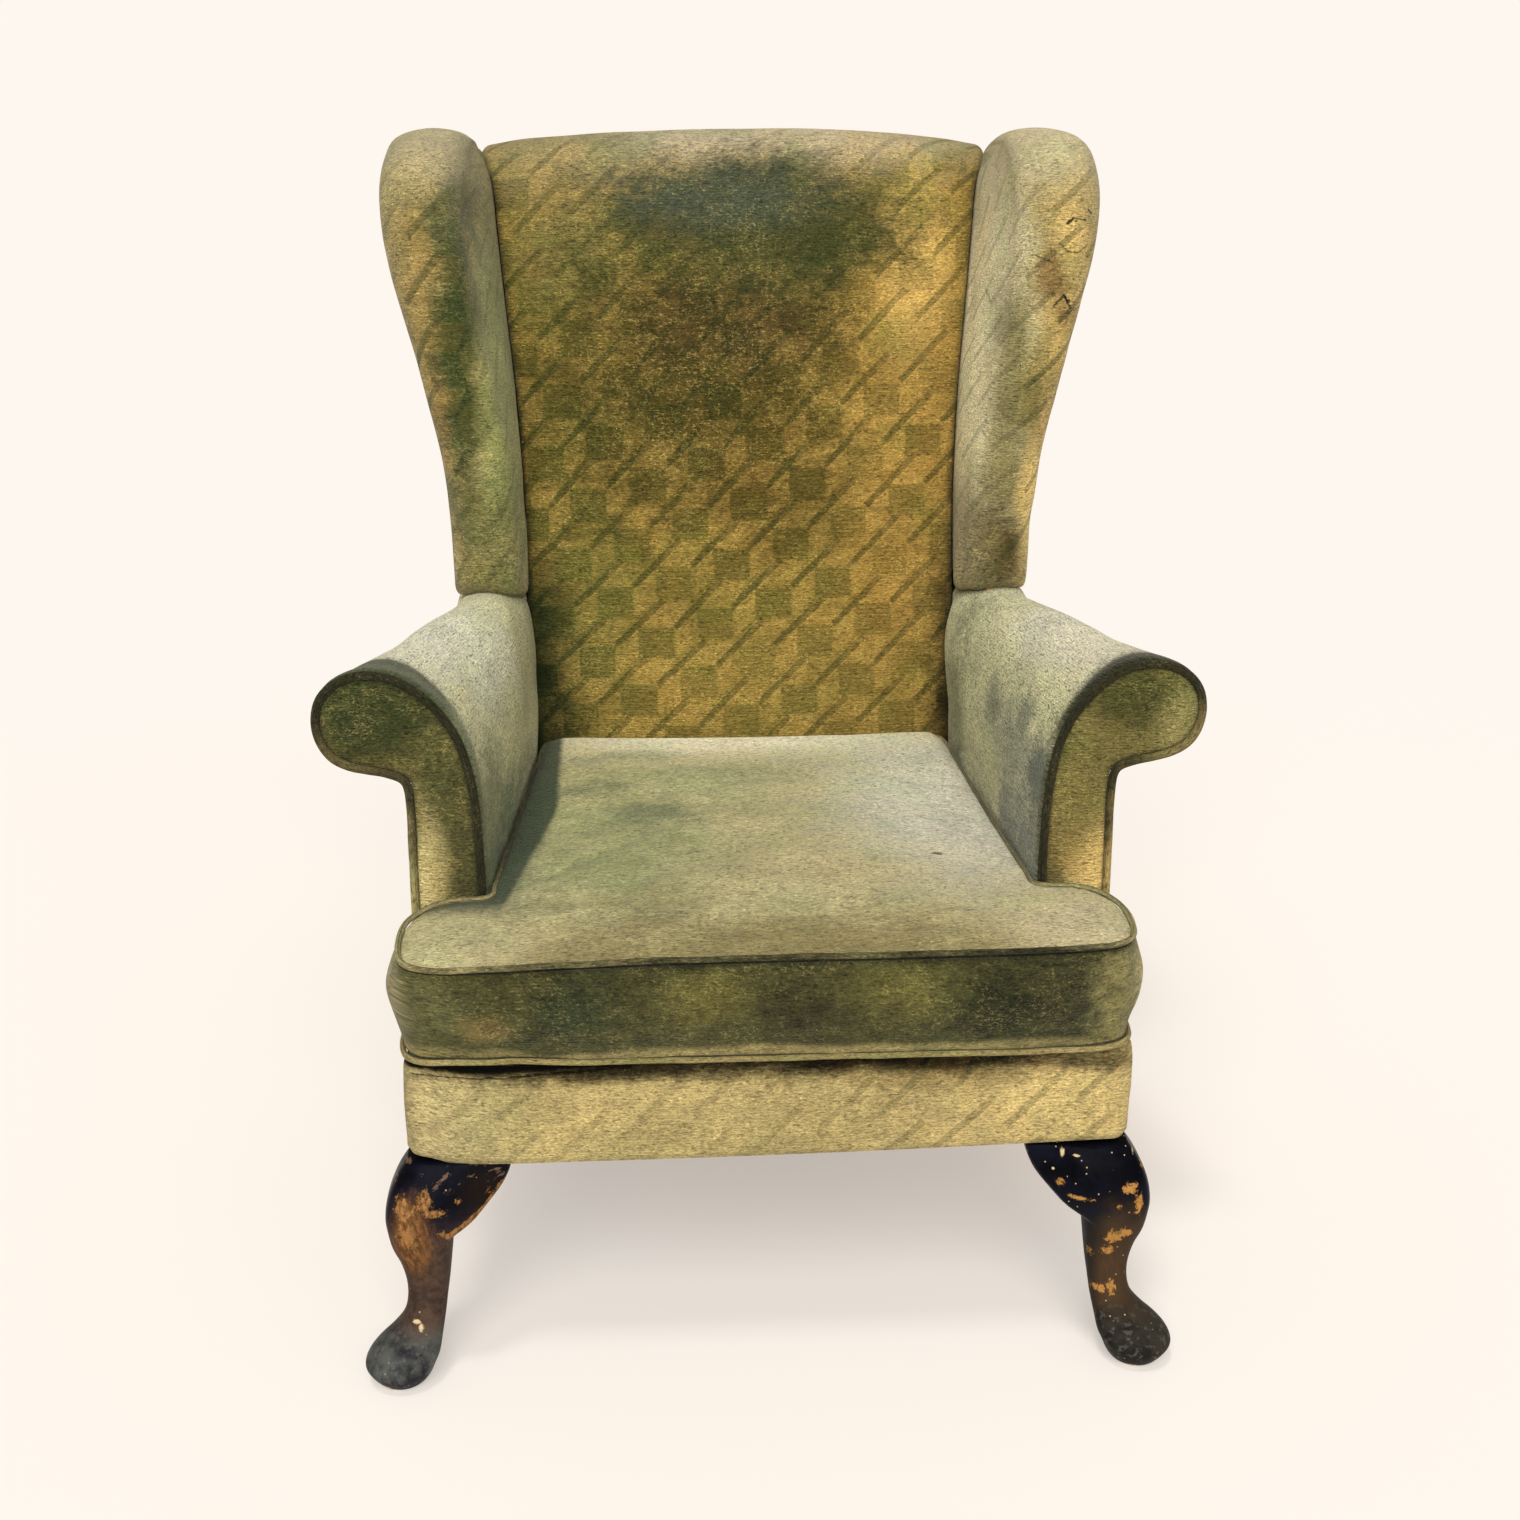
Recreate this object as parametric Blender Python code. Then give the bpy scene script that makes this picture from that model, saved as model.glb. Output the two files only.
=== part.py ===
"""Old wing armchair: beech frame, cabriole front legs, zigzag seat springs, webbed back,
padded arms, wings and back, loose T-shaped seat cushion with piped seams.

Metres, +Z up, the sitter faces -Y, +X is the viewer's right when looking at the front.
Shapes are laid out with y = 0 on the front face of the front border, then moved back by
DEPTH_CENTRE so that the origin lies on the floor under the middle of the chair.
"""
import math
import bpy
import bmesh
from mathutils import Matrix, Vector

# ------------------------------------------------------------------ driving dimensions
DEPTH_CENTRE = 0.3400      # y of the middle of the whole chair, from the border's front face
GAP = 0.0003               # running gap between pieces that touch
BORDER_BOTTOM = 0.2050     # underside of the upholstered seat
RAIL_BOTTOM, RAIL_TOP = 0.2110, 0.2750
RAIL_FRONT = 0.0120        # front face of the front rail
HALF_FRONT = 0.3130        # half width over the outside panels at the front
HALF_BACK = 0.2935         # the same at the back
PANEL = 0.0060             # outside panels: cloth on card and wadding
RAKE = 0.2357              # run of the back per metre of height
SEAT_Z, SEAT_Y = 0.43, 0.4954   # where the inside back meets the cushion
PAD_BACK = 0.0550          # depth of the back padding, from its edge to the posts
POST_DEPTH = 0.0370
POST_IN, POST_OUT = 0.2520, 0.2820   # rear posts, inner and outer faces
POST_TOP = 0.985
ARM_FRONT = 0.1215         # front of the arm padding; the facing lies in front of it
CUSHION_BOTTOM, CUSHION_SEAM = 0.3085, 0.4020
CUSHION_CROWN = 0.016
PIPE_R = 0.0040            # piping cord with its cover
SPRING_R = 0.0019          # zigzag spring wire
WEB = 0.0022               # webbing thickness


def face_y(z):
    """Inside back, at its edge against the wings and arms."""
    return SEAT_Y + (z - SEAT_Z) * RAKE


def post_y(z):
    return face_y(z) + PAD_BACK


def side_x(y):
    """Outer face of the outside panels, half width at depth y."""
    return HALF_FRONT + (HALF_BACK - HALF_FRONT) * (y - 0.0) / 0.60


def smooth(table, u):
    """Catmull-Rom through rows (u, a, b, ...), with u rising."""
    n = len(table)
    u = min(max(u, table[0][0]), table[-1][0])
    i = max(k for k in range(n - 1) if table[k][0] <= u)
    p1, p2 = table[i], table[i + 1]
    p0, p3 = table[max(i - 1, 0)], table[min(i + 2, n - 1)]
    h = p2[0] - p1[0]
    t = (u - p1[0]) / h
    out = []
    for k in range(1, len(p1)):
        m1 = (p2[k] - p0[k]) / (p2[0] - p0[0]) * h
        m2 = (p3[k] - p1[k]) / (p3[0] - p1[0]) * h
        out.append((2 * t**3 - 3 * t**2 + 1) * p1[k] + (t**3 - 2 * t**2 + t) * m1
                   + (-2 * t**3 + 3 * t**2) * p2[k] + (t**3 - t**2) * m2)
    return out


# half width of the inside back, where it meets wing and arm, by height
JUNCTION = [(0.28, 0.2250), (0.66, 0.2255), (0.73, 0.2285), (0.79, 0.2325), (0.87, 0.2405),
            (0.95, 0.2480), (0.99, 0.2515), (1.01, 0.2575), (1.03, 0.2660)]


def junction(z):
    return smooth(JUNCTION, z)[0]


# ------------------------------------------------------------------ scene and helpers
for old in list(bpy.data.objects):
    bpy.data.objects.remove(old)


def material(name, colour, rough, metal=0.0):
    m = bpy.data.materials.new(name)
    m.use_nodes = True
    b = m.node_tree.nodes["Principled BSDF"]
    b.inputs["Base Color"].default_value = (*colour, 1)
    b.inputs["Roughness"].default_value = rough
    b.inputs["Metallic"].default_value = metal
    m.diffuse_color = (*colour, 1)
    return m


BEECH = material("beech", (0.62, 0.45, 0.27), 0.6)
PAINTED = material("painted_wood", (0.030, 0.026, 0.028), 0.35)
CHENILLE = material("chenille", (0.33, 0.30, 0.14), 0.95)
CHENILLE_GREEN = material("chenille_green", (0.16, 0.17, 0.08), 0.95)
PIPING = material("piping", (0.15, 0.15, 0.08), 0.9)
FELT = material("felt", (0.45, 0.40, 0.30), 0.95)
JUTE = material("jute", (0.48, 0.36, 0.20), 0.95)
STEEL = material("spring_steel", (0.25, 0.24, 0.23), 0.45, 1.0)
HESSIAN = material("bottom_cloth", (0.10, 0.09, 0.08), 0.95)


def finish(name, bm, mat, helper=False):
    bmesh.ops.remove_doubles(bm, verts=bm.verts, dist=1e-6)
    bmesh.ops.recalc_face_normals(bm, faces=bm.faces)
    mesh = bpy.data.meshes.new(name)
    bm.to_mesh(mesh)
    bm.free()
    mesh.transform(Matrix.Translation((0, -DEPTH_CENTRE, 0)))
    obj = bpy.data.objects.new(name, mesh)
    bpy.context.scene.collection.objects.link(obj)
    mesh.materials.append(mat)
    if helper:
        obj.hide_render = True
        obj.display_type = "WIRE"
    else:
        mesh.shade_smooth()
        mesh.set_sharp_from_angle(angle=math.radians(35))
    return obj


def loft(name, rings, mat, helper=False):
    """Bridges a row of closed rings and caps both ends."""
    bm = bmesh.new()
    rows = [[bm.verts.new(p) for p in ring] for ring in rings]
    n = len(rows[0])
    for a, b in zip(rows, rows[1:]):
        for i in range(n):
            j = (i + 1) % n
            bm.faces.new((a[i], a[j], b[j]))
            bm.faces.new((a[i], b[j], b[i]))
    bm.faces.new(rows[0])
    bm.faces.new(rows[-1])
    return finish(name, bm, mat, helper)


def slab(name, outline, normal, depth, mat, helper=False):
    """A flat outline of 3-D points, extruded along normal by depth."""
    bm = bmesh.new()
    face = bm.faces.new([bm.verts.new(p) for p in outline])
    new = bmesh.ops.extrude_face_region(bm, geom=[face])
    bmesh.ops.translate(bm, verts=[v for v in new["geom"] if isinstance(v, bmesh.types.BMVert)],
                        vec=Vector(normal) * depth)
    return finish(name, bm, mat, helper)


def beam(name, a, b, mat, helper=False):
    """A timber between two rectangles a and b, each four corners in the same order."""
    return loft(name, [a, b], mat, helper)


def rect_xz(x0, x1, z0, z1, y):
    """Corners across the depth; y may be a function of z."""
    f = y if callable(y) else (lambda z: y)
    return [(x0, f(z0), z0), (x1, f(z0), z0), (x1, f(z1), z1), (x0, f(z1), z1)]


def rect_yz(y0, y1, z0, z1, x, lean=0.0):
    return [(x, y0, z0), (x, y1, z0), (x, y1 + lean, z1), (x, y0 + lean, z1)]


def rect_xy(x0, x1, y0, y1, z):
    return [(x0, y0, z), (x1, y0, z), (x1, y1, z), (x0, y1, z)]


def cut(obj, cutters):
    for c in cutters:
        m = obj.modifiers.new("cut_" + c.name, "BOOLEAN")
        m.operation = "DIFFERENCE"
        m.solver = "EXACT"
        m.object = c


def tube(name, points, radius, mat, cyclic=False, res=1):
    curve = bpy.data.curves.new(name, "CURVE")
    curve.dimensions = "3D"
    curve.bevel_depth = radius
    curve.bevel_resolution = res
    curve.use_fill_caps = not cyclic
    curve.twist_mode = "Z_UP" if cyclic else "MINIMUM"
    s = curve.splines.new("POLY")
    s.points.add(len(points) - 1)
    for p, q in zip(s.points, points):
        p.co = (q[0], q[1] - DEPTH_CENTRE, q[2], 1)
    s.use_cyclic_u = cyclic
    curve.materials.append(mat)
    obj = bpy.data.objects.new(name, curve)
    bpy.context.scene.collection.objects.link(obj)
    return obj


def mirrored(points, side):
    return [(side * x, y, z) for x, y, z in points]


SIDES = (("left", -1), ("right", 1))

# ------------------------------------------------------------------ front legs
# centre x, centre y, half width, roundness (2 = circle, 4 = square) by height
LEG = [
    (0.0000, 0.3270, -0.0134, 0.0185, 2.0),
    (0.0040, 0.3265, -0.0130, 0.0225, 2.0),
    (0.0110, 0.3270, -0.0134, 0.0275, 2.0),
    (0.0190, 0.3272, -0.0136, 0.0310, 2.0),
    (0.0270, 0.3240, -0.0104, 0.0315, 2.0),
    (0.0350, 0.3195, -0.0059, 0.0285, 2.0),
    (0.0440, 0.3125, 0.0011, 0.0230, 2.1),
    (0.0550, 0.3064, 0.0072, 0.0187, 2.2),
    (0.0700, 0.3033, 0.0103, 0.0176, 2.4),
    (0.0880, 0.3020, 0.0116, 0.0190, 2.6),
    (0.1080, 0.3028, 0.0108, 0.0223, 2.8),
    (0.1250, 0.3048, 0.0088, 0.0263, 2.9),
    (0.1400, 0.3055, 0.0081, 0.0285, 3.0),
    (0.1550, 0.3047, 0.0089, 0.0307, 3.1),
    (0.1730, 0.3012, 0.0124, 0.0312, 3.2),
    (0.1900, 0.2950, 0.0186, 0.0298, 3.4),
    (0.2040, 0.2900, 0.0236, 0.0248, 3.6),
]
STILE = (0.2580, 0.3000, 0.0120, 0.0540)


def leg_ring(row, n=16):
    z, cx, cy, r, k = row
    ring = []
    for i in range(n):
        a = 2 * math.pi * i / n
        c, s = math.cos(a), math.sin(a)
        m = r / (abs(c) ** k + abs(s) ** k) ** (1 / k)
        ring.append((cx + m * c, cy + m * s, z))
    return ring


def stile_ring(z, n=16):
    x0, x1, y0, y1 = STILE
    cx, cy, hx, hy = (x0 + x1) / 2, (y0 + y1) / 2, (x1 - x0) / 2, (y1 - y0) / 2
    ring = []
    for i in range(n):
        a = 2 * math.pi * i / n
        c, s = math.cos(a), math.sin(a)
        m = 1 / max(abs(c), abs(s))
        ring.append((cx + hx * m * c, cy + hy * m * s, z))
    return ring


for side, sgn in SIDES:
    rings = [mirrored(leg_ring(r), sgn) for r in LEG]
    rings += [mirrored(stile_ring(z), sgn) for z in (0.2046, RAIL_TOP)]
    loft(f"front_leg_{side}", rings, PAINTED)

# knee brackets: one beside each leg along the front, one along the side
BRACKET = [(0.2680, 0.1440), (0.2590, 0.1492), (0.2470, 0.1606), (0.2350, 0.1750), (0.2275, 0.1900),
           (0.2240, 0.2038)]
HALF_CORNER = 0.3136       # the legs curve alike to the front and to the side of this corner


def leg_inner(z):
    row = smooth(LEG, z)
    return row[0] - row[2] - 0.0004


root = [(leg_inner(z), z) for z in (0.2038, 0.1900, 0.1730, 0.1550, 0.1400)]
bracket = root + [(leg_inner(0.1400) - 0.002, 0.1392)] + BRACKET
for side, sgn in SIDES:
    slab(f"front_knee_bracket_{side}", [(sgn * x, 0.0060, z) for x, z in bracket], (0, 1, 0), 0.0280, PAINTED)
    slab(f"side_knee_bracket_{side}", [(sgn * (HALF_CORNER - 0.0060), HALF_CORNER - x, z) for x, z in bracket],
         (-sgn, 0, 0), 0.0280, PAINTED)
    for name in (f"front_knee_bracket_{side}", f"side_knee_bracket_{side}"):
        b = bpy.data.objects[name].modifiers.new("round", "BEVEL")
        b.width, b.segments, b.limit_method, b.angle_limit = 0.0035, 2, "ANGLE", math.radians(70)

# ------------------------------------------------------------------ beech frame
POST_START = 0.2110


def rear_post(name, sgn, g, mat, helper=False):
    y0, y1 = post_y(POST_START), post_y(POST_TOP)
    outline = [(0.5860, 0.0), (0.6160, 0.0), (0.5710, 0.1100), (y0 + POST_DEPTH, POST_START),
               (y1 + POST_DEPTH, POST_TOP), (y1, POST_TOP), (y0, POST_START), (0.5330, 0.1100)]
    outline = grown(outline, g)
    return slab(name, [(sgn * (POST_IN - g), y, z) for y, z in outline],
                (sgn, 0, 0), POST_OUT - POST_IN + 2 * g, mat, helper)


def grown(points, g):
    """A closed outline of (a, b) moved outward by g."""
    n = len(points)
    area = sum(points[i][0] * points[(i + 1) % n][1] - points[(i + 1) % n][0] * points[i][1] for i in range(n))
    s = 1 if area > 0 else -1
    out = []
    for i in range(n):
        p, c, q = Vector(points[i - 1]), Vector(points[i]), Vector(points[(i + 1) % n])
        d1, d2 = (c - p).normalized(), (q - c).normalized()
        n1, n2 = Vector((d1.y, -d1.x)) * s, Vector((d2.y, -d2.x)) * s
        m = (n1 + n2) / max(1e-6, 1 + n1.dot(n2))
        out.append((c.x + m.x * g, c.y + m.y * g))
    return out


def along(sgn, inner, outer, z0, z1, start, stop, g=0.0):
    """Two end rings of a rail running front to back. inner and outer are (x at y = 0.1,
    x at y = 0.5) of its faces; start and stop are functions of z."""
    f = lambda pair, y: pair[0] + (pair[1] - pair[0]) * (y - 0.1) / 0.4
    rings = []
    for end in (start, stop):
        rings.append([(sgn * (f(pair, end(z)) + e * g), end(z), z) for pair, e, z in
                      ((inner, -1, z0 - g), (outer, 1, z0 - g), (outer, 1, z1 + g), (inner, -1, z1 + g))])
    return rings


def inner_rail_x(y):
    return SIDE_RAIL[0][0] + (SIDE_RAIL[0][1] - SIDE_RAIL[0][0]) * (y - 0.1) / 0.4


SIDE_RAIL = ((0.2735, 0.2600), (0.2990, 0.2855))
loft("front_seat_rail", [
    rect_yz(RAIL_FRONT, RAIL_FRONT + 0.026, RAIL_BOTTOM, RAIL_TOP, -STILE[0] + GAP),
    rect_yz(RAIL_FRONT, RAIL_FRONT + 0.026, RAIL_BOTTOM, RAIL_TOP, STILE[0] - GAP)], BEECH)
BACK_RAIL = (post_y(RAIL_BOTTOM) + 0.004, 0.026)
loft("back_seat_rail", [
    rect_yz(BACK_RAIL[0], BACK_RAIL[0] + BACK_RAIL[1], RAIL_BOTTOM, RAIL_TOP, -POST_IN + GAP),
    rect_yz(BACK_RAIL[0], BACK_RAIL[0] + BACK_RAIL[1], RAIL_BOTTOM, RAIL_TOP, POST_IN - GAP)], BEECH)
for side, sgn in SIDES:
    rear_post(f"rear_post_{side}", sgn, 0.0, PAINTED)
    loft(f"side_seat_rail_{side}", along(sgn, *SIDE_RAIL, RAIL_BOTTOM, RAIL_TOP,
                                         lambda z: STILE[3] + GAP, lambda z: post_y(z) - GAP), BEECH)
    # corner blocks, glued and screwed into the seat frame's corners
    zb = 0.2300
    yf, yr = RAIL_FRONT + 0.026 + GAP, BACK_RAIL[0] - GAP
    ys = STILE[3] + 2 * GAP
    slab(f"front_corner_block_{side}", [
        (sgn * (inner_rail_x(ys) - GAP), ys, zb), (sgn * (inner_rail_x(0.100) - GAP), 0.1000, zb),
        (sgn * 0.2050, yf, zb), (sgn * (STILE[0] - GAP), yf, zb), (sgn * (STILE[0] - GAP), ys, zb)],
        (0, 0, 1), 0.035, BEECH)
    xr = POST_IN - 2 * GAP
    slab(f"rear_corner_block_{side}", [
        (sgn * xr, yr, zb), (sgn * 0.2000, yr, zb), (sgn * (inner_rail_x(yr - 0.055) - GAP), yr - 0.0550, zb),
        (sgn * (inner_rail_x(yr - 0.032) - GAP), yr - 0.0320, zb), (sgn * xr, yr - 0.0310, zb)],
        (0, 0, 1), 0.035, BEECH)


def across(name, z0, z1, front, depth, half, mat=BEECH):
    """A rail between the rear posts that leans with the back."""
    lean = (z1 - z0) * RAKE
    y0 = post_y(z0) + front
    return loft(name, [rect_yz(y0, y0 + depth, z0, z1, -half, lean),
                       rect_yz(y0, y0 + depth, z0, z1, half, lean)], mat)


across("back_top_rail", 0.930, POST_TOP, 0.004, 0.028, POST_IN - GAP)
across("back_lower_rail", 0.345, 0.395, 0.004, 0.028, POST_IN - GAP)

# arm posts, arm rails, wing frames; each is made twice, once grown by GAP to cut the padding
# outline of the scroll-topped arm post, outward x and z
ARM_POST = [(0.2650, RAIL_TOP + GAP), (0.2650, 0.4000), (0.2660, 0.4700), (0.2710, 0.5200), (0.2880, 0.5560),
            (0.3130, 0.5830), (0.3400, 0.5920), (0.3620, 0.5830), (0.3670, 0.5660), (0.3580, 0.5500),
            (0.3340, 0.5400), (0.3130, 0.5330), (0.3000, 0.5100), (0.2960, 0.4700), (0.2950, 0.4000),
            (0.2950, RAIL_TOP + GAP)]


def arm_post(name, sgn, g, mat, helper=False):
    y0, y1 = 0.1300 - g, 0.1540 + g
    pts = grown(ARM_POST, g)
    if helper:
        pts = [(x, z - 0.01 if z < RAIL_TOP + 0.001 else z) for x, z in pts]
    return slab(name, [(sgn * x, y0, z) for x, z in pts], (0, 1, 0), y1 - y0, mat, helper)


def arm_rail(name, sgn, g, mat, helper=False):
    return loft(name, along(sgn, (0.2880, 0.2430), (0.3380, 0.2870), 0.5380, 0.5600,
                            lambda z: 0.1540 + GAP - g,
                            lambda z: post_y(z) - GAP + (0.02 if helper else 0), g), mat, helper)


def arm_tack_rail(name, sgn, g, mat, helper=False):
    return loft(name, along(sgn, (0.2700, 0.2560), (0.2940, 0.2800), 0.3350, 0.3600,
                            lambda z: 0.1540 + GAP - g,
                            lambda z: post_y(z) - GAP + (0.02 if helper else 0), g), mat, helper)


WING_POST = [(0.5600, 0.2500, 0.2720, 0.4700, 0.5050), (0.6600, 0.2510, 0.2730, 0.4660, 0.5010),
             (0.7600, 0.2590, 0.2810, 0.4600, 0.4950), (0.8600, 0.2790, 0.3010, 0.4560, 0.4910),
             (0.9500, 0.2960, 0.3180, 0.4650, 0.5000)]


def wing_post(name, sgn, g, mat, helper=False):
    rings = []
    for i, (z, x0, x1, y0, y1) in enumerate(WING_POST):
        if i == 0:
            z += GAP - g
        if i == len(WING_POST) - 1:
            z += g
        rings.append([(sgn * x, y, z) for x, y in
                      [(x0 - g, y0 - g), (x1 + g, y0 - g), (x1 + g, y1 + g), (x0 - g, y1 + g)]])
    return loft(name, rings, mat, helper)


def wing_top_rail(name, sgn, g, mat, helper=False):
    """From the top of the wing post back to the rear post."""
    ya = 0.4650
    low, high = 0.9500 + GAP, 0.9880
    f = lambda pair, y: pair[0] + (pair[1] - pair[0]) * (y - ya) / 0.2150
    inner, outer = (0.2960, 0.2560), (0.3180, 0.2780)
    rings = []
    for end in (lambda z: ya - g, lambda z: post_y(z) - GAP + (0.02 if helper else 0)):
        rings.append([(sgn * (f(pair, end(z)) + e * g), end(z), z) for pair, e, z in
                      ((inner, -1, low - g), (outer, 1, low - g), (outer, 1, high + g), (inner, -1, high + g))])
    return loft(name, rings, mat, helper)


cutters = {}
for side, sgn in SIDES:
    for maker in (arm_post, arm_rail, arm_tack_rail, wing_post, wing_top_rail):
        maker(f"{maker.__name__}_{side}", sgn, 0.0, BEECH)
        cutters[maker.__name__, side] = maker(f"cutter_{maker.__name__}_{side}", sgn, GAP, BEECH, True)

# ------------------------------------------------------------------ seat springs and webbing
spring_start, spring_end = 0.0180, BACK_RAIL[0] + 0.020
for k in range(5):
    cx = (k - 2) * 0.088
    loops = 20
    pts = []
    z_end = RAIL_TOP + SPRING_R + GAP
    for i in range(loops + 1):
        y = spring_start + (spring_end - spring_start) * i / loops
        flat = 0.040
        arch = 0.0120 * math.sin(math.pi * min(max((y - flat) / (0.470 - flat), 0), 1))
        half = 0.0215 if (i % 2) == (k < 2) else -0.0215
        step = (spring_end - spring_start) / loops * 0.32
        for dy, f in ((-step, 0.72), (0, 1.0), (step, 0.72)):
            yy = min(max(y + dy, spring_start), spring_end)
            if (i == 0 and dy < 0) or (i == loops and dy > 0):
                continue
            pts.append((cx + half * f, yy, z_end + arch))
    tube(f"seat_spring_{k + 1}", pts, SPRING_R, STEEL, res=0)

web_y = PAD_BACK - 0.0085
for k, cx in enumerate((-0.13, 0.0, 0.13)):
    z0, z1 = 0.350, 0.980
    y0, y1 = post_y(z0) + 0.004 - GAP - WEB, post_y(z1) + 0.004 - GAP - WEB
    loft(f"back_web_upright_{k + 1}", [
        rect_xy(cx - 0.025, cx + 0.025, y0, y0 + WEB, z0),
        rect_xy(cx - 0.025, cx + 0.025, y1, y1 + WEB, z1)], JUTE)
for k, zc in enumerate((0.47, 0.66, 0.82)):
    y0 = post_y(zc - 0.025)
    lean = 0.05 * RAKE
    front = -GAP - WEB
    loft(f"back_web_cross_{k + 1}", [
        rect_yz(y0 + front, y0 + front + WEB, zc - 0.025, zc + 0.025, -0.2780, lean),
        rect_yz(y0 + front, y0 + front + WEB, zc - 0.025, zc + 0.025, 0.2780, lean)], JUTE)

# ------------------------------------------------------------------ inside back
BACK_CROWN = 0.016
TOP_CREST = 0.018


def back_section(u):
    """The back padding's outline at u, from -1 to 1 across its width: up the front and over
    the top, then down the rear; both chains end at the bottom."""
    edge = 1 - abs(u) ** 2.4
    crown = BACK_CROWN * edge
    top = 1.0265 + TOP_CREST * (1 - u * u)
    yc = face_y(0.965) + 0.0500
    front, rear = [], []
    for z in (0.3060, 0.42, 0.55, 0.68, 0.80, 0.90, 0.955):
        front.append((face_y(z) - crown * min(1, (z - 0.30) / 0.12 + 0.4), z))
    front.append((yc - 0.0490 - crown * 0.6, POST_TOP + 4 * GAP - 0.0001))
    for a in (150, 125, 100):
        ca, sa = math.cos(math.radians(a)), math.sin(math.radians(a))
        front.append((yc + 0.0490 * ca - (crown * 0.5 if a > 100 else 0), 0.982 + (top - 0.982) * sa))
    for a in (75, 50, 25):
        ca, sa = math.cos(math.radians(a)), math.sin(math.radians(a))
        rear.append((yc + 0.0490 * ca, 0.982 + (top - 0.982) * sa))
    back = post_y(POST_TOP) + POST_DEPTH + PANEL
    inset = 2 * WEB + 4 * GAP
    rear += [(back, 1.0000), (back, POST_TOP + 4 * GAP), (post_y(POST_TOP) - inset, POST_TOP + 4 * GAP)]
    for z in (0.970, 0.955, 0.90, 0.80, 0.68, 0.55, 0.42, 0.3060):
        rear.append((post_y(z) - inset, z))
    return front, rear


def inside_back(name, g, helper=False):
    bm = bmesh.new()
    rows, nf = [], 0
    for u in (-1.0, -0.93, -0.75, -0.45, 0.0, 0.45, 0.75, 0.93, 1.0):
        front, rear = back_section(u)
        plain, nf = front + rear, len(front)
        rows.append([bm.verts.new((u * (junction(z0) - GAP + g), y, z))
                     for (y, z), (_, z0) in zip(grown(plain, g), plain)])
    n = len(rows[0])
    for a, b in zip(rows, rows[1:]):
        for i in range(n):
            j = (i + 1) % n
            bm.faces.new((a[i], a[j], b[j]))
            bm.faces.new((a[i], b[j], b[i]))
    # the sides curve with height, so they are closed level by level
    for row in (rows[0], rows[-1]):
        up, down = row[:nf], row[:nf - 1:-1]
        i = j = 0
        while i < len(up) - 1 or j < len(down) - 1:
            if j == len(down) - 1 or (i < len(up) - 1 and up[i + 1].co.z <= down[j + 1].co.z):
                bm.faces.new((up[i], up[i + 1], down[j]))
                i += 1
            else:
                bm.faces.new((up[i], down[j + 1], down[j]))
                j += 1
    return finish(name, bm, CHENILLE, helper)


inside_back("inside_back", 0.0)
back_helper = inside_back("cutter_inside_back", 2 * GAP, True)


# ------------------------------------------------------------------ arms
# one row each: front x, z then rear x, z of the padded arm's section, from the inside bottom,
# over the scroll and down the outside
ARM = [
    (0.2470, 0.2756, 0.2170, 0.2756), (0.2460, 0.3400, 0.2165, 0.3400), (0.2455, 0.4000, 0.2165, 0.4000),
    (0.2460, 0.4500, 0.2165, 0.4500), (0.2485, 0.4950, 0.2155, 0.4950), (0.2540, 0.5300, 0.2155, 0.5300),
    (0.2630, 0.5560, 0.2185, 0.5540), (0.2770, 0.5780, 0.2255, 0.5730), (0.2950, 0.5960, 0.2360, 0.5850),
    (0.3150, 0.6080, 0.2490, 0.5925), (0.3360, 0.6130, 0.2610, 0.5955), (0.3560, 0.6110, 0.2730, 0.5945),
    (0.3740, 0.6020, 0.2845, 0.5900), (0.3860, 0.5870, 0.2940, 0.5800), (0.3900, 0.5680, 0.2985, 0.5670),
    (0.3870, 0.5490, 0.2985, 0.5530), (0.3770, 0.5330, 0.2965, 0.5400), (0.3620, 0.5240, 0.2940, 0.5320),
    (0.3450, 0.5195, 0.2920, 0.5260), (0.3280, 0.5160, 0.2900, 0.5200), (0.3160, 0.5100, 0.2885, 0.5130),
]
ARM_REAR = 0.4500


def arm_point(i, t):
    fx, fz, rx, rz = ARM[i]
    z = fz
    for _ in range(3):
        y = ARM_FRONT + t * (post_y(z) - WEB - 2 * GAP - ARM_FRONT)
        s = min(1.0, (y - ARM_FRONT) / (ARM_REAR - ARM_FRONT))
        z = fz + (rz - fz) * s
    return fx + (rx - fx) * s, y, z


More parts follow.
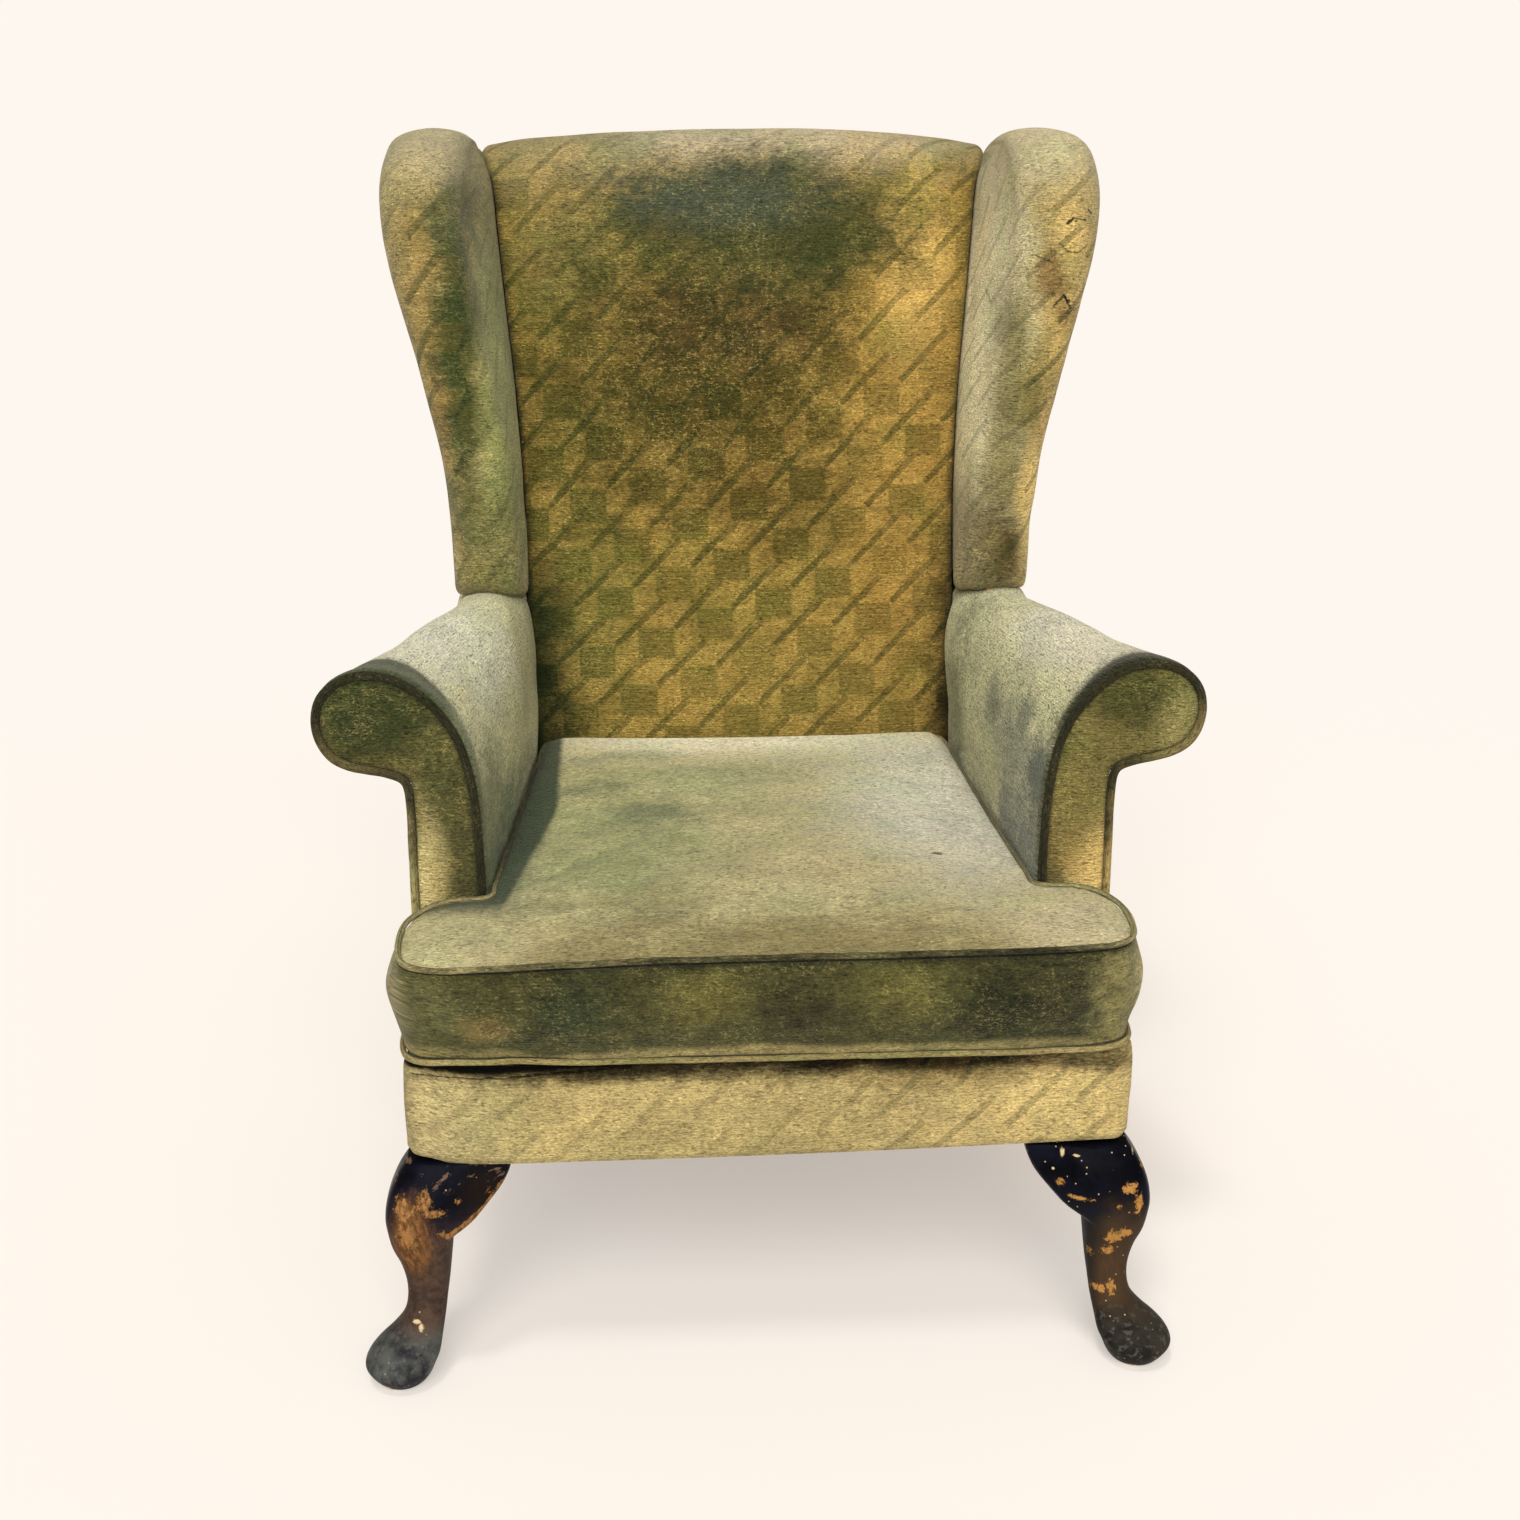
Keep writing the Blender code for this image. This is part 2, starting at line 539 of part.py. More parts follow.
for side, sgn in SIDES:
    rings = []
    for t in (0.0, 0.25, 0.5, 0.72, 0.86, 1.0):
        ring = [arm_point(i, t) for i in range(len(ARM))]
        for z in (0.5080, RAIL_TOP + 2 * GAP):
            y = ARM_FRONT + t * (post_y(z) - WEB - 2 * GAP - ARM_FRONT)
            ring.append((side_x(y) - PANEL - 2 * GAP, y, z))
        rings.append(mirrored(ring, sgn))
    pad = loft(f"arm_pad_{side}", rings, CHENILLE)
    cut(pad, [cutters[n, side] for n in ("arm_post", "arm_rail", "arm_tack_rail", "wing_post")]
        + [back_helper])

    # scroll facing, its edge set in by the piping's width, and the piping round it
    outline = [(ARM[i][0], ARM[i][1]) for i in range(1, len(ARM))]
    outline += [(0.3128, 0.4950), (0.3128, 0.4300), (0.3128, 0.3700), (0.3128, 0.3070)]
    outline[0] = (0.2460, 0.3070)
    n_in = 9.0e-3
    face = grown(outline, -n_in)
    face = [(x, max(z, 0.3130)) for x, z in face]
    slab(f"arm_facing_{side}", [(sgn * x, 0.1130, z) for x, z in face], (0, 1, 0), 0.0080, CHENILLE_GREEN)
    ring = grown(outline, -(PIPE_R + 0.0005))
    ring = [(sgn * x, 0.1168, z) for x, z in ring]
    ring[0] = (ring[0][0], ring[0][1], 0.3090)
    ring[-1] = (ring[-1][0], ring[-1][1], 0.3090)
    tube(f"arm_piping_{side}", ring, PIPE_R - 0.0001, PIPING)

    # outside arm panel: one piece with the side border, from the front corner to the rear post
    p = [(0.0130, BORDER_BOTTOM), (post_y(BORDER_BOTTOM) + POST_DEPTH, BORDER_BOTTOM),
         (post_y(0.5960) + POST_DEPTH, 0.5960), (post_y(0.5960), 0.5960), (post_y(0.5070), 0.5070),
         (ARM_FRONT, 0.5070), (ARM_FRONT, 0.3040),
         (0.1000, 0.2990), (0.0560, 0.2990), (0.0540, 0.2860), (0.0130, 0.2860)]
    outer = [(sgn * side_x(y), y, z) for y, z in p]
    inner = [(sgn * (side_x(y) - PANEL), y, z) for y, z in p]
    loft(f"outside_arm_{side}", [outer, inner], CHENILLE)

# ------------------------------------------------------------------ wings
# along the wing's edge from the arm up and over to the outside back: edge y, z; x of the edge
# line; half thickness of the edge roll
WING = [
    (0.00, 0.4560, 0.5965, 0.2620, 0.0330), (0.09, 0.4500, 0.6600, 0.2625, 0.0335),
    (0.18, 0.4430, 0.7300, 0.2670, 0.0345), (0.27, 0.4370, 0.8000, 0.2790, 0.0355),
    (0.36, 0.4340, 0.8700, 0.2940, 0.0370), (0.45, 0.4380, 0.9350, 0.3055, 0.0395),
    (0.53, 0.4520, 0.9850, 0.3110, 0.0410), (0.61, 0.4830, 1.0240, 0.3100, 0.0410),
    (0.70, 0.5330, 1.0440, 0.3070, 0.0400), (0.80, 0.5950, 1.0470, 0.3040, 0.0380),
    (0.90, 0.6600, 1.0380, 0.3000, 0.0350), (1.00, 0.7150, 1.0180, 0.2960, 0.0310),
]
# along the rear of the wing, up the front of the post and back over its top
WING_REAR = [(0.00, 0.5965), (0.53, 0.9400), (0.70, POST_TOP)]


def wing_rear(s):
    """y, z of the wing's rear line at s."""
    if s <= 0.70:
        z = smooth([(0.0, 0.5965), (0.36, 0.8500), (0.70, POST_TOP + 2 * GAP)], s)[0]
        return post_y(z) - WEB - 2 * GAP, z
    t = (s - 0.70) / 0.30
    z = POST_TOP + 2 * GAP
    return post_y(z) - WEB - 2 * GAP + t * (POST_DEPTH + PANEL + WEB + 3 * GAP), z


def wing_section(s, cuts, panel=True):
    """One ring of the wing's padding: inner rear, inner face, edge roll, outer face."""
    ey, ez, ex, r = smooth(WING, s)
    qy, qz = wing_rear(s)
    length = math.hypot(qy - ey, qz - ez)
    # never thicker at the rear than the room between back pad and outside panel
    inner_end = junction(min(qz, 1.0)) + 2 * GAP
    outer_end = side_x(qy) - (PANEL if panel else 0) - 2 * GAP
    ring = []
    for d in reversed(cuts):
        dist = d * r if d <= 1 else r + (d - 1) * (length - r)
        t = dist / length
        w = math.sqrt(max(0.0, 1 - (1 - min(d, 1)) ** 2))
        x = ex - r * w if d <= 1 else (ex - r) + (inner_end - (ex - r)) * (d - 1)
        ring.append((x, ey + (qy - ey) * t, ez + (qz - ez) * t))
    for d in cuts[1:]:
        dist = d * r if d <= 1 else r + (d - 1) * (length - r)
        t = dist / length
        w = math.sqrt(max(0.0, 1 - (1 - min(d, 1)) ** 2))
        x = ex + r * w if d <= 1 else (ex + r) + (outer_end + (PANEL if panel else 0) - (ex + r)) * (d - 1)
        if d > 1 and panel:
            x -= PANEL
        ring.append((x, ey + (qy - ey) * t, ez + (qz - ez) * t))
    return ring


CUTS = [0.0, 0.05, 0.2, 0.45, 0.75, 1.0, 1.1, 1.5, 2.0]
STATIONS = [0.0, 0.09, 0.18, 0.27, 0.36, 0.45, 0.53, 0.61, 0.70, 0.80, 0.90, 1.0]
for side, sgn in SIDES:
    rings = [mirrored(wing_section(s, CUTS), sgn) for s in STATIONS]
    pad = loft(f"wing_pad_{side}", rings, CHENILLE)
    cut(pad, [cutters[n, side] for n in ("wing_post", "wing_top_rail")] + [back_helper])

    # outside wing panel, let in behind the edge roll
    n_in = len(CUTS)
    outer_cols = [CUTS.index(c) for c in (1.1, 1.5, 2.0)]
    skin, lining = [], []
    for s in STATIONS[:-3]:
        ring = wing_section(s, CUTS)
        row = [ring[n_in - 1 + k] for k in outer_cols]
        # and on over the outer face of the rear post
        x, y, z = row[-1]
        row.append((x, post_y(z) + POST_DEPTH, z))
        lining.append([(x + 2 * GAP, y, z) for x, y, z in row])
        skin.append([(x + PANEL, y, z) for x, y, z in row])
    bm = bmesh.new()
    grids = []
    for rows in (skin, lining):
        grids.append([[bm.verts.new((sgn * x, y, z)) for x, y, z in row] for row in rows])
    n, m = len(skin), len(skin[0])
    for g in grids:
        for i in range(n - 1):
            for j in range(m - 1):
                bm.faces.new((g[i][j], g[i][j + 1], g[i + 1][j + 1]))
                bm.faces.new((g[i][j], g[i + 1][j + 1], g[i + 1][j]))
    a, b = grids
    for i in range(n - 1):
        bm.faces.new((a[i][0], a[i + 1][0], b[i + 1][0], b[i][0]))
        bm.faces.new((a[i][-1], a[i + 1][-1], b[i + 1][-1], b[i][-1]))
    for j in range(m - 1):
        bm.faces.new((a[0][j], a[0][j + 1], b[0][j + 1], b[0][j]))
        bm.faces.new((a[-1][j], a[-1][j + 1], b[-1][j + 1], b[-1][j]))
    finish(f"outside_wing_{side}", bm, CHENILLE)

# ------------------------------------------------------------------ outside back
z0, z1 = POST_START + 0.0005, POST_TOP
rear0, rear1 = post_y(z0) + POST_DEPTH + GAP, post_y(z1) + POST_DEPTH + GAP
loft("outside_back", [
    rect_xy(-HALF_BACK + 0.0050, HALF_BACK - 0.0050, rear0, rear0 + PANEL - 2 * GAP, z0),
    rect_xy(-HALF_BACK + 0.0020, HALF_BACK - 0.0020, rear1, rear1 + PANEL - 2 * GAP, z1)], CHENILLE)

# ------------------------------------------------------------------ seat platform and border
over_springs = RAIL_TOP + 4 * GAP + 2 * SPRING_R
roll = [(0.0125, over_springs), (0.0470, over_springs + 0.0006), (0.0490, 0.2900), (0.0440, 0.2960),
        (0.0300, 0.2980), (0.0160, 0.2950), (0.0120, 0.2880)]
slab("front_edge_roll", [(-0.2990, y, z) for y, z in roll], (1, 0, 0), 0.5980, FELT)
border = [(0.0000, BORDER_BOTTOM), (0.0112, BORDER_BOTTOM), (0.0112, 0.2885), (0.0155, 0.2962),
          (0.0300, 0.2990), (0.0445, 0.2968), (0.0510, 0.2925), (0.0530, 0.2990), (0.0400, 0.3025),
          (0.0250, 0.3020), (0.0110, 0.2970), (0.0025, 0.2870), (-0.0010, 0.2680), (-0.0010, 0.2400)]
slab("front_border", [(-HALF_FRONT, y, z) for y, z in border], (1, 0, 0), 2 * HALF_FRONT, CHENILLE)
slab("bottom_cloth", [(-0.2850, 0.0560, 0.2090), (0.2850, 0.0560, 0.2090), (0.2680, 0.4960, 0.2090),
                      (-0.2680, 0.4960, 0.2090)], (0, 0, 1), 0.0016, HESSIAN)

# ------------------------------------------------------------------ seat cushion
# half of the T-shaped plan, from the middle of the front to the middle of the back
PLAN = [(0.0, -0.0300), (0.1500, -0.0300), (0.2500, -0.0290), (0.2850, -0.0250), (0.3030, -0.0120),
        (0.3100, 0.0100), (0.3110, 0.0450), (0.3060, 0.0700), (0.2930, 0.0930), (0.2740, 0.1040),
        (0.2540, 0.1060), (0.2440, 0.1110), (0.2425, 0.1300), (0.2345, 0.2200), (0.2255, 0.3200),
        (0.2165, 0.4200), (0.2130, 0.4600), (0.2080, 0.4740), (0.1950, 0.4790), (0.1000, 0.4740),
        (0.0, 0.4720)]
plan = PLAN + [(-x, y) for x, y in reversed(PLAN[1:-1])]


def lean(y, z):
    return (z - 0.4020) * RAKE * min(max((y - 0.12) / 0.33, 0), 1)


def rise(y, z):
    """The cushion is thicker towards the back, where it is sat on less."""
    return 0.050 * y * (z - CUSHION_BOTTOM) / (CUSHION_SEAM - CUSHION_BOTTOM)


rings = []
for z, g in ((CUSHION_BOTTOM, -0.0090), (CUSHION_BOTTOM + 0.0075, -0.0040), (0.3300, 0.0035), (0.3550, 0.0060),
             (0.3800, 0.0035), (CUSHION_SEAM - 0.0050, -0.0040), (CUSHION_SEAM + 0.0020, -0.0090)):
    ring = []
    for (x, y), (gx, gy) in zip(plan, grown(plan, g)):
        # the sides stay clear of the arms, and the rear leans with the back
        if y > 0.1000 and g > 0:
            gx, gy = x, min(gy, y)
        ring.append((gx, gy + lean(gy, z), z + rise(gy, z)))
    rings.append(ring)
for k, k_bar, up in ((0.94, 0.85, 0.36), (0.84, 0.70, 0.65), (0.68, 0.50, 0.87), (0.45, 0.30, 1.0)):
    ring = []
    for x, y in plan:
        if y > 0.1115:
            y = 0.22 + k * (y - 0.22)
        else:
            y = 0.04 + k_bar * (y - 0.04)
        ring.append((k * x, y, CUSHION_SEAM + CUSHION_CROWN * up + rise(y, CUSHION_SEAM)))
    rings.append(ring)
loft("seat_cushion", rings, CHENILLE)
# the platform, felt over hessian on the springs, keeps inside the cushion's lower piping
under = [(x, y + lean(y, 0.3060)) for x, y in grown(plan, -0.0080) if y > 0.0900 and (y > 0.12 or abs(x) < 0.26)]
front_y = 0.0535
right = [p for p in under if p[0] >= 0]
left = [p for p in under if p[0] < 0]
outline = [(-0.2500, front_y), (0.2500, front_y)] + right + left
slab("seat_platform", [(x, y, 0.2914) for x, y in outline], (0, 0, 1), CUSHION_BOTTOM - GAP - 0.2914, FELT)
for name, z in (("cushion_piping_top", CUSHION_SEAM + 0.0020), ("cushion_piping_bottom", CUSHION_BOTTOM + 0.0004)):
    ring = []
    for (x, y), (gx, gy) in zip(plan, grown(plan, -0.0030)):
        ring.append((gx, gy + lean(gy, z), z + rise(gy, z)))
    # the cord lies in the corner between the top or bottom and the side
    up = 0.0016 if "top" in name else 0.0
    tube(name, [(x, y, z + up) for x, y, z in ring], 0.0030, PIPING, cyclic=True)
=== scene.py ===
import math
import bpy
import bmesh
import numpy as np
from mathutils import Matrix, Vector
from mathutils.geometry import delaunay_2d_cdt


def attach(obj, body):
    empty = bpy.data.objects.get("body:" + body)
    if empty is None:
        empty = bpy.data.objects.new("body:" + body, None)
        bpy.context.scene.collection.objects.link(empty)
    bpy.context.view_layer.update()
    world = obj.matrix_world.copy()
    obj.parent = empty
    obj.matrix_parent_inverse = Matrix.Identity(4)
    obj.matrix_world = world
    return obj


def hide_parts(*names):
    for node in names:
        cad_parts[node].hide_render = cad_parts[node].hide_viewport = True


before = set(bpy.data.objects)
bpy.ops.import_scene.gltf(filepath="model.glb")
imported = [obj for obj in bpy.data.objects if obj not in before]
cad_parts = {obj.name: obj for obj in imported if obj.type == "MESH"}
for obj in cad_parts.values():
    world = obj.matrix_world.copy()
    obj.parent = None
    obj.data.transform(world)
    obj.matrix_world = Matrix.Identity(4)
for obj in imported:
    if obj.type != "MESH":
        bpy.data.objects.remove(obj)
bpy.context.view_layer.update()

DEPTH = 0.3400
GAP = 0.0003
BORDER_BOTTOM = 0.2050
RAIL_TOP = 0.2750
HALF_FRONT, HALF_BACK = 0.3130, 0.2935
PANEL = 0.0060
RAKE = 0.2357
SEAT_Z, SEAT_Y = 0.43, 0.4954
PAD_BACK = 0.0550
POST_DEPTH = 0.0370
POST_IN, POST_OUT = 0.2520, 0.2820
POST_START, POST_TOP = 0.2110, 0.985
ARM_FRONT, ARM_REAR = 0.1215, 0.4500
CUSHION_BOTTOM, CUSHION_SEAM, CUSHION_CROWN = 0.3085, 0.4020, 0.016
WEB = 0.0022


# ------------------------------------------------------------------ numbers and noise
def spline(knots, values, at):
    """Catmull-Rom through values (n, ...) at rising knots."""
    k = np.asarray(knots, float)
    v = np.asarray(values, float)
    shape = v.shape[1:]
    v = v.reshape(len(k), -1)
    at = np.clip(np.atleast_1d(np.asarray(at, float)), k[0], k[-1])
    i = np.clip(np.searchsorted(k, at, side="right") - 1, 0, len(k) - 2)
    m = np.empty_like(v)
    m[1:-1] = (v[2:] - v[:-2]) / (k[2:] - k[:-2])[:, None]
    m[0], m[-1] = (v[1] - v[0]) / (k[1] - k[0]), (v[-1] - v[-2]) / (k[-1] - k[-2])
    h = (k[i + 1] - k[i])[:, None]
    t = (at[:, None] - k[i][:, None]) / h
    out = ((2 * t**3 - 3 * t**2 + 1) * v[i] + (t**3 - 2 * t**2 + t) * m[i] * h
           + (-2 * t**3 + 3 * t**2) * v[i + 1] + (t**3 - t**2) * m[i + 1] * h)
    return out.reshape((len(at),) + shape)


def closed_spline(points, n):
    """n points evenly spaced along a smooth closed curve through points."""
    p = np.asarray(points, float)
    p = np.vstack([p[-3:], p, p[:4]])
    d = np.concatenate([[0], np.cumsum(np.linalg.norm(np.diff(p, axis=0), axis=1))])
    fine = spline(d, p, np.linspace(d[3], d[-4], n * 8 + 1))
    e = np.concatenate([[0], np.cumsum(np.linalg.norm(np.diff(fine, axis=0), axis=1))])
    at = np.linspace(0, e[-1], n + 1)[:-1]
    return np.stack([np.interp(at, e, fine[:, k]) for k in range(p.shape[1])], 1)


def open_spline(points, n=None, step=None):
    p = np.asarray(points, float)
    d = np.concatenate([[0], np.cumsum(np.linalg.norm(np.diff(p, axis=0), axis=1))])
    fine = spline(d, p, np.linspace(0, d[-1], 1200))
    e = np.concatenate([[0], np.cumsum(np.linalg.norm(np.diff(fine, axis=0), axis=1))])
    if n is None:
        n = max(2, int(round(e[-1] / step)) + 1)
    at = np.linspace(0, e[-1], n)
    return np.stack([np.interp(at, e, fine[:, k]) for k in range(p.shape[1])], 1)


def hash3(ix, iy, iz, seed):
    h = (ix * 374761393 + iy * 668265263 + iz * 2147483647 + seed * 1274126177) & 0xFFFFFFFF
    h = ((h ^ (h >> 13)) * 1274126177) & 0xFFFFFFFF
    return ((h ^ (h >> 16)) & 0xFFFF) / 65535.0


def noise(P, size, seed=0):
    """Smooth noise from -1 to 1 at points P; size is one cell, or three, in metres."""
    P = np.asarray(P, float)
    Q = P.reshape(-1, 3) / np.asarray(size, float)
    I = np.floor(Q).astype(np.int64)
    F = Q - I
    F = F * F * F * (F * (F * 6 - 15) + 10)
    out = np.zeros(len(Q))
    for dx in (0, 1):
        for dy in (0, 1):
            for dz in (0, 1):
                w = ((F[:, 0] if dx else 1 - F[:, 0]) * (F[:, 1] if dy else 1 - F[:, 1])
                     * (F[:, 2] if dz else 1 - F[:, 2]))
                out += w * hash3(I[:, 0] + dx, I[:, 1] + dy, I[:, 2] + dz, seed)
    return (2 * out - 1).reshape(P.shape[:-1])


def step01(x, lo=0.0, hi=1.0):
    t = np.clip((np.asarray(x, float) - lo) / (hi - lo), 0, 1)
    return t * t * (3 - 2 * t)


def face_y(z):
    return SEAT_Y + (z - SEAT_Z) * RAKE


def post_y(z):
    return face_y(z) + PAD_BACK


def side_x(y):
    return HALF_FRONT + (HALF_BACK - HALF_FRONT) * y / 0.60


JUNCTION = [(0.28, 0.2250), (0.66, 0.2255), (0.73, 0.2285), (0.79, 0.2325), (0.87, 0.2405),
            (0.95, 0.2480), (0.99, 0.2515), (1.01, 0.2575), (1.03, 0.2660)]


def junction(z):
    z = np.asarray(z, float)
    a = np.array(JUNCTION)
    return spline(a[:, 0], a[:, 1], z.ravel()).reshape(z.shape)


def grown(points, g):
    """A closed outline of (a, b) moved outward by g."""
    p = np.asarray(points, float)
    a, c = np.roll(p, 1, 0), np.roll(p, -1, 0)
    area = (p[:, 0] * c[:, 1] - c[:, 0] * p[:, 1]).sum()
    s = 1 if area > 0 else -1
    d1, d2 = p - a, c - p
    d1 /= np.maximum(np.linalg.norm(d1, axis=1, keepdims=True), 1e-12)
    d2 /= np.maximum(np.linalg.norm(d2, axis=1, keepdims=True), 1e-12)
    n1, n2 = np.stack([d1[:, 1], -d1[:, 0]], 1) * s, np.stack([d2[:, 1], -d2[:, 0]], 1) * s
    m = (n1 + n2) / np.maximum(1e-6, 1 + (n1 * n2).sum(1, keepdims=True))
    return p + m * np.asarray(g).reshape(-1, 1)


# ------------------------------------------------------------------ meshes
def quads_of(R, C, closed_r=False, closed_c=False, base=0):
    r = np.arange(R if closed_r else R - 1)
    c = np.arange(C if closed_c else C - 1)
    i, j = np.meshgrid(r, c, indexing="ij")
    i2, j2 = (i + 1) % R, (j + 1) % C
    q = np.stack([i * C + j, i * C + j2, i2 * C + j2, i2 * C + j], -1).reshape(-1, 4)
    return q + base


def mesh_of(name, V, quads=None, tris=None, weave=None, polys=None):
    """A mesh from points in laid-out metres; weave holds the cloth's own coordinates."""
    V = np.asarray(V, float).reshape(-1, 3).copy()
    V[:, 1] -= DEPTH
    me = bpy.data.meshes.new(name)
    loops, starts, at = [], [], 0
    for block, k in ((quads, 4), (tris, 3)):
        if block is not None and len(block):
            b = np.asarray(block, np.int64)
            loops.append(b.ravel())
            starts.append(at + np.arange(len(b)) * k)
            at += b.size
    for poly in polys or []:
        loops.append(np.asarray(poly, np.int64))
        starts.append(np.array([at]))
        at += len(poly)
    loops, starts = np.concatenate(loops), np.concatenate(starts)
    me.vertices.add(len(V))
    me.vertices.foreach_set("co", V.astype(np.float32).ravel())
    me.loops.add(len(loops))
    me.loops.foreach_set("vertex_index", loops.astype(np.int32))
    me.polygons.add(len(starts))
    me.polygons.foreach_set("loop_start", starts.astype(np.int32))
    me.update(calc_edges=True)
    me.validate()
    if weave is not None:
        W = np.asarray(weave, float).reshape(len(V), -1)
        if W.shape[1] == 2:
            W = np.hstack([W, np.zeros((len(W), 1))])
        at = me.attributes.new("weave", "FLOAT_VECTOR", "POINT")
        at.data.foreach_set("vector", W.astype(np.float32).ravel())
    return me


def piece(name, me, mat, smooth=True, sharp=None, recalc=True):
    if recalc:
        bm = bmesh.new()
        bm.from_mesh(me)
        bmesh.ops.recalc_face_normals(bm, faces=bm.faces)
        bm.to_mesh(me)
        bm.free()
    if smooth:
        me.shade_smooth()
        if sharp:
            me.set_sharp_from_angle(angle=math.radians(sharp))
    me.materials.clear()
    me.materials.append(mat)
    ob = bpy.data.objects.new(name, me)
    bpy.context.scene.collection.objects.link(ob)
    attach(ob, "root")
    return ob


def points_of(me):
    co = np.empty(len(me.vertices) * 3, np.float32)
    me.vertices.foreach_get("co", co)
    V = co.reshape(-1, 3).astype(float)
    V[:, 1] += DEPTH
    return V


def set_points(me, V):
    V = np.asarray(V, float).copy()
    V[:, 1] -= DEPTH
    me.vertices.foreach_set("co", V.astype(np.float32).ravel())
    me.update()


def normals_of(me):
    n = np.empty(len(me.vertices) * 3, np.float32)
    me.vertices.foreach_get("normal", n)
    return n.reshape(-1, 3).astype(float)


def grid_normals(P):
    """Normals of a grid of points (R, C, 3)."""
    du = np.gradient(P, axis=1)
    dv = np.gradient(P, axis=0)
    n = np.cross(du, dv)
    return n / np.maximum(np.linalg.norm(n, axis=-1, keepdims=True), 1e-12)


def modified(ob):
    """The object with its modifiers applied."""
    dg = bpy.context.evaluated_depsgraph_get()
    me = bpy.data.meshes.new_from_object(ob.evaluated_get(dg), preserve_all_data_layers=True, depsgraph=dg)
    old = ob.data
    ob.modifiers.clear()
    ob.data = me
    if old.users == 0:
        bpy.data.meshes.remove(old)
    return ob


def tube(path, radius, sides=10, closed=False, cap=True, flat=1.0, up=None):
    """V, quads, polys of a round cord along path; radius may vary; flat squeezes it along up."""
    P = np.asarray(path, float)
    n = len(P)
    r = np.broadcast_to(np.asarray(radius, float), (n,))
    if closed:
        T = np.roll(P, -1, 0) - np.roll(P, 1, 0)
    else:
        T = np.gradient(P, axis=0)
    T /= np.maximum(np.linalg.norm(T, axis=1, keepdims=True), 1e-12)
    if up is None:
        u = np.array([0, 0, 1.0]) if abs(T[0, 2]) < 0.9 else np.array([1.0, 0, 0])
        U = np.empty_like(P)
        for i in range(n):
            u = u - T[i] * (u @ T[i])
            u /= np.linalg.norm(u)
            U[i] = u
    else:
        U = np.broadcast_to(np.asarray(up, float), P.shape)
        U = U - T * (U * T).sum(1, keepdims=True)
        U /= np.maximum(np.linalg.norm(U, axis=1, keepdims=True), 1e-12)
    B = np.cross(T, U)
    a = np.linspace(0, 2 * np.pi, sides, endpoint=False)
    V = (P[:, None] + r[:, None, None] * (np.cos(a)[None, :, None] * U[:, None] * flat
                                          + np.sin(a)[None, :, None] * B[:, None]))
    q = quads_of(n, sides, closed, True)
    polys = []
    if cap and not closed:
        polys = [list(range(sides))[::-1], list(range((n - 1) * sides, n * sides))]
    return V.reshape(-1, 3), q, polys


def joined(parts):
    """Several (V, quads, polys) as one."""
    V, Q, P, at = [], [], [], 0
    for v, q, p in parts:
        V.append(v)
        Q.append(np.asarray(q) + at)
        P += [[k + at for k in poly] for poly in p]
        at += len(v)
    return np.vstack(V), np.vstack(Q), P


# ------------------------------------------------------------------ shader arithmetic
class Val:
    """A socket in a material, for writing shader arithmetic as formulas."""
    tree = None

    def __init__(self, socket):
        self.s = socket

    def __add__(a, b): return calc("ADD", a, b)
    def __radd__(a, b): return calc("ADD", b, a)
    def __sub__(a, b): return calc("SUBTRACT", a, b)
    def __rsub__(a, b): return calc("SUBTRACT", b, a)
    def __mul__(a, b): return calc("MULTIPLY", a, b)
    def __rmul__(a, b): return calc("MULTIPLY", b, a)
    def __truediv__(a, b): return calc("DIVIDE", a, b)
    def __rtruediv__(a, b): return calc("DIVIDE", b, a)


def put(socket, v):
    if isinstance(v, Val):
        Val.tree.links.new(v.s, socket)
    elif isinstance(v, (int, float)):
        if hasattr(socket.default_value, "__len__"):
            n = len(socket.default_value)
            socket.default_value = [v] * 3 + [1] * (n - 3)
        else:
            socket.default_value = v
    else:
        v = list(v)
        n = len(socket.default_value)
        socket.default_value = (v + [1.0])[:n] if n == 4 and len(v) == 3 else v[:n]


def node(kind, **props):
    n = Val.tree.nodes.new(kind)
    for k, v in props.items():
        setattr(n, k, v)
    return n


def calc(op, a, b=None, c=None, clamp=False):
    n = node("ShaderNodeMath", operation=op, use_clamp=clamp)
    put(n.inputs[0], a)
    if b is not None:
        put(n.inputs[1], b)
    if c is not None:
        put(n.inputs[2], c)
    return Val(n.outputs[0])


def vcalc(op, a, b=None, scale=None):
    n = node("ShaderNodeVectorMath", operation=op)
    put(n.inputs[0], a)
    if b is not None:
        put(n.inputs[1], b)
    if scale is not None:
        put(n.inputs["Scale"], scale)
    return Val(n.outputs["Value"] if op in ("LENGTH", "DISTANCE", "DOT_PRODUCT") else n.outputs["Vector"])


def span(v, lo, hi, a=0.0, b=1.0, kind="SMOOTHSTEP"):
    n = node("ShaderNodeMapRange", interpolation_type=kind, clamp=True)
    put(n.inputs["Value"], v)
    put(n.inputs["From Min"], lo)
    put(n.inputs["From Max"], hi)
    put(n.inputs["To Min"], a)
    put(n.inputs["To Max"], b)
    return Val(n.outputs["Result"])


def mix(f, a, b, blend="MIX"):
    n = node("ShaderNodeMix", data_type="RGBA", blend_type=blend)
    put(n.inputs["Factor"], f)
    put(n.inputs[6], a)
    put(n.inputs[7], b)
    return Val(n.outputs[2])


def mixf(f, a, b):
    n = node("ShaderNodeMix", data_type="FLOAT")
    put(n.inputs["Factor"], f)
    put(n.inputs[2], a)
    put(n.inputs[3], b)
    return Val(n.outputs[0])


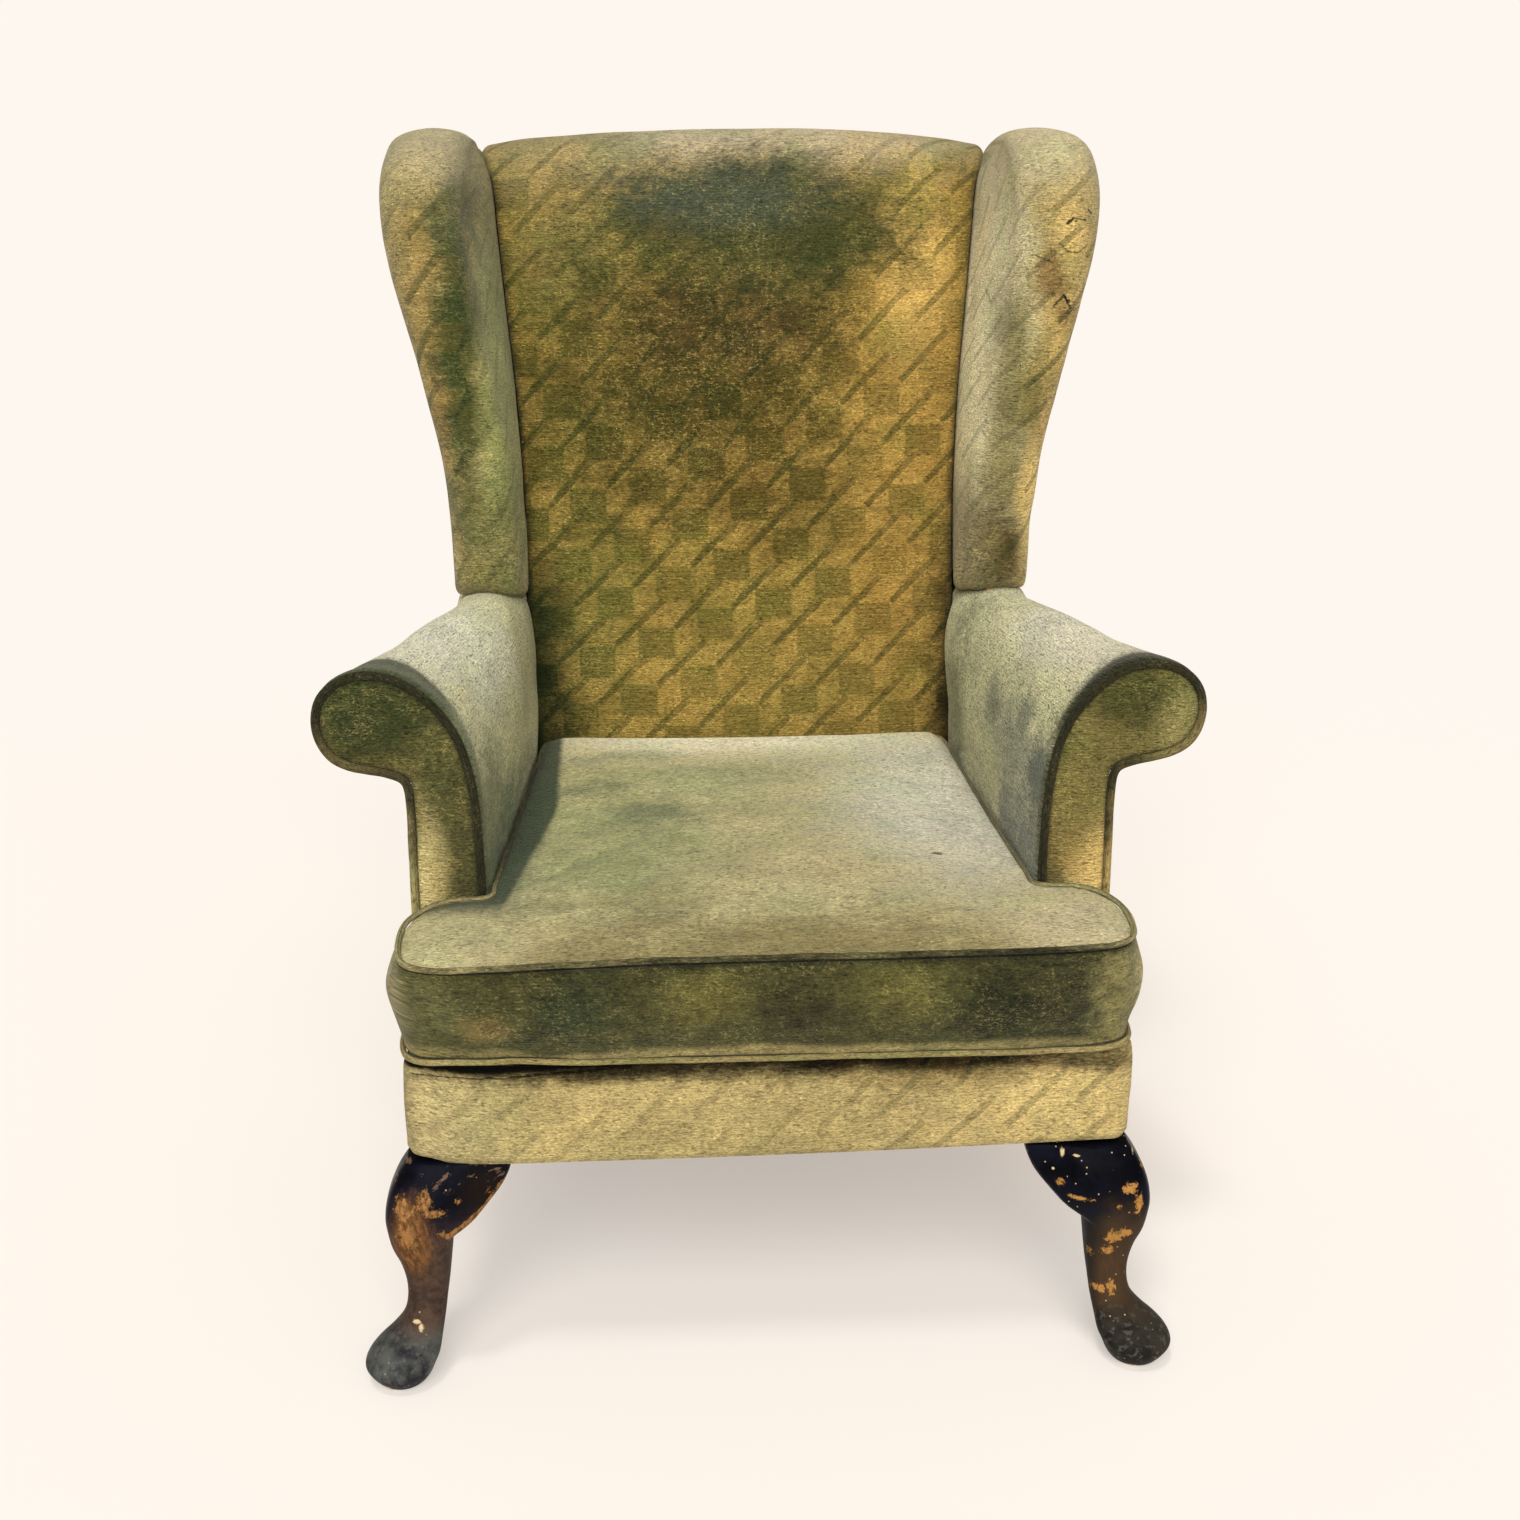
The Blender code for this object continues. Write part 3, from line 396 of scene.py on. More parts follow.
def grain(vec, scale, detail=2.0, rough=0.5, warp=0.0):
    """Fractal noise about 0.5."""
    n = node("ShaderNodeTexNoise", noise_dimensions="3D", normalize=True)
    put(n.inputs["Vector"], vec)
    put(n.inputs["Scale"], scale)
    put(n.inputs["Detail"], detail)
    put(n.inputs["Roughness"], rough)
    put(n.inputs["Distortion"], warp)
    return Val(n.outputs[0])


def cells(vec, scale, feature="F1", out="Distance", spread=1.0, dims="3D"):
    n = node("ShaderNodeTexVoronoi", voronoi_dimensions=dims, feature=feature)
    put(n.inputs["Vector"], vec)
    put(n.inputs["Scale"], scale)
    put(n.inputs["Randomness"], spread)
    return Val(n.outputs[out])


def dice(vec):
    n = node("ShaderNodeTexWhiteNoise", noise_dimensions="3D")
    put(n.inputs["Vector"], vec)
    return Val(n.outputs["Value"])


def xyz(v):
    n = node("ShaderNodeSeparateXYZ")
    put(n.inputs[0], v)
    return [Val(o) for o in n.outputs]


def vec(x, y, z=0.0):
    n = node("ShaderNodeCombineXYZ")
    for s, v in zip(n.inputs, (x, y, z)):
        put(s, v)
    return Val(n.outputs[0])


def place():
    """Where a point is, in laid-out metres (y = 0 on the front of the border)."""
    n = node("ShaderNodeTexCoord")
    return vcalc("ADD", Val(n.outputs["Object"]), (0, DEPTH, 0))


def cloth_place():
    n = node("ShaderNodeAttribute", attribute_name="weave", attribute_type="GEOMETRY")
    return Val(n.outputs["Vector"])


def blob(P, centre, size, soft=(0.25, 1.15), rough=None):
    """1 inside a soft ellipsoid, 0 outside; rough frays its edge."""
    d = vcalc("LENGTH", vcalc("DIVIDE", vcalc("SUBTRACT", P, centre), size))
    if rough is not None:
        d = d + rough
    return span(d, soft[0], soft[1], 1.0, 0.0)


def stroke(P, a, b, width, soft=0.5):
    """1 along the straight line from a to b, seen from the front."""
    flat = vcalc("MULTIPLY", P, (1.0, 0.0, 1.0))
    ab = (b[0] - a[0], 0.0, b[1] - a[1])
    d = vcalc("SUBTRACT", flat, (a[0], 0.0, a[1]))
    t = calc("MULTIPLY", vcalc("DOT_PRODUCT", d, ab), 1.0 / (ab[0] ** 2 + ab[2] ** 2), clamp=True)
    far = vcalc("LENGTH", vcalc("SUBTRACT", d, vcalc("SCALE", ab, scale=t)))
    return span(far, width * (1 - soft), width * (1 + soft), 1.0, 0.0)


def srgb(r, g, b, gain=1.0):
    """A colour by its 8-bit screen values, times gain, as linear light."""
    f = lambda c: c / 255 / 12.92 if c / 255 <= 0.04045 else ((c / 255 + 0.055) / 1.055) ** 2.4
    return tuple(min(1.0, f(c) * gain) for c in (r, g, b))


def start_material(name):
    m = bpy.data.materials.new(name)
    m.use_nodes = True
    Val.tree = m.node_tree
    b = m.node_tree.nodes["Principled BSDF"]
    return m, b


def bump(b, height, distance=1.0, strength=1.0, chain=None):
    n = node("ShaderNodeBump")
    put(n.inputs["Strength"], strength)
    put(n.inputs["Distance"], distance)
    put(n.inputs["Height"], height)
    if chain is not None:
        put(n.inputs["Normal"], chain)
    return Val(n.outputs[0])


# ------------------------------------------------------------------ the woven figure
def fold(x, y, m_off, n_off):
    """Place within the lattice cell of the figure, in millimetres, and the cell's number."""
    m = calc("FLOOR", (64.1 * x - 18.3 * y) / 3558.0 + m_off)
    n = calc("FLOOR", (61.6 * y - 21.3 * x) / 3558.0 + n_off)
    return x - 61.6 * m - 18.3 * n, y - 21.3 * m - 64.1 * n, m, n


def inside(v, lo, hi, soft):
    """1 for lo < v < hi with soft sides."""
    a = span(v, lo - soft, lo + soft, kind="LINEAR")
    b = span(v, hi - soft, hi + soft, 1.0, 0.0, kind="LINEAR")
    return a * b


def rim(u, v, eu, ev, su, sv):
    """1 along the outline of the unit cell 0 < u < 1, 0 < v < 1."""
    big = inside(u, -eu, 1 + eu, su) * inside(v, -ev, 1 + ev, sv)
    return big * (1.0 - inside(u, eu, 1 - eu, su) * inside(v, ev, 1 - ev, sv))


def figure(W):
    """The cloth's figure of cubes and slanting bars at cloth place W in metres:
    (dark square, light side face, light top face, bar, a number for each cube, rings in the
    square, outlines)."""
    jig = grain(W, 420.0, 1.0)
    jig2 = grain(vcalc("ADD", W, (3.1, 1.7, 0.4)), 420.0, 1.0)
    drift = grain(W, 9.0, 1.0)
    drift2 = grain(vcalc("ADD", W, (5.3, 2.9, 1.1)), 9.0, 1.0)
    x0, y0, _ = xyz(W)
    x = x0 * 1000.0 + (jig - 0.5) * 3.0 + (drift - 0.5) * 6.0
    y = y0 * 1000.0 + (jig2 - 0.5) * 3.0 + (drift2 - 0.5) * 6.0
    rx, ry, m, n = fold(x, y, 0.2476, 0.316)
    u, v = rx / 37.8, ry / 34.3
    square = inside(u, 0.015, 0.985, 0.02) * inside(v, 0.015, 0.985, 0.02)
    lines = rim(u, v, 0.012, 0.014, 0.012, 0.014)
    number = dice(vec(m * 1.37 + 0.5, n * 2.11 + 0.5, 0.5))
    rings = calc("MAXIMUM", calc("ABSOLUTE", rx - 18.9) * 0.92, calc("ABSOLUTE", ry - 17.15))
    rx, ry, _, _ = fold(x, y, -0.2524, 0.3162)
    t = (rx - 37.8) / 23.8
    s = (ry - 21.3 * t) / 34.3
    side = inside(t, 0.03, 0.97, 0.03) * inside(s, 0.03, 0.97, 0.02)
    lines = calc("MAXIMUM", lines, rim(t, s, 0.02, 0.014, 0.02, 0.014))
    rx, ry, _, _ = fold(x, y, 0.2477, -0.1839)
    t = (ry - 34.3) / 29.8
    s = (rx - 18.3 * t) / 37.8
    top = inside(t, 0.03, 0.97, 0.03) * inside(s, 0.03, 0.97, 0.02)
    lines = calc("MAXIMUM", lines, rim(t, s, 0.016, 0.012, 0.016, 0.012))
    xs, ys = x - 37.8, y - 34.3
    s = (xs + ys) * 0.70711
    t = (xs - ys) * 0.70711
    m = calc("FLOOR", s / 58.6)
    s0 = s - 58.6 * m
    t0 = t - 28.5 * m
    near = lambda v: calc("ABSOLUTE", v - 61.2 * calc("FLOOR", v / 61.2 + 0.5))
    one, two = near(t0), near(t0 + 28.5)
    gap = span(s0, 11.4, 13.4, 1.0, 0.0)
    bar = calc("MAXIMUM", span(one, 3.1, 3.9, 1.0, 0.0), span(two, 3.1, 3.9, 1.0, 0.0) * gap)
    edge = calc("MAXIMUM", inside(one, 3.9, 5.0, 0.4), inside(two, 3.9, 5.0, 0.4) * gap)
    return square, side, top, bar, number, rings, calc("MAXIMUM", lines * (1.0 - bar), edge)


def chenille(name, base, patches=(), shown=0.0, shown_patches=(), slub=1.0, noise_seed=0.0,
             hairs=0.35, dark=0.55, sheen=0.15, grid=0.5, speck=0.0, spots=(), wander=0.03, zoned=None,
             shades=(), strokes=(), scuffs=0.0, drift=1.0, rubs=(), ink=(46, 38, 24), reach=None):
    """Worn ribbed chenille. base and most patches' colours are what the cloth looks like in
    full light, but some patches are painted shade and some painted light; shown is how clearly the woven figure still
    reads, from 0 to 1. zoned is (base, patches) for the boxing of a piece whose cloth place holds a zone number. shades
    are (planes, colour, amount), areas of another colour with a clean edge, some of them painted shade, a plane being
    (direction, from, softness). rubs are (centre, size, amount) where long pale fibres stand out of the pile."""
    m, b = start_material(name)
    P0 = place()
    W = cloth_place()
    x, y, zone = xyz(W)
    if zoned:
        px, py, pz = xyz(P0)
        boxing = span(zone, 0.10, 0.22) * span(zone, 1.70, 1.90, 1.0, 0.0)
        x = mixf(boxing, px, px + py * 0.8)
        y = mixf(boxing, py, pz)
    # small streaks lying across the cloth where the pile is rubbed
    streak = grain(vec(x * 165.0, y * 540.0, 1.3), 1.0, 2.0, 0.66)
    streak2 = grain(vec(x * 400.0, y * 820.0, 6.1), 1.0, 1.0, 0.6)
    mottle = grain(vec(x * 62.0, y * 112.0, 2.7), 1.0, 3.0, 0.72)
    mottle2 = grain(vec(x * 15.0, y * 21.0, 4.1), 1.0, 2.0, 0.64)
    # the patches' edges wander and fray so that they read as dirt and wear; the patches of painted shade and painted
    # light get the same ragged edges
    w1 = grain(vcalc("ADD", P0, (noise_seed, 0, 0)), 13.0, 1.5, 0.6)
    w2 = grain(vcalc("ADD", P0, (0, noise_seed + 7.0, 0)), 13.0, 1.5, 0.6)
    w3 = grain(vcalc("ADD", P0, (0, 0, noise_seed + 3.0)), 110.0, 1.0, 0.6)
    P = vcalc("ADD", P0, vec((w1 - 0.5) * wander, (w2 - 0.5) * wander * 0.7, (w2 - 0.5) * wander))
    rough = (mottle - 0.5) * 0.55 + (mottle2 - 0.5) * 0.55 + (streak - 0.5) * 0.40
    col = base
    for centre, size, colour, amount in patches:
        col = mix(blob(P, centre, size, rough=rough) * amount, col, colour)
    if zoned:
        col2 = zoned[0]
        for centre, size, colour, amount in zoned[1]:
            col2 = mix(blob(P, centre, size, rough=rough) * amount, col2, colour)
        col = mix(boxing, col, col2)
    # faded unevenly: greener here, yellower there
    hue = grain(vcalc("ADD", P0, (noise_seed, 2.0, 1.0)), 11.0, 2.0, 0.65)
    col = mix(span(hue, 0.48, 0.66) * (0.75 * drift), col, (0.80, 0.93, 0.80), "MULTIPLY")
    col = mix(span(hue, 0.50, 0.34) * (0.55 * drift), col, (1.10, 1.03, 0.92), "MULTIPLY")
    tone = (1.0 + (streak - 0.5) * (1.15 * slub) + (mottle - 0.5) * 0.62 + (mottle2 - 0.5) * 0.60
            + (streak2 - 0.5) * 1.0 * slub)
    if zoned:
        # the boxing is blotched with damp and pressed pile
        blotch = grain(vec(x * 34.0, y * 52.0, 5.1), 1.0, 4.0, 0.66)
        tone = tone + boxing * ((blotch - 0.5) * 1.15 + (mottle - 0.5) * 0.80)
    height = (streak - 0.5) * 1.1 + (streak2 - 0.5) * 0.8
    # the figure, where it isn't rubbed away
    if shown > 0 or shown_patches:
        square, side, top, bar, number, rings, lines = figure(W)
        show = shown
        for centre, size, amount in shown_patches:
            show = mixf(blob(P, centre, size, rough=rough), show, amount)
        if not isinstance(show, Val):
            show = calc("ADD", show, 0.0)
        wear = span(mottle + (mottle2 - 0.5) * 0.8, 0.28, 0.52, 0.60, 1.0)
        bars = bar * calc("SQRT", show) * 0.9
        show = show * wear
        rib = calc("SINE", y * 1420.0 + (streak - 0.5) * 10.0 + (mottle - 0.5) * 5.0)
        sq = square * show
        threads = span(rib, 0.62, 0.92) * span(streak2, 0.40, 0.58)
        tone = tone * (1.0 - sq * (0.01 + number * 0.11 + span(rib, 0.3, -0.7) * 0.20))
        tone = tone * (1.0 + sq * threads * 0.34)
        lights = calc("MAXIMUM", side, top) * show
        tone = tone * (1.0 + lights * (0.11 + (number - 0.5) * 0.20))
        tone = tone * (1.0 - bars * 0.34)
        broken = span(grain(vec(x * 190.0, y * 190.0, 7.7), 1.0, 2.0, 0.6), 0.42, 0.60)
        tone = tone * (1.0 + lines * show * broken * 0.40)
        col = mix(bars * 0.75, col, mix(0.55, col, srgb(84, 88, 42)))
        col = mix(sq * (0.06 + number * 0.34), col, mix(0.5, col, srgb(82, 90, 44)))
        col = mix(lights * 0.45, col, mix(0.5, col, srgb(196, 156, 84)))
    # fine cross weave
    weft = calc("SINE", y * 2300.0) * 0.5 + 0.5
    warp_t = calc("SINE", x * 2500.0 + calc("FLOOR", y * 366.0) * 3.1416) * 0.5 + 0.5
    tone = tone * (1.0 - grid * 0.16 * (1.0 - weft) - grid * 0.12 * (1.0 - warp_t))
    # pale curly fibres lying on the pile, and the grubby gaps between them
    bend = vec(x * 0.75 + (streak - 0.5) * 0.005, y * 1.2 + (w3 - 0.5) * 0.007, 0.0)
    curl = cells(bend, 300.0, "DISTANCE_TO_EDGE", dims="2D")
    curls = span(curl, 0.05, 0.17, 1.0, 0.0) * span(grain(vec(x * 240.0, y * 330.0, 5.5), 1.0, 1.0, 0.6), 0.48, 0.60)
    curls = curls * span(mottle2 + (mottle - 0.5) * 0.5, 0.36, 0.62, 0.25, 1.25)
    tone = tone * (1.0 + curls * hairs)
    col = mix(curls * hairs * 0.8, col, mix(0.5, col, srgb(206, 180, 116)))
    if rubs:
        rub = None
        for centre, size, amount in rubs:
            g = blob(P, centre, size, rough=rough) * amount
            rub = g if rub is None else calc("MAXIMUM", rub, g)
        long = cells(vec(x * 0.8 + (streak - 0.5) * 0.008, y * 1.15 + (w3 - 0.5) * 0.012, 3.0), 240.0, "DISTANCE_TO_EDGE", dims="2D")
        long = span(long, 0.03, 0.11, 1.0, 0.0) * span(grain(vec(x * 170.0, y * 230.0, 6.6), 1.0, 1.0, 0.6), 0.52, 0.60) * rub
        tone = tone * (1.0 + long * 0.55)
        col = mix(long * 0.50, col, mix(0.5, col, srgb(206, 172, 100)))
    # broken threads: short dark gaps and pale floats lying along the weft
    dash = grain(vec(x * 290.0, y * 1100.0, 4.4), 1.0, 1.0, 0.5)
    tone = tone * (1.0 - span(dash, 0.56, 0.66) * 0.26) * (1.0 + span(dash, 0.43, 0.34) * 0.20)
    nubs = span(grain(vec(x * 260.0, y * 360.0, 2.2), 1.0, 1.0, 0.5), 0.64, 0.73)
    tone = tone * (1.0 + nubs * (0.12 + hairs * 0.9))
    pits = span(grain(vec(x * 180.0, y * 420.0, 8.8), 1.0, 1.0, 0.5), 0.33, 0.40, 1.0, 0.0)
    tone = tone * (1.0 - pits * dark)
    if scuffs > 0:
        # fine lines where rings, sleeves and claws have caught the pile
        for k, (ca, sa) in enumerate(((0.80, 0.60), (0.35, -0.94), (0.97, -0.26))):
            u = x * ca + y * sa
            v = y * ca - x * sa
            line = span(grain(vec(u * 70.0, v * 620.0, 3.9 + k), 1.0, 1.0, 0.4), 0.665, 0.71)
            line = line * span((w1, w2, hue)[k], 0.46, 0.56)
            tone = tone * (1.0 - line * scuffs)
    if speck > 0:
        few = span(w2 * 0.5 + mottle2 * 0.5, 0.48, 0.58)
        d = cells(vec(x, y * 1.7, 0.2), 80.0)
        e = cells(vec(x * 1.2, y * 1.2, 4.2), 160.0)
        dots = calc("MAXIMUM", span(d, 0.07, 0.16, 1.0, 0.0), span(e, 0.08, 0.17, 1.0, 0.0) * 0.8)
        col = mix(dots * few * speck, col, srgb(58, 50, 32))
    # shades: clean-edged areas of another colour; some of them are painted shade
    for planes, colour, amount in shades:
        f = None
        for direction, start, soft in planes:
            g = span(vcalc("DOT_PRODUCT", P0, direction) + (mottle - 0.5) * soft * 2.0, start - soft, start + soft)
            f = g if f is None else f * g
        col = mix(f * amount, col, colour)
    for centre, size, colour, amount in spots:
        Q = vcalc("ADD", P0, vec((w3 - 0.5) * 0.006, (w3 - 0.5) * 0.004, (w3 - 0.5) * 0.006))
        col = mix(blob(Q, centre, size, (0.5, 1.0)) * amount, col, colour)
    if strokes:
        Q = vcalc("ADD", P0, vec((w3 - 0.5) * 0.005, 0.0, (streak - 0.5) * 0.004))
        cut = None
        for a_, b_, width, amount in strokes:
            g = stroke(Q, a_, b_, width) * amount
            cut = g if cut is None else calc("MAXIMUM", cut, g)
        if reach is not None:
            cut = cut * span(xyz(P0)[1], reach, reach + 0.03, 1.0, 0.0)
        col = mix(cut, col, srgb(*ink))
    if zoned:
        # the stitching beside each cord
        seam = calc("MAXIMUM", span(zone, 0.26, 0.38) * span(zone, 0.52, 0.66, 1.0, 0.0),
                    span(zone, 1.34, 1.46) * span(zone, 1.60, 1.72, 1.0, 0.0))
        seam = seam * span(streak, 0.25, 0.45, 0.6, 1.0)
        tone = tone * (1.0 - seam * 0.62)
        height = height - seam * 1.5
    n = node("ShaderNodeVectorMath", operation="SCALE")
    put(n.inputs[0], col)
    put(n.inputs["Scale"], calc("MINIMUM", calc("MAXIMUM", tone, 0.15), 1.9))
    put(b.inputs["Base Color"], Val(n.outputs[0]))
    put(b.inputs["Roughness"], 0.92)
    b.inputs["Specular IOR Level"].default_value = 0.12
    b.inputs["Sheen Weight"].default_value = sheen
    b.inputs["Sheen Roughness"].default_value = 0.45
    b.inputs["Sheen Tint"].default_value = (0.95, 0.92, 0.75, 1)
    height = height + (weft - 0.5) * 0.25 * grid + (warp_t - 0.5) * 0.15 * grid
    put(b.inputs["Normal"], bump(b, height, 0.0016, 1.0))
    return m


# ------------------------------------------------------------------ filled plates
def within(P, poly):
    """True for the points P (n, 2) inside the closed polygon."""
    x, y = P[:, 0][:, None], P[:, 1][:, None]
    x0, y0 = poly[:, 0], poly[:, 1]
    x1, y1 = np.roll(x0, -1), np.roll(y0, -1)
    cross = (y0 > y) != (y1 > y)
    at = (x1 - x0) * (y - y0) / np.where(y1 == y0, 1e-12, y1 - y0) + x0
    return (np.sum(cross & (x < at), axis=1) % 2) == 1


def edge_distance(P, poly):
    """Distance from points P to the closed outline."""
    best = np.full(len(P), 1e9)
    for a, b in zip(poly, np.roll(poly, -1, 0)):
        ab = b - a
        t = np.clip(((P - a) @ ab) / max(ab @ ab, 1e-18), 0, 1)
        best = np.minimum(best, np.linalg.norm(P - (a + t[:, None] * ab), axis=1))
    return best


def filled(outline, step):
    """Points and triangles that fill a closed outline; the outline's points come first."""
    poly = np.asarray(outline, float)
    lo, hi = poly.min(0), poly.max(0)
    rows = np.arange(lo[1], hi[1], step * 0.866)
    pts = []
    for k, y in enumerate(rows):
        xs = np.arange(lo[0] + (step / 2 if k % 2 else 0), hi[0], step)
        pts.append(np.stack([xs, np.full(len(xs), y)], 1))
    pts = np.vstack(pts)
    pts = pts[within(pts, poly)]
    pts = pts[edge_distance(pts, poly) > 0.55 * step]
    allp = np.vstack([poly, pts])
    n = len(poly)
    out = delaunay_2d_cdt([Vector(p) for p in allp], [(i, (i + 1) % n) for i in range(n)], [], 1, 1e-7)
    verts = np.array([v[:] for v in out[0]])
    faces = np.array([f for f in out[2] if len(f) == 3])
    return verts, faces


def even(poly, step):
    """A closed polygon with its corners kept and points about every step along its sides."""
    out = []
    poly = np.asarray(poly, float)
    for a, b in zip(poly, np.roll(poly, -1, 0)):
        n = max(1, int(round(np.linalg.norm(b - a) / step)))
        out += [a + (b - a) * k / n for k in range(n)]
    return np.array(out)


def along(points, step):
    """Points about every step along an open line, its corners and ends kept."""
    pts = np.asarray(points, float)
    out = []
    for a, b in zip(pts, pts[1:]):
        n = max(1, int(round(np.linalg.norm(b - a) / step)))
        out += [a + (b - a) * k / n for k in range(n)]
    return np.array(out + [pts[-1]])


def roll(d, R):
    """How far an edge rounded with radius R has dropped at distance d from its end."""
    k = np.clip(1 - np.asarray(d, float) / R, 0, 1)
    return R * (1 - np.sqrt(np.maximum(0, 1 - k * k)))


def plate(name, outline, step, front, back, mat, weave=None, n_rim=1, sharp=None):
    """A thin closed piece from a flat outline; front and back map (points, distance to the
    outline) to space."""
    V2, T = filled(outline, step)
    d = edge_distance(V2, np.asarray(outline, float))
    n = len(outline)
    d[:n] = 0
    A, B = front(V2, d), back(V2, d)
    V = np.vstack([A, B])
    k = len(V2)
    i = np.arange(n)
    j = (i + 1) % n
    rim = np.stack([i, j, j + k, i + k], 1)
    tris = np.vstack([T, T[:, ::-1] + k])
    W = weave(V2) if weave else V2
    me = mesh_of(name, V, rim, tris, np.vstack([W, W]))
    return piece(name, me, mat, sharp=sharp)


# ------------------------------------------------------------------ inside back
def make_back(mat):
    name = "back_pad"
    d = np.array([0, .0002, .0007, .0015, .0026, .0040, .0058, .0080, .0108, .0140])
    inner = np.linspace(-1 + .0170 / .24, 1 - .0170 / .24, 135)
    us = np.concatenate([-1 + d / .24, inner, (1 - d / .24)[::-1]])
    ctrl = []
    for u in us:
        edge = 1 - abs(u) ** 2.4
        crown = 0.016 * edge
        top = 1.0265 + 0.018 * (1 - u * u)
        yc = face_y(0.965) + 0.0500
        c = [(face_y(z) - crown * min(1, (z - 0.30) / 0.12 + 0.4), z)
             for z in (0.3060, 0.42, 0.55, 0.68, 0.80, 0.90, 0.955)]
        c.append((yc - 0.0490 - crown * 0.6, POST_TOP + 4 * GAP))
        for a in (150, 125, 100, 75, 50, 25):
            ca, sa = math.cos(math.radians(a)), math.sin(math.radians(a))
            c.append((yc + 0.0490 * ca - (crown * 0.5 if a > 100 else 0), 0.982 + (top - 0.982) * sa))
        back = post_y(POST_TOP) + POST_DEPTH + PANEL
        c += [(back, 1.0000), (back, POST_TOP + 4 * GAP)]
        ctrl.append(c)
    ctrl = np.array(ctrl).transpose(1, 0, 2)
    mid = ctrl[:, len(us) // 2]
    knots = np.concatenate([[0], np.cumsum(np.linalg.norm(np.diff(mid, axis=0), axis=1))])
    at = np.concatenate([np.arange(0, 0.115, 0.012), np.arange(0.120, knots[-1] - 0.002, 0.0038), [knots[-1]]])
    F = spline(knots, ctrl.reshape(len(knots), -1), at).reshape(len(at), len(us), 2)
    X = us[None] * (junction(F[..., 1]) - GAP)
    P = np.stack([X, F[..., 0], F[..., 1]], -1)
    T = np.gradient(F, axis=0)
    T /= np.linalg.norm(T, axis=-1, keepdims=True)
    inward = np.stack([np.zeros(X.shape), T[..., 1], -T[..., 0]], -1)
    edge = (1 - np.abs(us))[None] * np.abs(junction(F[..., 1]))
    away = step01(edge, 0.0, 0.05)
    lump = (noise(P, 0.11, 3) * 0.0016 + noise(P, 0.045, 5) * 0.0007) * away
    # the padding has sunk a little behind the sitter's back and under the head
    lump += -0.004 * np.exp(-((P[..., 0] / 0.13) ** 2 + ((P[..., 2] - 0.62) / 0.16) ** 2))
    lump += 0.003 * np.exp(-((P[..., 0] / 0.18) ** 2 + ((P[..., 2] - 0.90) / 0.07) ** 2))
    P = P + inward * (roll(edge, 0.0105) - lump)[..., None]
    v = np.array([np.interp(0.43, F[:60, len(us) // 2, 1], at[:60])])
    W = np.stack([P[..., 0] + 0.0221, np.broadcast_to((at - v)[:, None] + 0.0053, X.shape)
                  - 0.008 * np.clip((0.68 - P[..., 2]) / 0.18, 0, 1.3)], -1)
    inset = 2 * WEB + 4 * GAP
    rear = [(post_y(POST_TOP) - inset, POST_TOP + 4 * GAP)] + [
        (post_y(z) - inset, z) for z in (0.970, 0.955, 0.90, 0.80, 0.68, 0.55, 0.42, 0.3060)]
    rear = np.array(rear)
    RX = us[None] * (junction(rear[:, 1])[:, None] - GAP)
    Q = np.stack([RX, np.broadcast_to(rear[:, :1], RX.shape), np.broadcast_to(rear[:, 1:], RX.shape)], -1)
    WQ = np.stack([RX, np.broadcast_to(rear[:, 1:], RX.shape)], -1)
    G = np.concatenate([P, Q], 0)
    R, C = G.shape[:2]
    caps = [[i * C for i in range(R)], [i * C + C - 1 for i in range(R)]]
    me = mesh_of(name, G, quads_of(R, C, True, False), weave=np.concatenate([W, WQ], 0), polys=caps)
    ob = piece(name, me, mat, sharp=70)
    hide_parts("inside_back")
    return ob


# ------------------------------------------------------------------ wings
WING = [
    (0.00, 0.4560, 0.5965, 0.2620, 0.0330), (0.09, 0.4500, 0.6600, 0.2625, 0.0335),
    (0.18, 0.4430, 0.7300, 0.2670, 0.0345), (0.27, 0.4370, 0.8000, 0.2790, 0.0355),
    (0.36, 0.4340, 0.8700, 0.2940, 0.0370), (0.45, 0.4380, 0.9350, 0.3055, 0.0395),
    (0.53, 0.4520, 0.9850, 0.3110, 0.0410), (0.61, 0.4830, 1.0240, 0.3100, 0.0410),
    (0.70, 0.5330, 1.0440, 0.3070, 0.0400), (0.80, 0.5950, 1.0470, 0.3040, 0.0380),
    (0.90, 0.6600, 1.0380, 0.3000, 0.0350), (1.00, 0.7150, 1.0180, 0.2960, 0.0310),
]
ARM_SHOULDER = [(0.2150, 0.5300), (0.2185, 0.5540), (0.2255, 0.5730), (0.2360, 0.5850), (0.2490, 0.5925),
                (0.2610, 0.5955), (0.2730, 0.5945), (0.2845, 0.5900), (0.2940, 0.5800), (0.2985, 0.5670)]


def wing_line(s):
    a = np.array(WING)
    return spline(a[:, 0], a[:, 1:], s)


def wing_rear(s):
    s = np.asarray(s, float)
    z = spline([0.0, 0.36, 0.70], np.array([0.5965, 0.8500, POST_TOP + 2 * GAP]), np.minimum(s, 0.70)).ravel()
    y = post_y(z) - WEB - 2 * GAP
    t = np.clip((s - 0.70) / 0.30, 0, 1)
    y = y + t * (POST_DEPTH + PANEL + WEB + 3 * GAP)
    return y, z


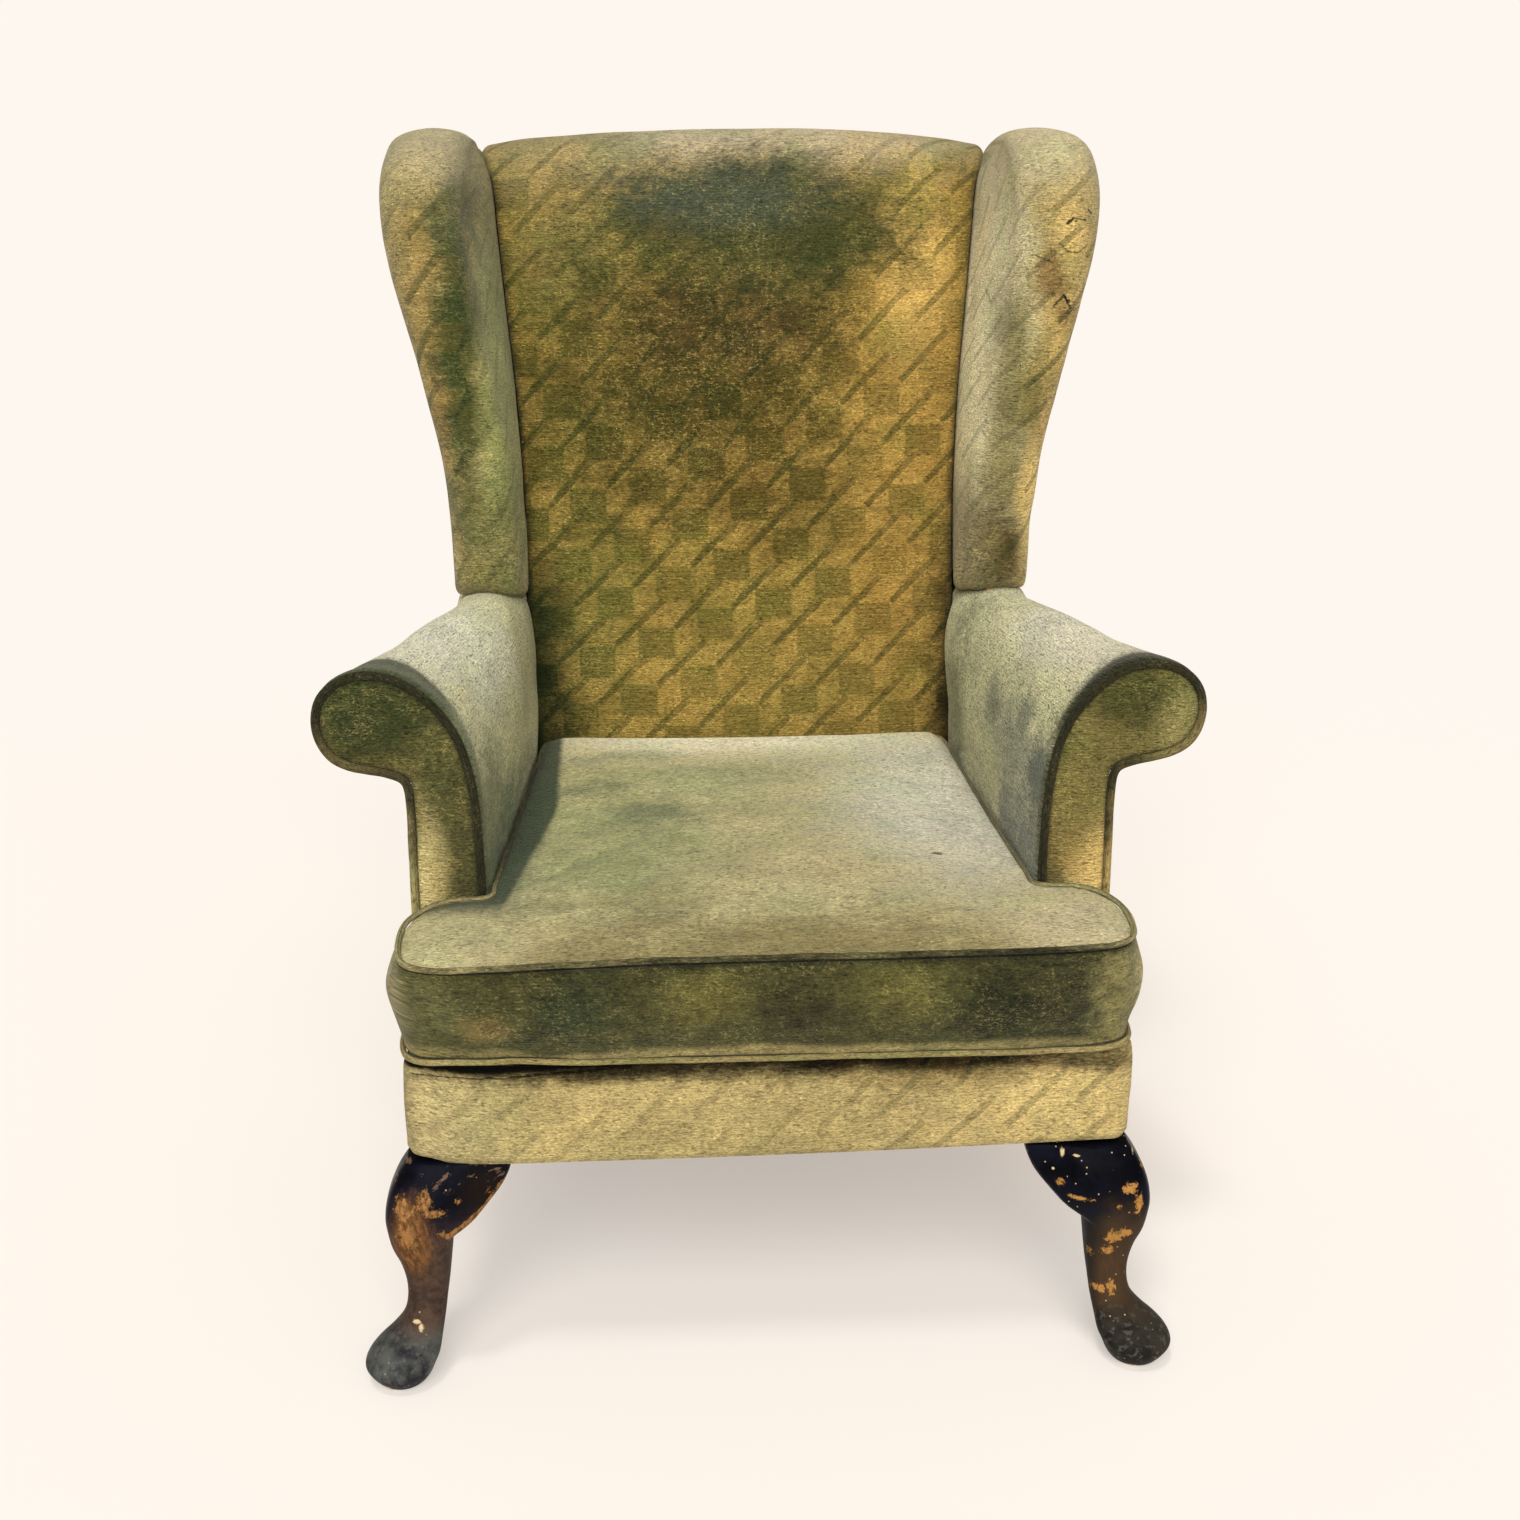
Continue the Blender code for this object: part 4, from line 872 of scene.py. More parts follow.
def wing_surface(s, d, side):
    """Points of the wing's skin: s along its edge (n), d across (m): 0 on the edge line,
    1 where the edge roll ends, 2 at the rear. side is -1 inside and 1 outside."""
    ey, ez, ex, r = [c[:, None] for c in wing_line(s).T]
    qy, qz = [c[:, None] for c in wing_rear(s)]
    length = np.hypot(qy - ey, qz - ez)
    d = np.asarray(d, float)[None]
    dist = np.where(d <= 1, d * r, r + (d - 1) * (length - r))
    t = dist / length
    w = np.sqrt(np.maximum(0.0, 1 - (1 - np.minimum(d, 1)) ** 2))
    y, z = ey + (qy - ey) * t, ez + (qz - ez) * t
    if side < 0:
        yr, zr = ey + (qy - ey) * r / length, ez + (qz - ez) * r / length
        g, gr = y - face_y(z), yr - face_y(zr)
        f = np.clip((g - gr) / np.maximum(-gr + 0.002, 0.03), 0, 1)
        x = (ex - r) + (junction(z) + 0.0010 - (ex - r)) * f - 0.0045 * np.sin(np.pi * f)
        x = np.where(d <= 1, ex - r * w, x)
        x = np.where((g > 0) & (d > 1), np.maximum(x, junction(z) + 0.0008), x)
    else:
        end = side_x(qy) - 2 * GAP
        x = np.where(d <= 1, ex + r * w, (ex + r) + (end - (ex + r)) * np.clip(d - 1, 0, 1))
        x = x - PANEL * step01(d, 1.03, 1.10)
    return np.stack([np.broadcast_to(x, y.shape), y, z], -1), dist


def make_wing(side, sgn, mat):
    name = f"wing_padding_{side}"
    lead = np.array([0, .0006, .0015, .0028, .0045, .0066, .0092, .0122])
    s = np.concatenate([lead, np.linspace(0.0155, 1.0, 165)])
    quarter = 1 - np.cos(np.linspace(0, np.pi / 2, 13))
    d_in = np.concatenate([np.linspace(2, 1.02, 34), quarter[::-1]])
    d_out = np.concatenate([quarter[1:], [1.015, 1.03, 1.05, 1.07, 1.09, 1.11], np.linspace(1.2, 2, 8)])
    A, da = wing_surface(s, d_in, -1)
    B, db = wing_surface(s, d_out, 1)
    P = np.concatenate([A, B], 1)
    # arc length across, from the edge line, outward positive
    L = np.concatenate([np.zeros((len(s), 1)), np.cumsum(np.linalg.norm(np.diff(P, axis=1), axis=2), axis=1)], 1)
    L = L - L[:, len(d_in) - 1][:, None]
    V0 = np.concatenate([[0], np.cumsum(np.linalg.norm(np.diff(P[:, len(d_in) - 1], axis=0), axis=1))])
    N = grid_normals(P)
    away = step01(L, 0.002, 0.03)[..., None] * 0 + 1
    lump = noise(P + sgn, 0.075, 11) * 0.0020 + noise(P + sgn, 0.032, 12) * 0.0009
    outward = N * np.sign((N[:, len(d_in) - 1] * np.array([0, -1, 0.15])).sum(-1).mean())
    inner_mask = np.ones(P.shape[1])
    inner_mask[len(d_in) + 14:] = 0
    ok = (P[..., 1] < face_y(P[..., 2]) - 0.004) | (P[..., 2] > 1.03)
    P = P + outward * (lump * inner_mask[None] * step01(V0, 0, 0.02)[:, None] * ok)[..., None]
    # the lower end is rounded like a bolster's and lies on the arm's shoulder
    e = V0[:, None]
    P = P - outward * (roll(e, 0.0200) * (1 + 0 * L))[..., None] * np.array([1, 0.8, 0.0])
    sh = np.array(ARM_SHOULDER)
    drop = 0.5965 - np.interp(np.abs(P[..., 0]), sh[:, 0], sh[:, 1]) + 0.0006
    P[..., 2] -= np.clip(drop, -0.001, 0.03) * (1 - step01(e, 0.0, 0.055))
    W = np.stack([sgn * L + 0.03 * sgn, np.broadcast_to(V0[:, None] + 0.17, L.shape)], -1)
    P[..., 0] *= sgn
    R, C = P.shape[:2]
    caps = [list(range(C)), list(range((R - 1) * C, R * C))]
    me = mesh_of(name, P, quads_of(R, C, False, True), weave=W, polys=caps)
    ob = piece(name, me, mat, sharp=75)
    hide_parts(f"wing_pad_{side}")
    return ob


# ------------------------------------------------------------------ arms
ARM = [
    (0.2470, 0.2756, 0.2170, 0.2756), (0.2460, 0.3400, 0.2165, 0.3400), (0.2455, 0.4000, 0.2165, 0.4000),
    (0.2460, 0.4500, 0.2165, 0.4500), (0.2485, 0.4950, 0.2155, 0.4950), (0.2540, 0.5300, 0.2155, 0.5300),
    (0.2630, 0.5560, 0.2185, 0.5540), (0.2770, 0.5780, 0.2255, 0.5730), (0.2950, 0.5960, 0.2360, 0.5850),
    (0.3150, 0.6080, 0.2490, 0.5925), (0.3360, 0.6130, 0.2610, 0.5955), (0.3560, 0.6110, 0.2730, 0.5945),
    (0.3740, 0.6020, 0.2845, 0.5900), (0.3860, 0.5870, 0.2940, 0.5800), (0.3900, 0.5680, 0.2985, 0.5670),
    (0.3870, 0.5490, 0.2985, 0.5530), (0.3770, 0.5330, 0.2965, 0.5400), (0.3620, 0.5240, 0.2940, 0.5320),
    (0.3450, 0.5195, 0.2920, 0.5260), (0.3280, 0.5160, 0.2900, 0.5200), (0.3160, 0.5100, 0.2885, 0.5130),
]


def arm_grid(ts, n):
    """Points over the arm, rows along it and n columns round its section."""
    a = np.array(ARM)
    front, rear = a[:, :2], a[:, 2:]
    fine = open_spline(front, 400)
    k = np.concatenate([[0], np.cumsum(np.linalg.norm(np.diff(front, axis=0), axis=1))])
    at = np.linspace(0, k[-1], n)
    f, r = spline(k, front, at), spline(k, rear, at)
    z = np.broadcast_to(f[:, 1], (len(ts), n)).copy()
    for _ in range(4):
        y = ARM_FRONT + np.asarray(ts)[:, None] * (post_y(z) - WEB - 2 * GAP - ARM_FRONT)
        s = np.minimum(1.0, (y - ARM_FRONT) / (ARM_REAR - ARM_FRONT))
        z = f[None, :, 1] + (r - f)[None, :, 1] * s
    x = f[None, :, 0] + (r - f)[None, :, 0] * s
    return np.stack([x, y, z], -1), at


def make_arm(side, sgn, mat):
    name = f"arm_padding_{side}"
    lead = np.array([0, .0004, .0012, .0024, .0040, .0060]) / 0.42
    ts = np.concatenate([lead, np.linspace(0.020, 1, 118)])
    P, at = arm_grid(ts, 210)
    N = grid_normals(P)
    # outward at the inner face is towards the seat
    N *= np.sign((N[40, 40] * np.array([-1, 0, 0])).sum())
    lump = noise(P + sgn * 2, (0.07, 0.11, 0.07), 21) * 0.0022 + noise(P + sgn, (0.03, 0.05, 0.03), 22) * 0.0010
    e = (P[..., 1] - ARM_FRONT)
    # stuffing has packed down where hands and elbows rest
    lump += -0.0035 * np.exp(-((P[..., 1] - 0.26) / 0.10) ** 2) * step01(P[..., 2], 0.57, 0.60)
    lump += 0.0030 * np.exp(-((P[..., 1] - 0.33) / 0.09) ** 2 - ((P[..., 2] - 0.50) / 0.05) ** 2)
    under = step01(at, at[-1] - 0.055, at[-1] - 0.010)[None]
    P = P + N * ((lump * step01(e, 0, 0.03) * (1 - under)) - roll(e, 0.0060) * 0.8)[..., None]
    # the rear end rounds over into the crease beside the back
    g = P[..., 1] - (face_y(P[..., 2]) - 0.013)
    f = np.clip(g / 0.013, 0, 1)
    need = junction(P[..., 2]) + 0.0008
    P[..., 0] = P[..., 0] + np.maximum(0, need - P[..., 0]) * (1 - np.sqrt(1 - f * f))
    L = np.concatenate([np.zeros((len(ts), 1)), np.cumsum(np.linalg.norm(np.diff(P, axis=1), axis=2), axis=1)], 1)
    W = np.stack([-sgn * P[..., 1], L], -1)
    y = P[:, :1, 1]
    hid = []
    for z in (0.5080, RAIL_TOP + 2 * GAP):
        yy = ARM_FRONT + ts * (post_y(z) - WEB - 2 * GAP - ARM_FRONT)
        hid.append(np.stack([side_x(yy) - PANEL - 2 * GAP, yy, np.full(len(ts), z)], -1))
    H = np.stack(hid, 1)
    G = np.concatenate([P, H], 1)
    WG = np.concatenate([W, np.stack([H[..., 1], H[..., 2]], -1)], 1)
    G[..., 0] *= sgn
    R, C = G.shape[:2]
    caps = [list(range(C)), list(range((R - 1) * C, R * C))]
    me = mesh_of(name, G, quads_of(R, C, False, True), weave=WG, polys=caps)
    ob = piece(name, me, mat, sharp=70)
    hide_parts(f"arm_pad_{side}")
    return ob


def facing_outline():
    o = [(a[0], a[1]) for a in ARM[1:]]
    o[0] = (0.2460, 0.3070)
    o += [(0.3128, 0.4950), (0.3128, 0.4300), (0.3128, 0.3700), (0.3128, 0.3070)]
    return o


def make_facing(side, sgn, mat, cord):
    outline = np.array(facing_outline())
    inner = grown(outline, -0.0082)
    inner[:, 1] = np.maximum(inner[:, 1], 0.3100)
    # smooth along the curved part, straight at the foot
    top = open_spline(inner[:-1], step=0.0032)
    poly = np.vstack([top, along([inner[-2], inner[-1], inner[0]], 0.0032)[1:-1]])
    keep = [poly[0]]
    for p in poly[1:]:
        if np.linalg.norm(p - keep[-1]) > 0.0016:
            keep.append(p)
    if np.linalg.norm(keep[-1] - keep[0]) < 0.0016:
        keep.pop()
    poly = np.array(keep)

    def front(P, d):
        dome = 0.0042 * (1 - np.exp(-d / 0.012))
        q = np.stack([P[:, 0], np.zeros(len(P)), P[:, 1]], 1)
        lump = noise(q + sgn, 0.05, 31) * 0.0010 * step01(d, 0.003, 0.02)
        return np.stack([sgn * P[:, 0], 0.1166 - dome - lump, P[:, 1]], 1)

    def back(P, d):
        return np.stack([sgn * P[:, 0], np.full(len(P), 0.1208), P[:, 1]], 1)

    ob = plate(f"arm_front_{side}", poly, 0.0042, front, back, mat,
               lambda P: np.stack([sgn * P[:, 0], P[:, 1]], 1))
    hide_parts(f"arm_facing_{side}")
    # piping round it
    ring = grown(outline, -0.0044)
    ring[0, 1], ring[-1, 1] = 0.3085, 0.3085
    path = open_spline(ring, step=0.0030)
    P = np.stack([sgn * path[:, 0], np.full(len(path), 0.1164), path[:, 1]], 1)
    n = noise(P + 3 * sgn, 0.02, 33)
    P[:, 1] += n * 0.0006
    r = 0.0039 * (1 + 0.06 * noise(P + 5, 0.012, 34))
    V, q, polys = tube(P, r, 12, up=(0, 1, 0))
    arc = np.concatenate([[0], np.cumsum(np.linalg.norm(np.diff(P, axis=0), axis=1))])
    a = np.linspace(0, 2 * np.pi, 12, endpoint=False)
    W = np.stack(np.broadcast_arrays(arc[:, None], 0.0039 * a[None]), -1)
    me = mesh_of(f"arm_welt_{side}", V, q, weave=W, polys=polys)
    ob = piece(f"arm_welt_{side}", me, cord)
    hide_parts(f"arm_piping_{side}")
    return ob


# ------------------------------------------------------------------ seat cushion
PLAN = [(0.0, -0.0300), (0.1500, -0.0300), (0.2500, -0.0290), (0.2850, -0.0250), (0.3030, -0.0120),
        (0.3100, 0.0100), (0.3110, 0.0450), (0.3060, 0.0700), (0.2930, 0.0930), (0.2740, 0.1040),
        (0.2540, 0.1060), (0.2440, 0.1110), (0.2425, 0.1300), (0.2345, 0.2200), (0.2255, 0.3200),
        (0.2165, 0.4200), (0.2130, 0.4600), (0.2080, 0.4740), (0.1950, 0.4790), (0.1000, 0.4740),
        (0.0, 0.4720)]


def lean(y, z):
    return (z - 0.4020) * RAKE * np.clip((y - 0.12) / 0.33, 0, 1)


def rise(y, z):
    return (0.050 * y + 0.006 * step01(y, 0.22, 0.47)) * (z - CUSHION_BOTTOM) / (CUSHION_SEAM - CUSHION_BOTTOM)


def make_cushion(mat, cord):
    plan = closed_spline(PLAN + [(-x, y) for x, y in reversed(PLAN[1:-1])], 300)
    plan = grown(plan, -0.0035)
    flat, T = filled(plan, 0.0074)
    n, k = len(plan), len(flat)
    edge = edge_distance(flat, plan)
    rows = 13
    V, kind = [], []
    zs = np.linspace(CUSHION_SEAM + 0.001, CUSHION_BOTTOM + 0.001, rows)

    def at(P, z, up=0.0):
        return np.stack([P[:, 0], P[:, 1] + lean(P[:, 1], z), z + up + rise(P[:, 1], z)], 1)

    top = at(flat, zs[0])
    top[:, 2] += 0.006 * (1 - np.exp(-edge / 0.05))
    V.append(top)
    ringsz = []
    for z in zs[1:-1]:
        ringsz.append(at(plan, z))
    V += ringsz
    bot = at(flat, zs[-1])
    V.append(bot)
    V = np.vstack(V)
    base_b = k + n * (rows - 2)
    first = [np.arange(n)] + [k + n * i + np.arange(n) for i in range(rows - 2)] + [base_b + np.arange(n)]
    q = []
    for a, b in zip(first, first[1:]):
        q.append(np.stack([a, np.roll(a, -1), np.roll(b, -1), b], 1))
    q = np.vstack(q)
    tris = np.vstack([T[:, ::-1], T + base_b])
    # cloth place: the top and bottom lie flat, the boxing runs along its seam
    arc = np.concatenate([[0], np.cumsum(np.linalg.norm(np.diff(plan, axis=0), axis=1))])
    W = np.zeros((len(V), 3))
    W[:k, :2] = flat
    for i in range(rows - 2):
        W[k + n * i:k + n * (i + 1), 0] = plan[:, 0] + 0.3 * np.sign(plan[:, 0]) * (plan[:, 1] > 0.06)
        W[k + n * i:k + n * (i + 1), 0] = arc
        W[k + n * i:k + n * (i + 1), 1] = zs[i + 1]
    W[base_b:, :2] = flat + 2.0
    W[:, 2] = 0.0
    W[k:base_b, 2] = 1.0
    W[base_b:, 2] = 2.0
    me = mesh_of("seat_pad", V, q, tris, W)
    ob = piece("seat_pad", me, mat)
    start = points_of(me)
    # stuffed: the cover blows up against its seams
    g = ob.vertex_groups.new(name="held")
    g.add([int(i) for i in np.concatenate([first[0], first[-1]])], 1.0, "REPLACE")
    g.add([int(i) for i in range(base_b + n, base_b + k)], 1.0, "REPLACE")
    cl = ob.modifiers.new("cloth", "CLOTH")
    st = cl.settings
    st.quality = 5
    st.mass = 0.3
    st.tension_stiffness = 18
    st.compression_stiffness = 14
    st.shear_stiffness = 6
    st.bending_stiffness = 0.8
    st.use_pressure = True
    st.uniform_pressure_force = 4.0
    st.vertex_group_mass = "held"
    st.effector_weights.gravity = 0.0
    cl.collision_settings.use_collision = False
    cl.collision_settings.use_self_collision = False
    scene = bpy.context.scene
    scene.frame_start, scene.frame_end = 1, 20
    for f in range(1, 21):
        scene.frame_set(f)
    modified(ob)
    scene.frame_set(1)
    me = ob.data
    end = points_of(me)
    move = end - start
    far = np.linalg.norm(move, axis=1)
    move *= (np.minimum(far, 0.028) / np.maximum(far, 1e-9))[:, None]
    crown = move[:k, 2].max()
    print("cushion blew up by", round(float(crown) * 1000, 1), "mm;",
          round(float(np.linalg.norm(move[k:base_b], axis=1).max()) * 1000, 1), "mm at the boxing")
    move[:k, 2] *= 0.0150 / max(crown, 1e-6)
    bx = np.linalg.norm(move[k:base_b, :2], axis=1).max()
    move[k:base_b] *= 0.0125 / max(bx, 1e-6)
    V = start + move
    # it stays clear of the arms and the back
    x, y, z = V.T
    free = step01(y, 0.085, 0.118)
    hold = np.abs(start[:, 0]) * free + (1 - free) * 9
    V[:, 0] = np.where(np.abs(x) > hold, np.sign(x) * hold, x)
    V[:, 1] = np.where(start[:, 1] > 0.42, np.minimum(V[:, 1], start[:, 1] + 0.001), V[:, 1])
    # sat hollow, worn limp at the front left corner
    top = np.zeros(len(V))
    top[:k] = 1
    for i, f in enumerate(first[1:-1]):
        top[f] = 1 - (i + 1) / (rows - 1)
    x, y, z = V.T
    # its lower edge has curled up off the border at the left
    curl = step01(x, -0.302, -0.262) * (1 - step01(x, -0.225, -0.150)) * (1 - step01(y, -0.020, 0.060))
    V[:, 2] += (1 - top) ** 2 * curl * 0.0024
    V[:, 2] -= top * 0.0075 * np.exp(-(((x + 0.33) / 0.16) ** 2 + ((y + 0.03) / 0.12) ** 2))
    V[:, 2] += top * 0.0020 * np.exp(-(((x - 0.30) / 0.12) ** 2 + ((y + 0.02) / 0.10) ** 2))
    crown_only = np.zeros(len(V))
    crown_only[:k] = step01(edge, 0.004, 0.05)
    V[:, 2] -= crown_only * 0.0055 * np.exp(-(((x + 0.02) / 0.13) ** 2 + ((y - 0.24) / 0.13) ** 2))
    swell = np.zeros(len(V))
    swell[:k] = step01(edge, 0.0, 0.016)
    V[:, 2] += swell * 0.0095 * step01(y, 0.27, 0.45)
    V[:, 2] += crown_only * (noise(V, (0.10, 0.08, 1), 41) * 0.0020 + noise(V, (0.035, 0.03, 1), 42) * 0.0007)
    # long soft creases running back from the front left, and a dip under each thigh
    for (x0, y0, x1, y1, wdt, dep) in ((-0.23, 0.10, -0.02, 0.30, 0.009, 0.0032), (-0.20, 0.06, 0.05, 0.20, 0.010, 0.0022),
                                       (-0.16, 0.28, 0.06, 0.36, 0.010, 0.0024), (0.19, 0.08, 0.10, 0.30, 0.012, 0.0016),
                                       (-0.17, 0.36, -0.02, 0.42, 0.009, 0.0020), (0.02, 0.00, 0.20, 0.03, 0.012, 0.0014)):
        ax, ay = x1 - x0, y1 - y0
        l2 = ax * ax + ay * ay
        t = np.clip(((x - x0) * ax + (y - y0) * ay) / l2, 0, 1)
        dd = np.hypot(x - x0 - t * ax, y - y0 - t * ay)
        V[:, 2] -= crown_only * dep * np.exp(-(dd / wdt) ** 2) * np.sin(np.pi * t)
    box = np.zeros(len(V))
    box[k:base_b] = 1
    N = np.zeros_like(V)
    set_points(me, V)
    N = normals_of(me)
    amp = noise(V, (0.07, 0.07, 0.035), 43) * 0.0022 + noise(V, (0.025, 0.025, 0.018), 44) * 0.0009
    V += N * (box * amp * (1 - 0.85 * free))[:, None]
    # the ears bulge past the arms
    ear = box * np.exp(-(((np.abs(V[:, 0]) - 0.320) / 0.03) ** 2 + ((V[:, 1] - 0.03) / 0.060) ** 2 + ((V[:, 2] - 0.360) / 0.034) ** 2))
    V[:, 0] += np.sign(V[:, 0]) * ear * np.where(V[:, 0] < 0, 0.0150, 0.0150)
    wide = step01(np.abs(V[:, 0]), 0.20, 0.31) * (1 - step01(V[:, 1], 0.06, 0.10))
    V[:, 0] += np.sign(V[:, 0]) * wide * np.where(V[:, 0] < 0, 0.0045, 0.0010)
    set_points(me, V)
    seam_top, seam_bot = V[first[0]].copy(), V[first[-1]].copy()
    sub = ob.modifiers.new("fine", "SUBSURF")
    sub.levels = sub.render_levels = 1
    modified(ob)
    ob.data.shade_smooth()
    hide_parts("seat_cushion")
    # piping let into both seams
    for label, seam, r, up in (("top", seam_top, 0.0026, 0.0006), ("bottom", seam_bot, 0.0026, 0.0014)):
        P = closed_spline(seam, 640)
        P = np.roll(P, -int(np.argmax(P[:, 1])), axis=0)
        out = grown(P[:, :2], 1.0) - P[:, :2]
        clear = step01(P[:, 1], 0.085, 0.118)
        P[:, :2] += out * (0.0018 * (1 - clear))[:, None]
        P[:, 2] += up + 0.0006 * noise(P, 0.03, 45)
        rad = r * (1 + 0.08 * noise(P, 0.014, 46)) * (1 - 0.25 * clear)
        V2, q2, p2 = tube(P, rad, 12, closed=True)
        arc2 = np.concatenate([[0], np.cumsum(np.linalg.norm(np.diff(P, axis=0), axis=1))])
        a = np.linspace(0, 2 * np.pi, 12, endpoint=False)
        me2 = mesh_of(f"seat_welt_{label}", V2, q2, weave=np.stack(np.broadcast_arrays(arc2[:, None], 0.0035 * a[None]), -1), polys=p2)
        w = piece(f"seat_welt_{label}", me2, cord)
        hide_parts(f"cushion_piping_{label}")
    return ob


# ------------------------------------------------------------------ front border
BORDER_LOW = [(-0.33, 0.2095), (-0.30, 0.2090), (-0.27, 0.2010), (-0.15, 0.2000), (0.0, 0.2013), (0.10, 0.2030),
              (0.20, 0.2054), (0.30, 0.2083), (0.33, 0.2085)]
BORDER_TURN = [(-0.33, 0.2985), (-0.307, 0.2980), (-0.282, 0.2920), (-0.215, 0.2830), (-0.13, 0.2800), (-0.01, 0.2790),
               (0.11, 0.2840), (0.197, 0.2870), (0.283, 0.2940), (0.308, 0.2990), (0.33, 0.2995)]


def make_border(mat):
    R = 0.015
    xs = side_x(0.0)
    left = [(-side_x(y), y) for y in np.linspace(0.118, R, 34)]
    c = [(-xs + R + R * math.cos(a), R + R * math.sin(a)) for a in np.linspace(math.pi, 1.5 * math.pi, 12)[1:-1]]
    front = [(x, 0.0) for x in np.linspace(-xs + R, xs - R, 200)]
    half = left + c
    path = np.array(half + front + [(-x, y) for x, y in reversed(half)])
    T = np.gradient(path, axis=0)
    T /= np.linalg.norm(T, axis=1, keepdims=True)
    out = np.stack([T[:, 1], -T[:, 0]], 1)
    arc = np.concatenate([[0], np.cumsum(np.linalg.norm(np.diff(path, axis=0), axis=1))])
    arc -= arc[-1] / 2
    low = spline(*np.array(BORDER_LOW).T, path[:, 0])
    turn = spline(*np.array(BORDER_TURN).T, path[:, 0])
    low, turn = low.ravel(), turn.ravel()
    # how much of the top runs in over the edge roll
    deep = step01(0.292 - np.abs(path[:, 0]), 0.0, 0.03)
    rows = []
    for i in range(len(path)):
        lo, tn = low[i], turn[i]
        d = deep[i]
        lo_i = lo + 0.0005
        prof = [(-0.0110, lo_i + 0.004), (-0.0090, lo_i + 0.0008), (-0.0050, lo_i - 0.0004), (-0.0018, lo_i + 0.0012), (0.0000, lo_i + 0.0050)]
        for t in np.linspace(0.08, 0.93, 24):
            z = lo + (tn - lo) * t
            belly = 0.0018 * math.sin(math.pi * min(t * 1.0, 1)) + 0.0008
            prof.append((belly, z))
        prof += [(0.0002, tn - 0.0010), (-0.0022, tn + 0.0022), (-0.0058, tn + 0.0060 * d + 0.0006 * (1 - d))]
        crest = 0.3022
        if d > 0.02:
            prof += [(-0.0058 - 0.0062 * d, tn + (crest - tn) * 0.55), (-0.0058 - 0.0150 * d, tn + (crest - tn) * 0.86),
                     (-0.0058 - 0.0290 * d, crest), (-0.0058 - 0.0400 * d, crest - 0.0008), (-0.0058 - 0.0475 * d, crest - 0.0042),
                     (-0.0058 - 0.0440 * d, crest - 0.0072), (-0.0058 - 0.0240 * d, crest - 0.0035)]
        else:
            prof += [(-0.0058, tn + 0.0003)] * 7
        prof += [(-0.0112, min(tn, 0.2885)), (-0.0112, 0.250)]
        rows.append(prof)
    A = np.array(rows)
    P = np.concatenate([path[:, None, :] + out[:, None, :] * A[..., :1], A[..., 1:]], -1)
    mask = step01(np.arange(A.shape[1]), 4, 8) * (1 - step01(np.arange(A.shape[1]), 31, 36))
    lump = noise(P, (0.09, 0.09, 0.05), 51) * 0.0018 + noise(P, (0.04, 0.04, 0.02), 52) * 0.0007
    # vertical drag folds at the left corner
    lump += -0.0010 * np.exp(-((P[..., 0] + 0.296) / 0.006) ** 2) - 0.0008 * np.exp(-((P[..., 0] + 0.276) / 0.007) ** 2)
    P[..., :2] += out[:, None, :] * (lump * mask[None])[..., None]
    L = np.concatenate([np.zeros((len(P), 1)), np.cumsum(np.linalg.norm(np.diff(P, axis=1), axis=2), axis=1)], 1)
    W = np.stack([np.broadcast_to(arc[:, None], L.shape), L], -1)
    Rn, C = P.shape[:2]
    caps = [list(range(C)), list(range((Rn - 1) * C, Rn * C))]
    me = mesh_of("front_band", P, quads_of(Rn, C, False, True), weave=W, polys=caps)
    ob = piece("front_band", me, mat, sharp=75)
    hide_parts("front_border")
    return ob


def make_outside_arm(side, sgn, mat):
    p = [(0.1195, 0.2100), (post_y(0.2055) + POST_DEPTH, 0.2055),
         (post_y(0.5960) + POST_DEPTH, 0.5960), (post_y(0.5960), 0.5960), (post_y(0.5075), 0.5075),
         (ARM_FRONT + 0.0010, 0.5075), (ARM_FRONT + 0.0010, 0.3040), (0.1195, 0.2990)]
    poly = even(p, 0.0065)

    def front(P, d):
        q = np.stack([np.zeros(len(P)), P[:, 0], P[:, 1]], 1)
        puff = 0.0016 * (1 - np.exp(-d / 0.03)) + noise(q + 3 * sgn, 0.09, 61) * 0.0016 * step01(d, 0, 0.04)
        puff += 0.0006 * noise(q + sgn, 0.02, 62) * step01(d, 0, 0.02)
        return np.stack([sgn * (side_x(P[:, 0]) - roll(d, 0.0030) * 0.9 + puff), P[:, 0], P[:, 1]], 1)

    def back(P, d):
        return np.stack([sgn * (side_x(P[:, 0]) - PANEL), P[:, 0], P[:, 1]], 1)

    ob = plate(f"outside_arm_cover_{side}", poly, 0.0065, front, back, mat, lambda P: np.stack([-sgn * P[:, 0], P[:, 1]], 1))
    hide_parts(f"outside_arm_{side}")
    return ob


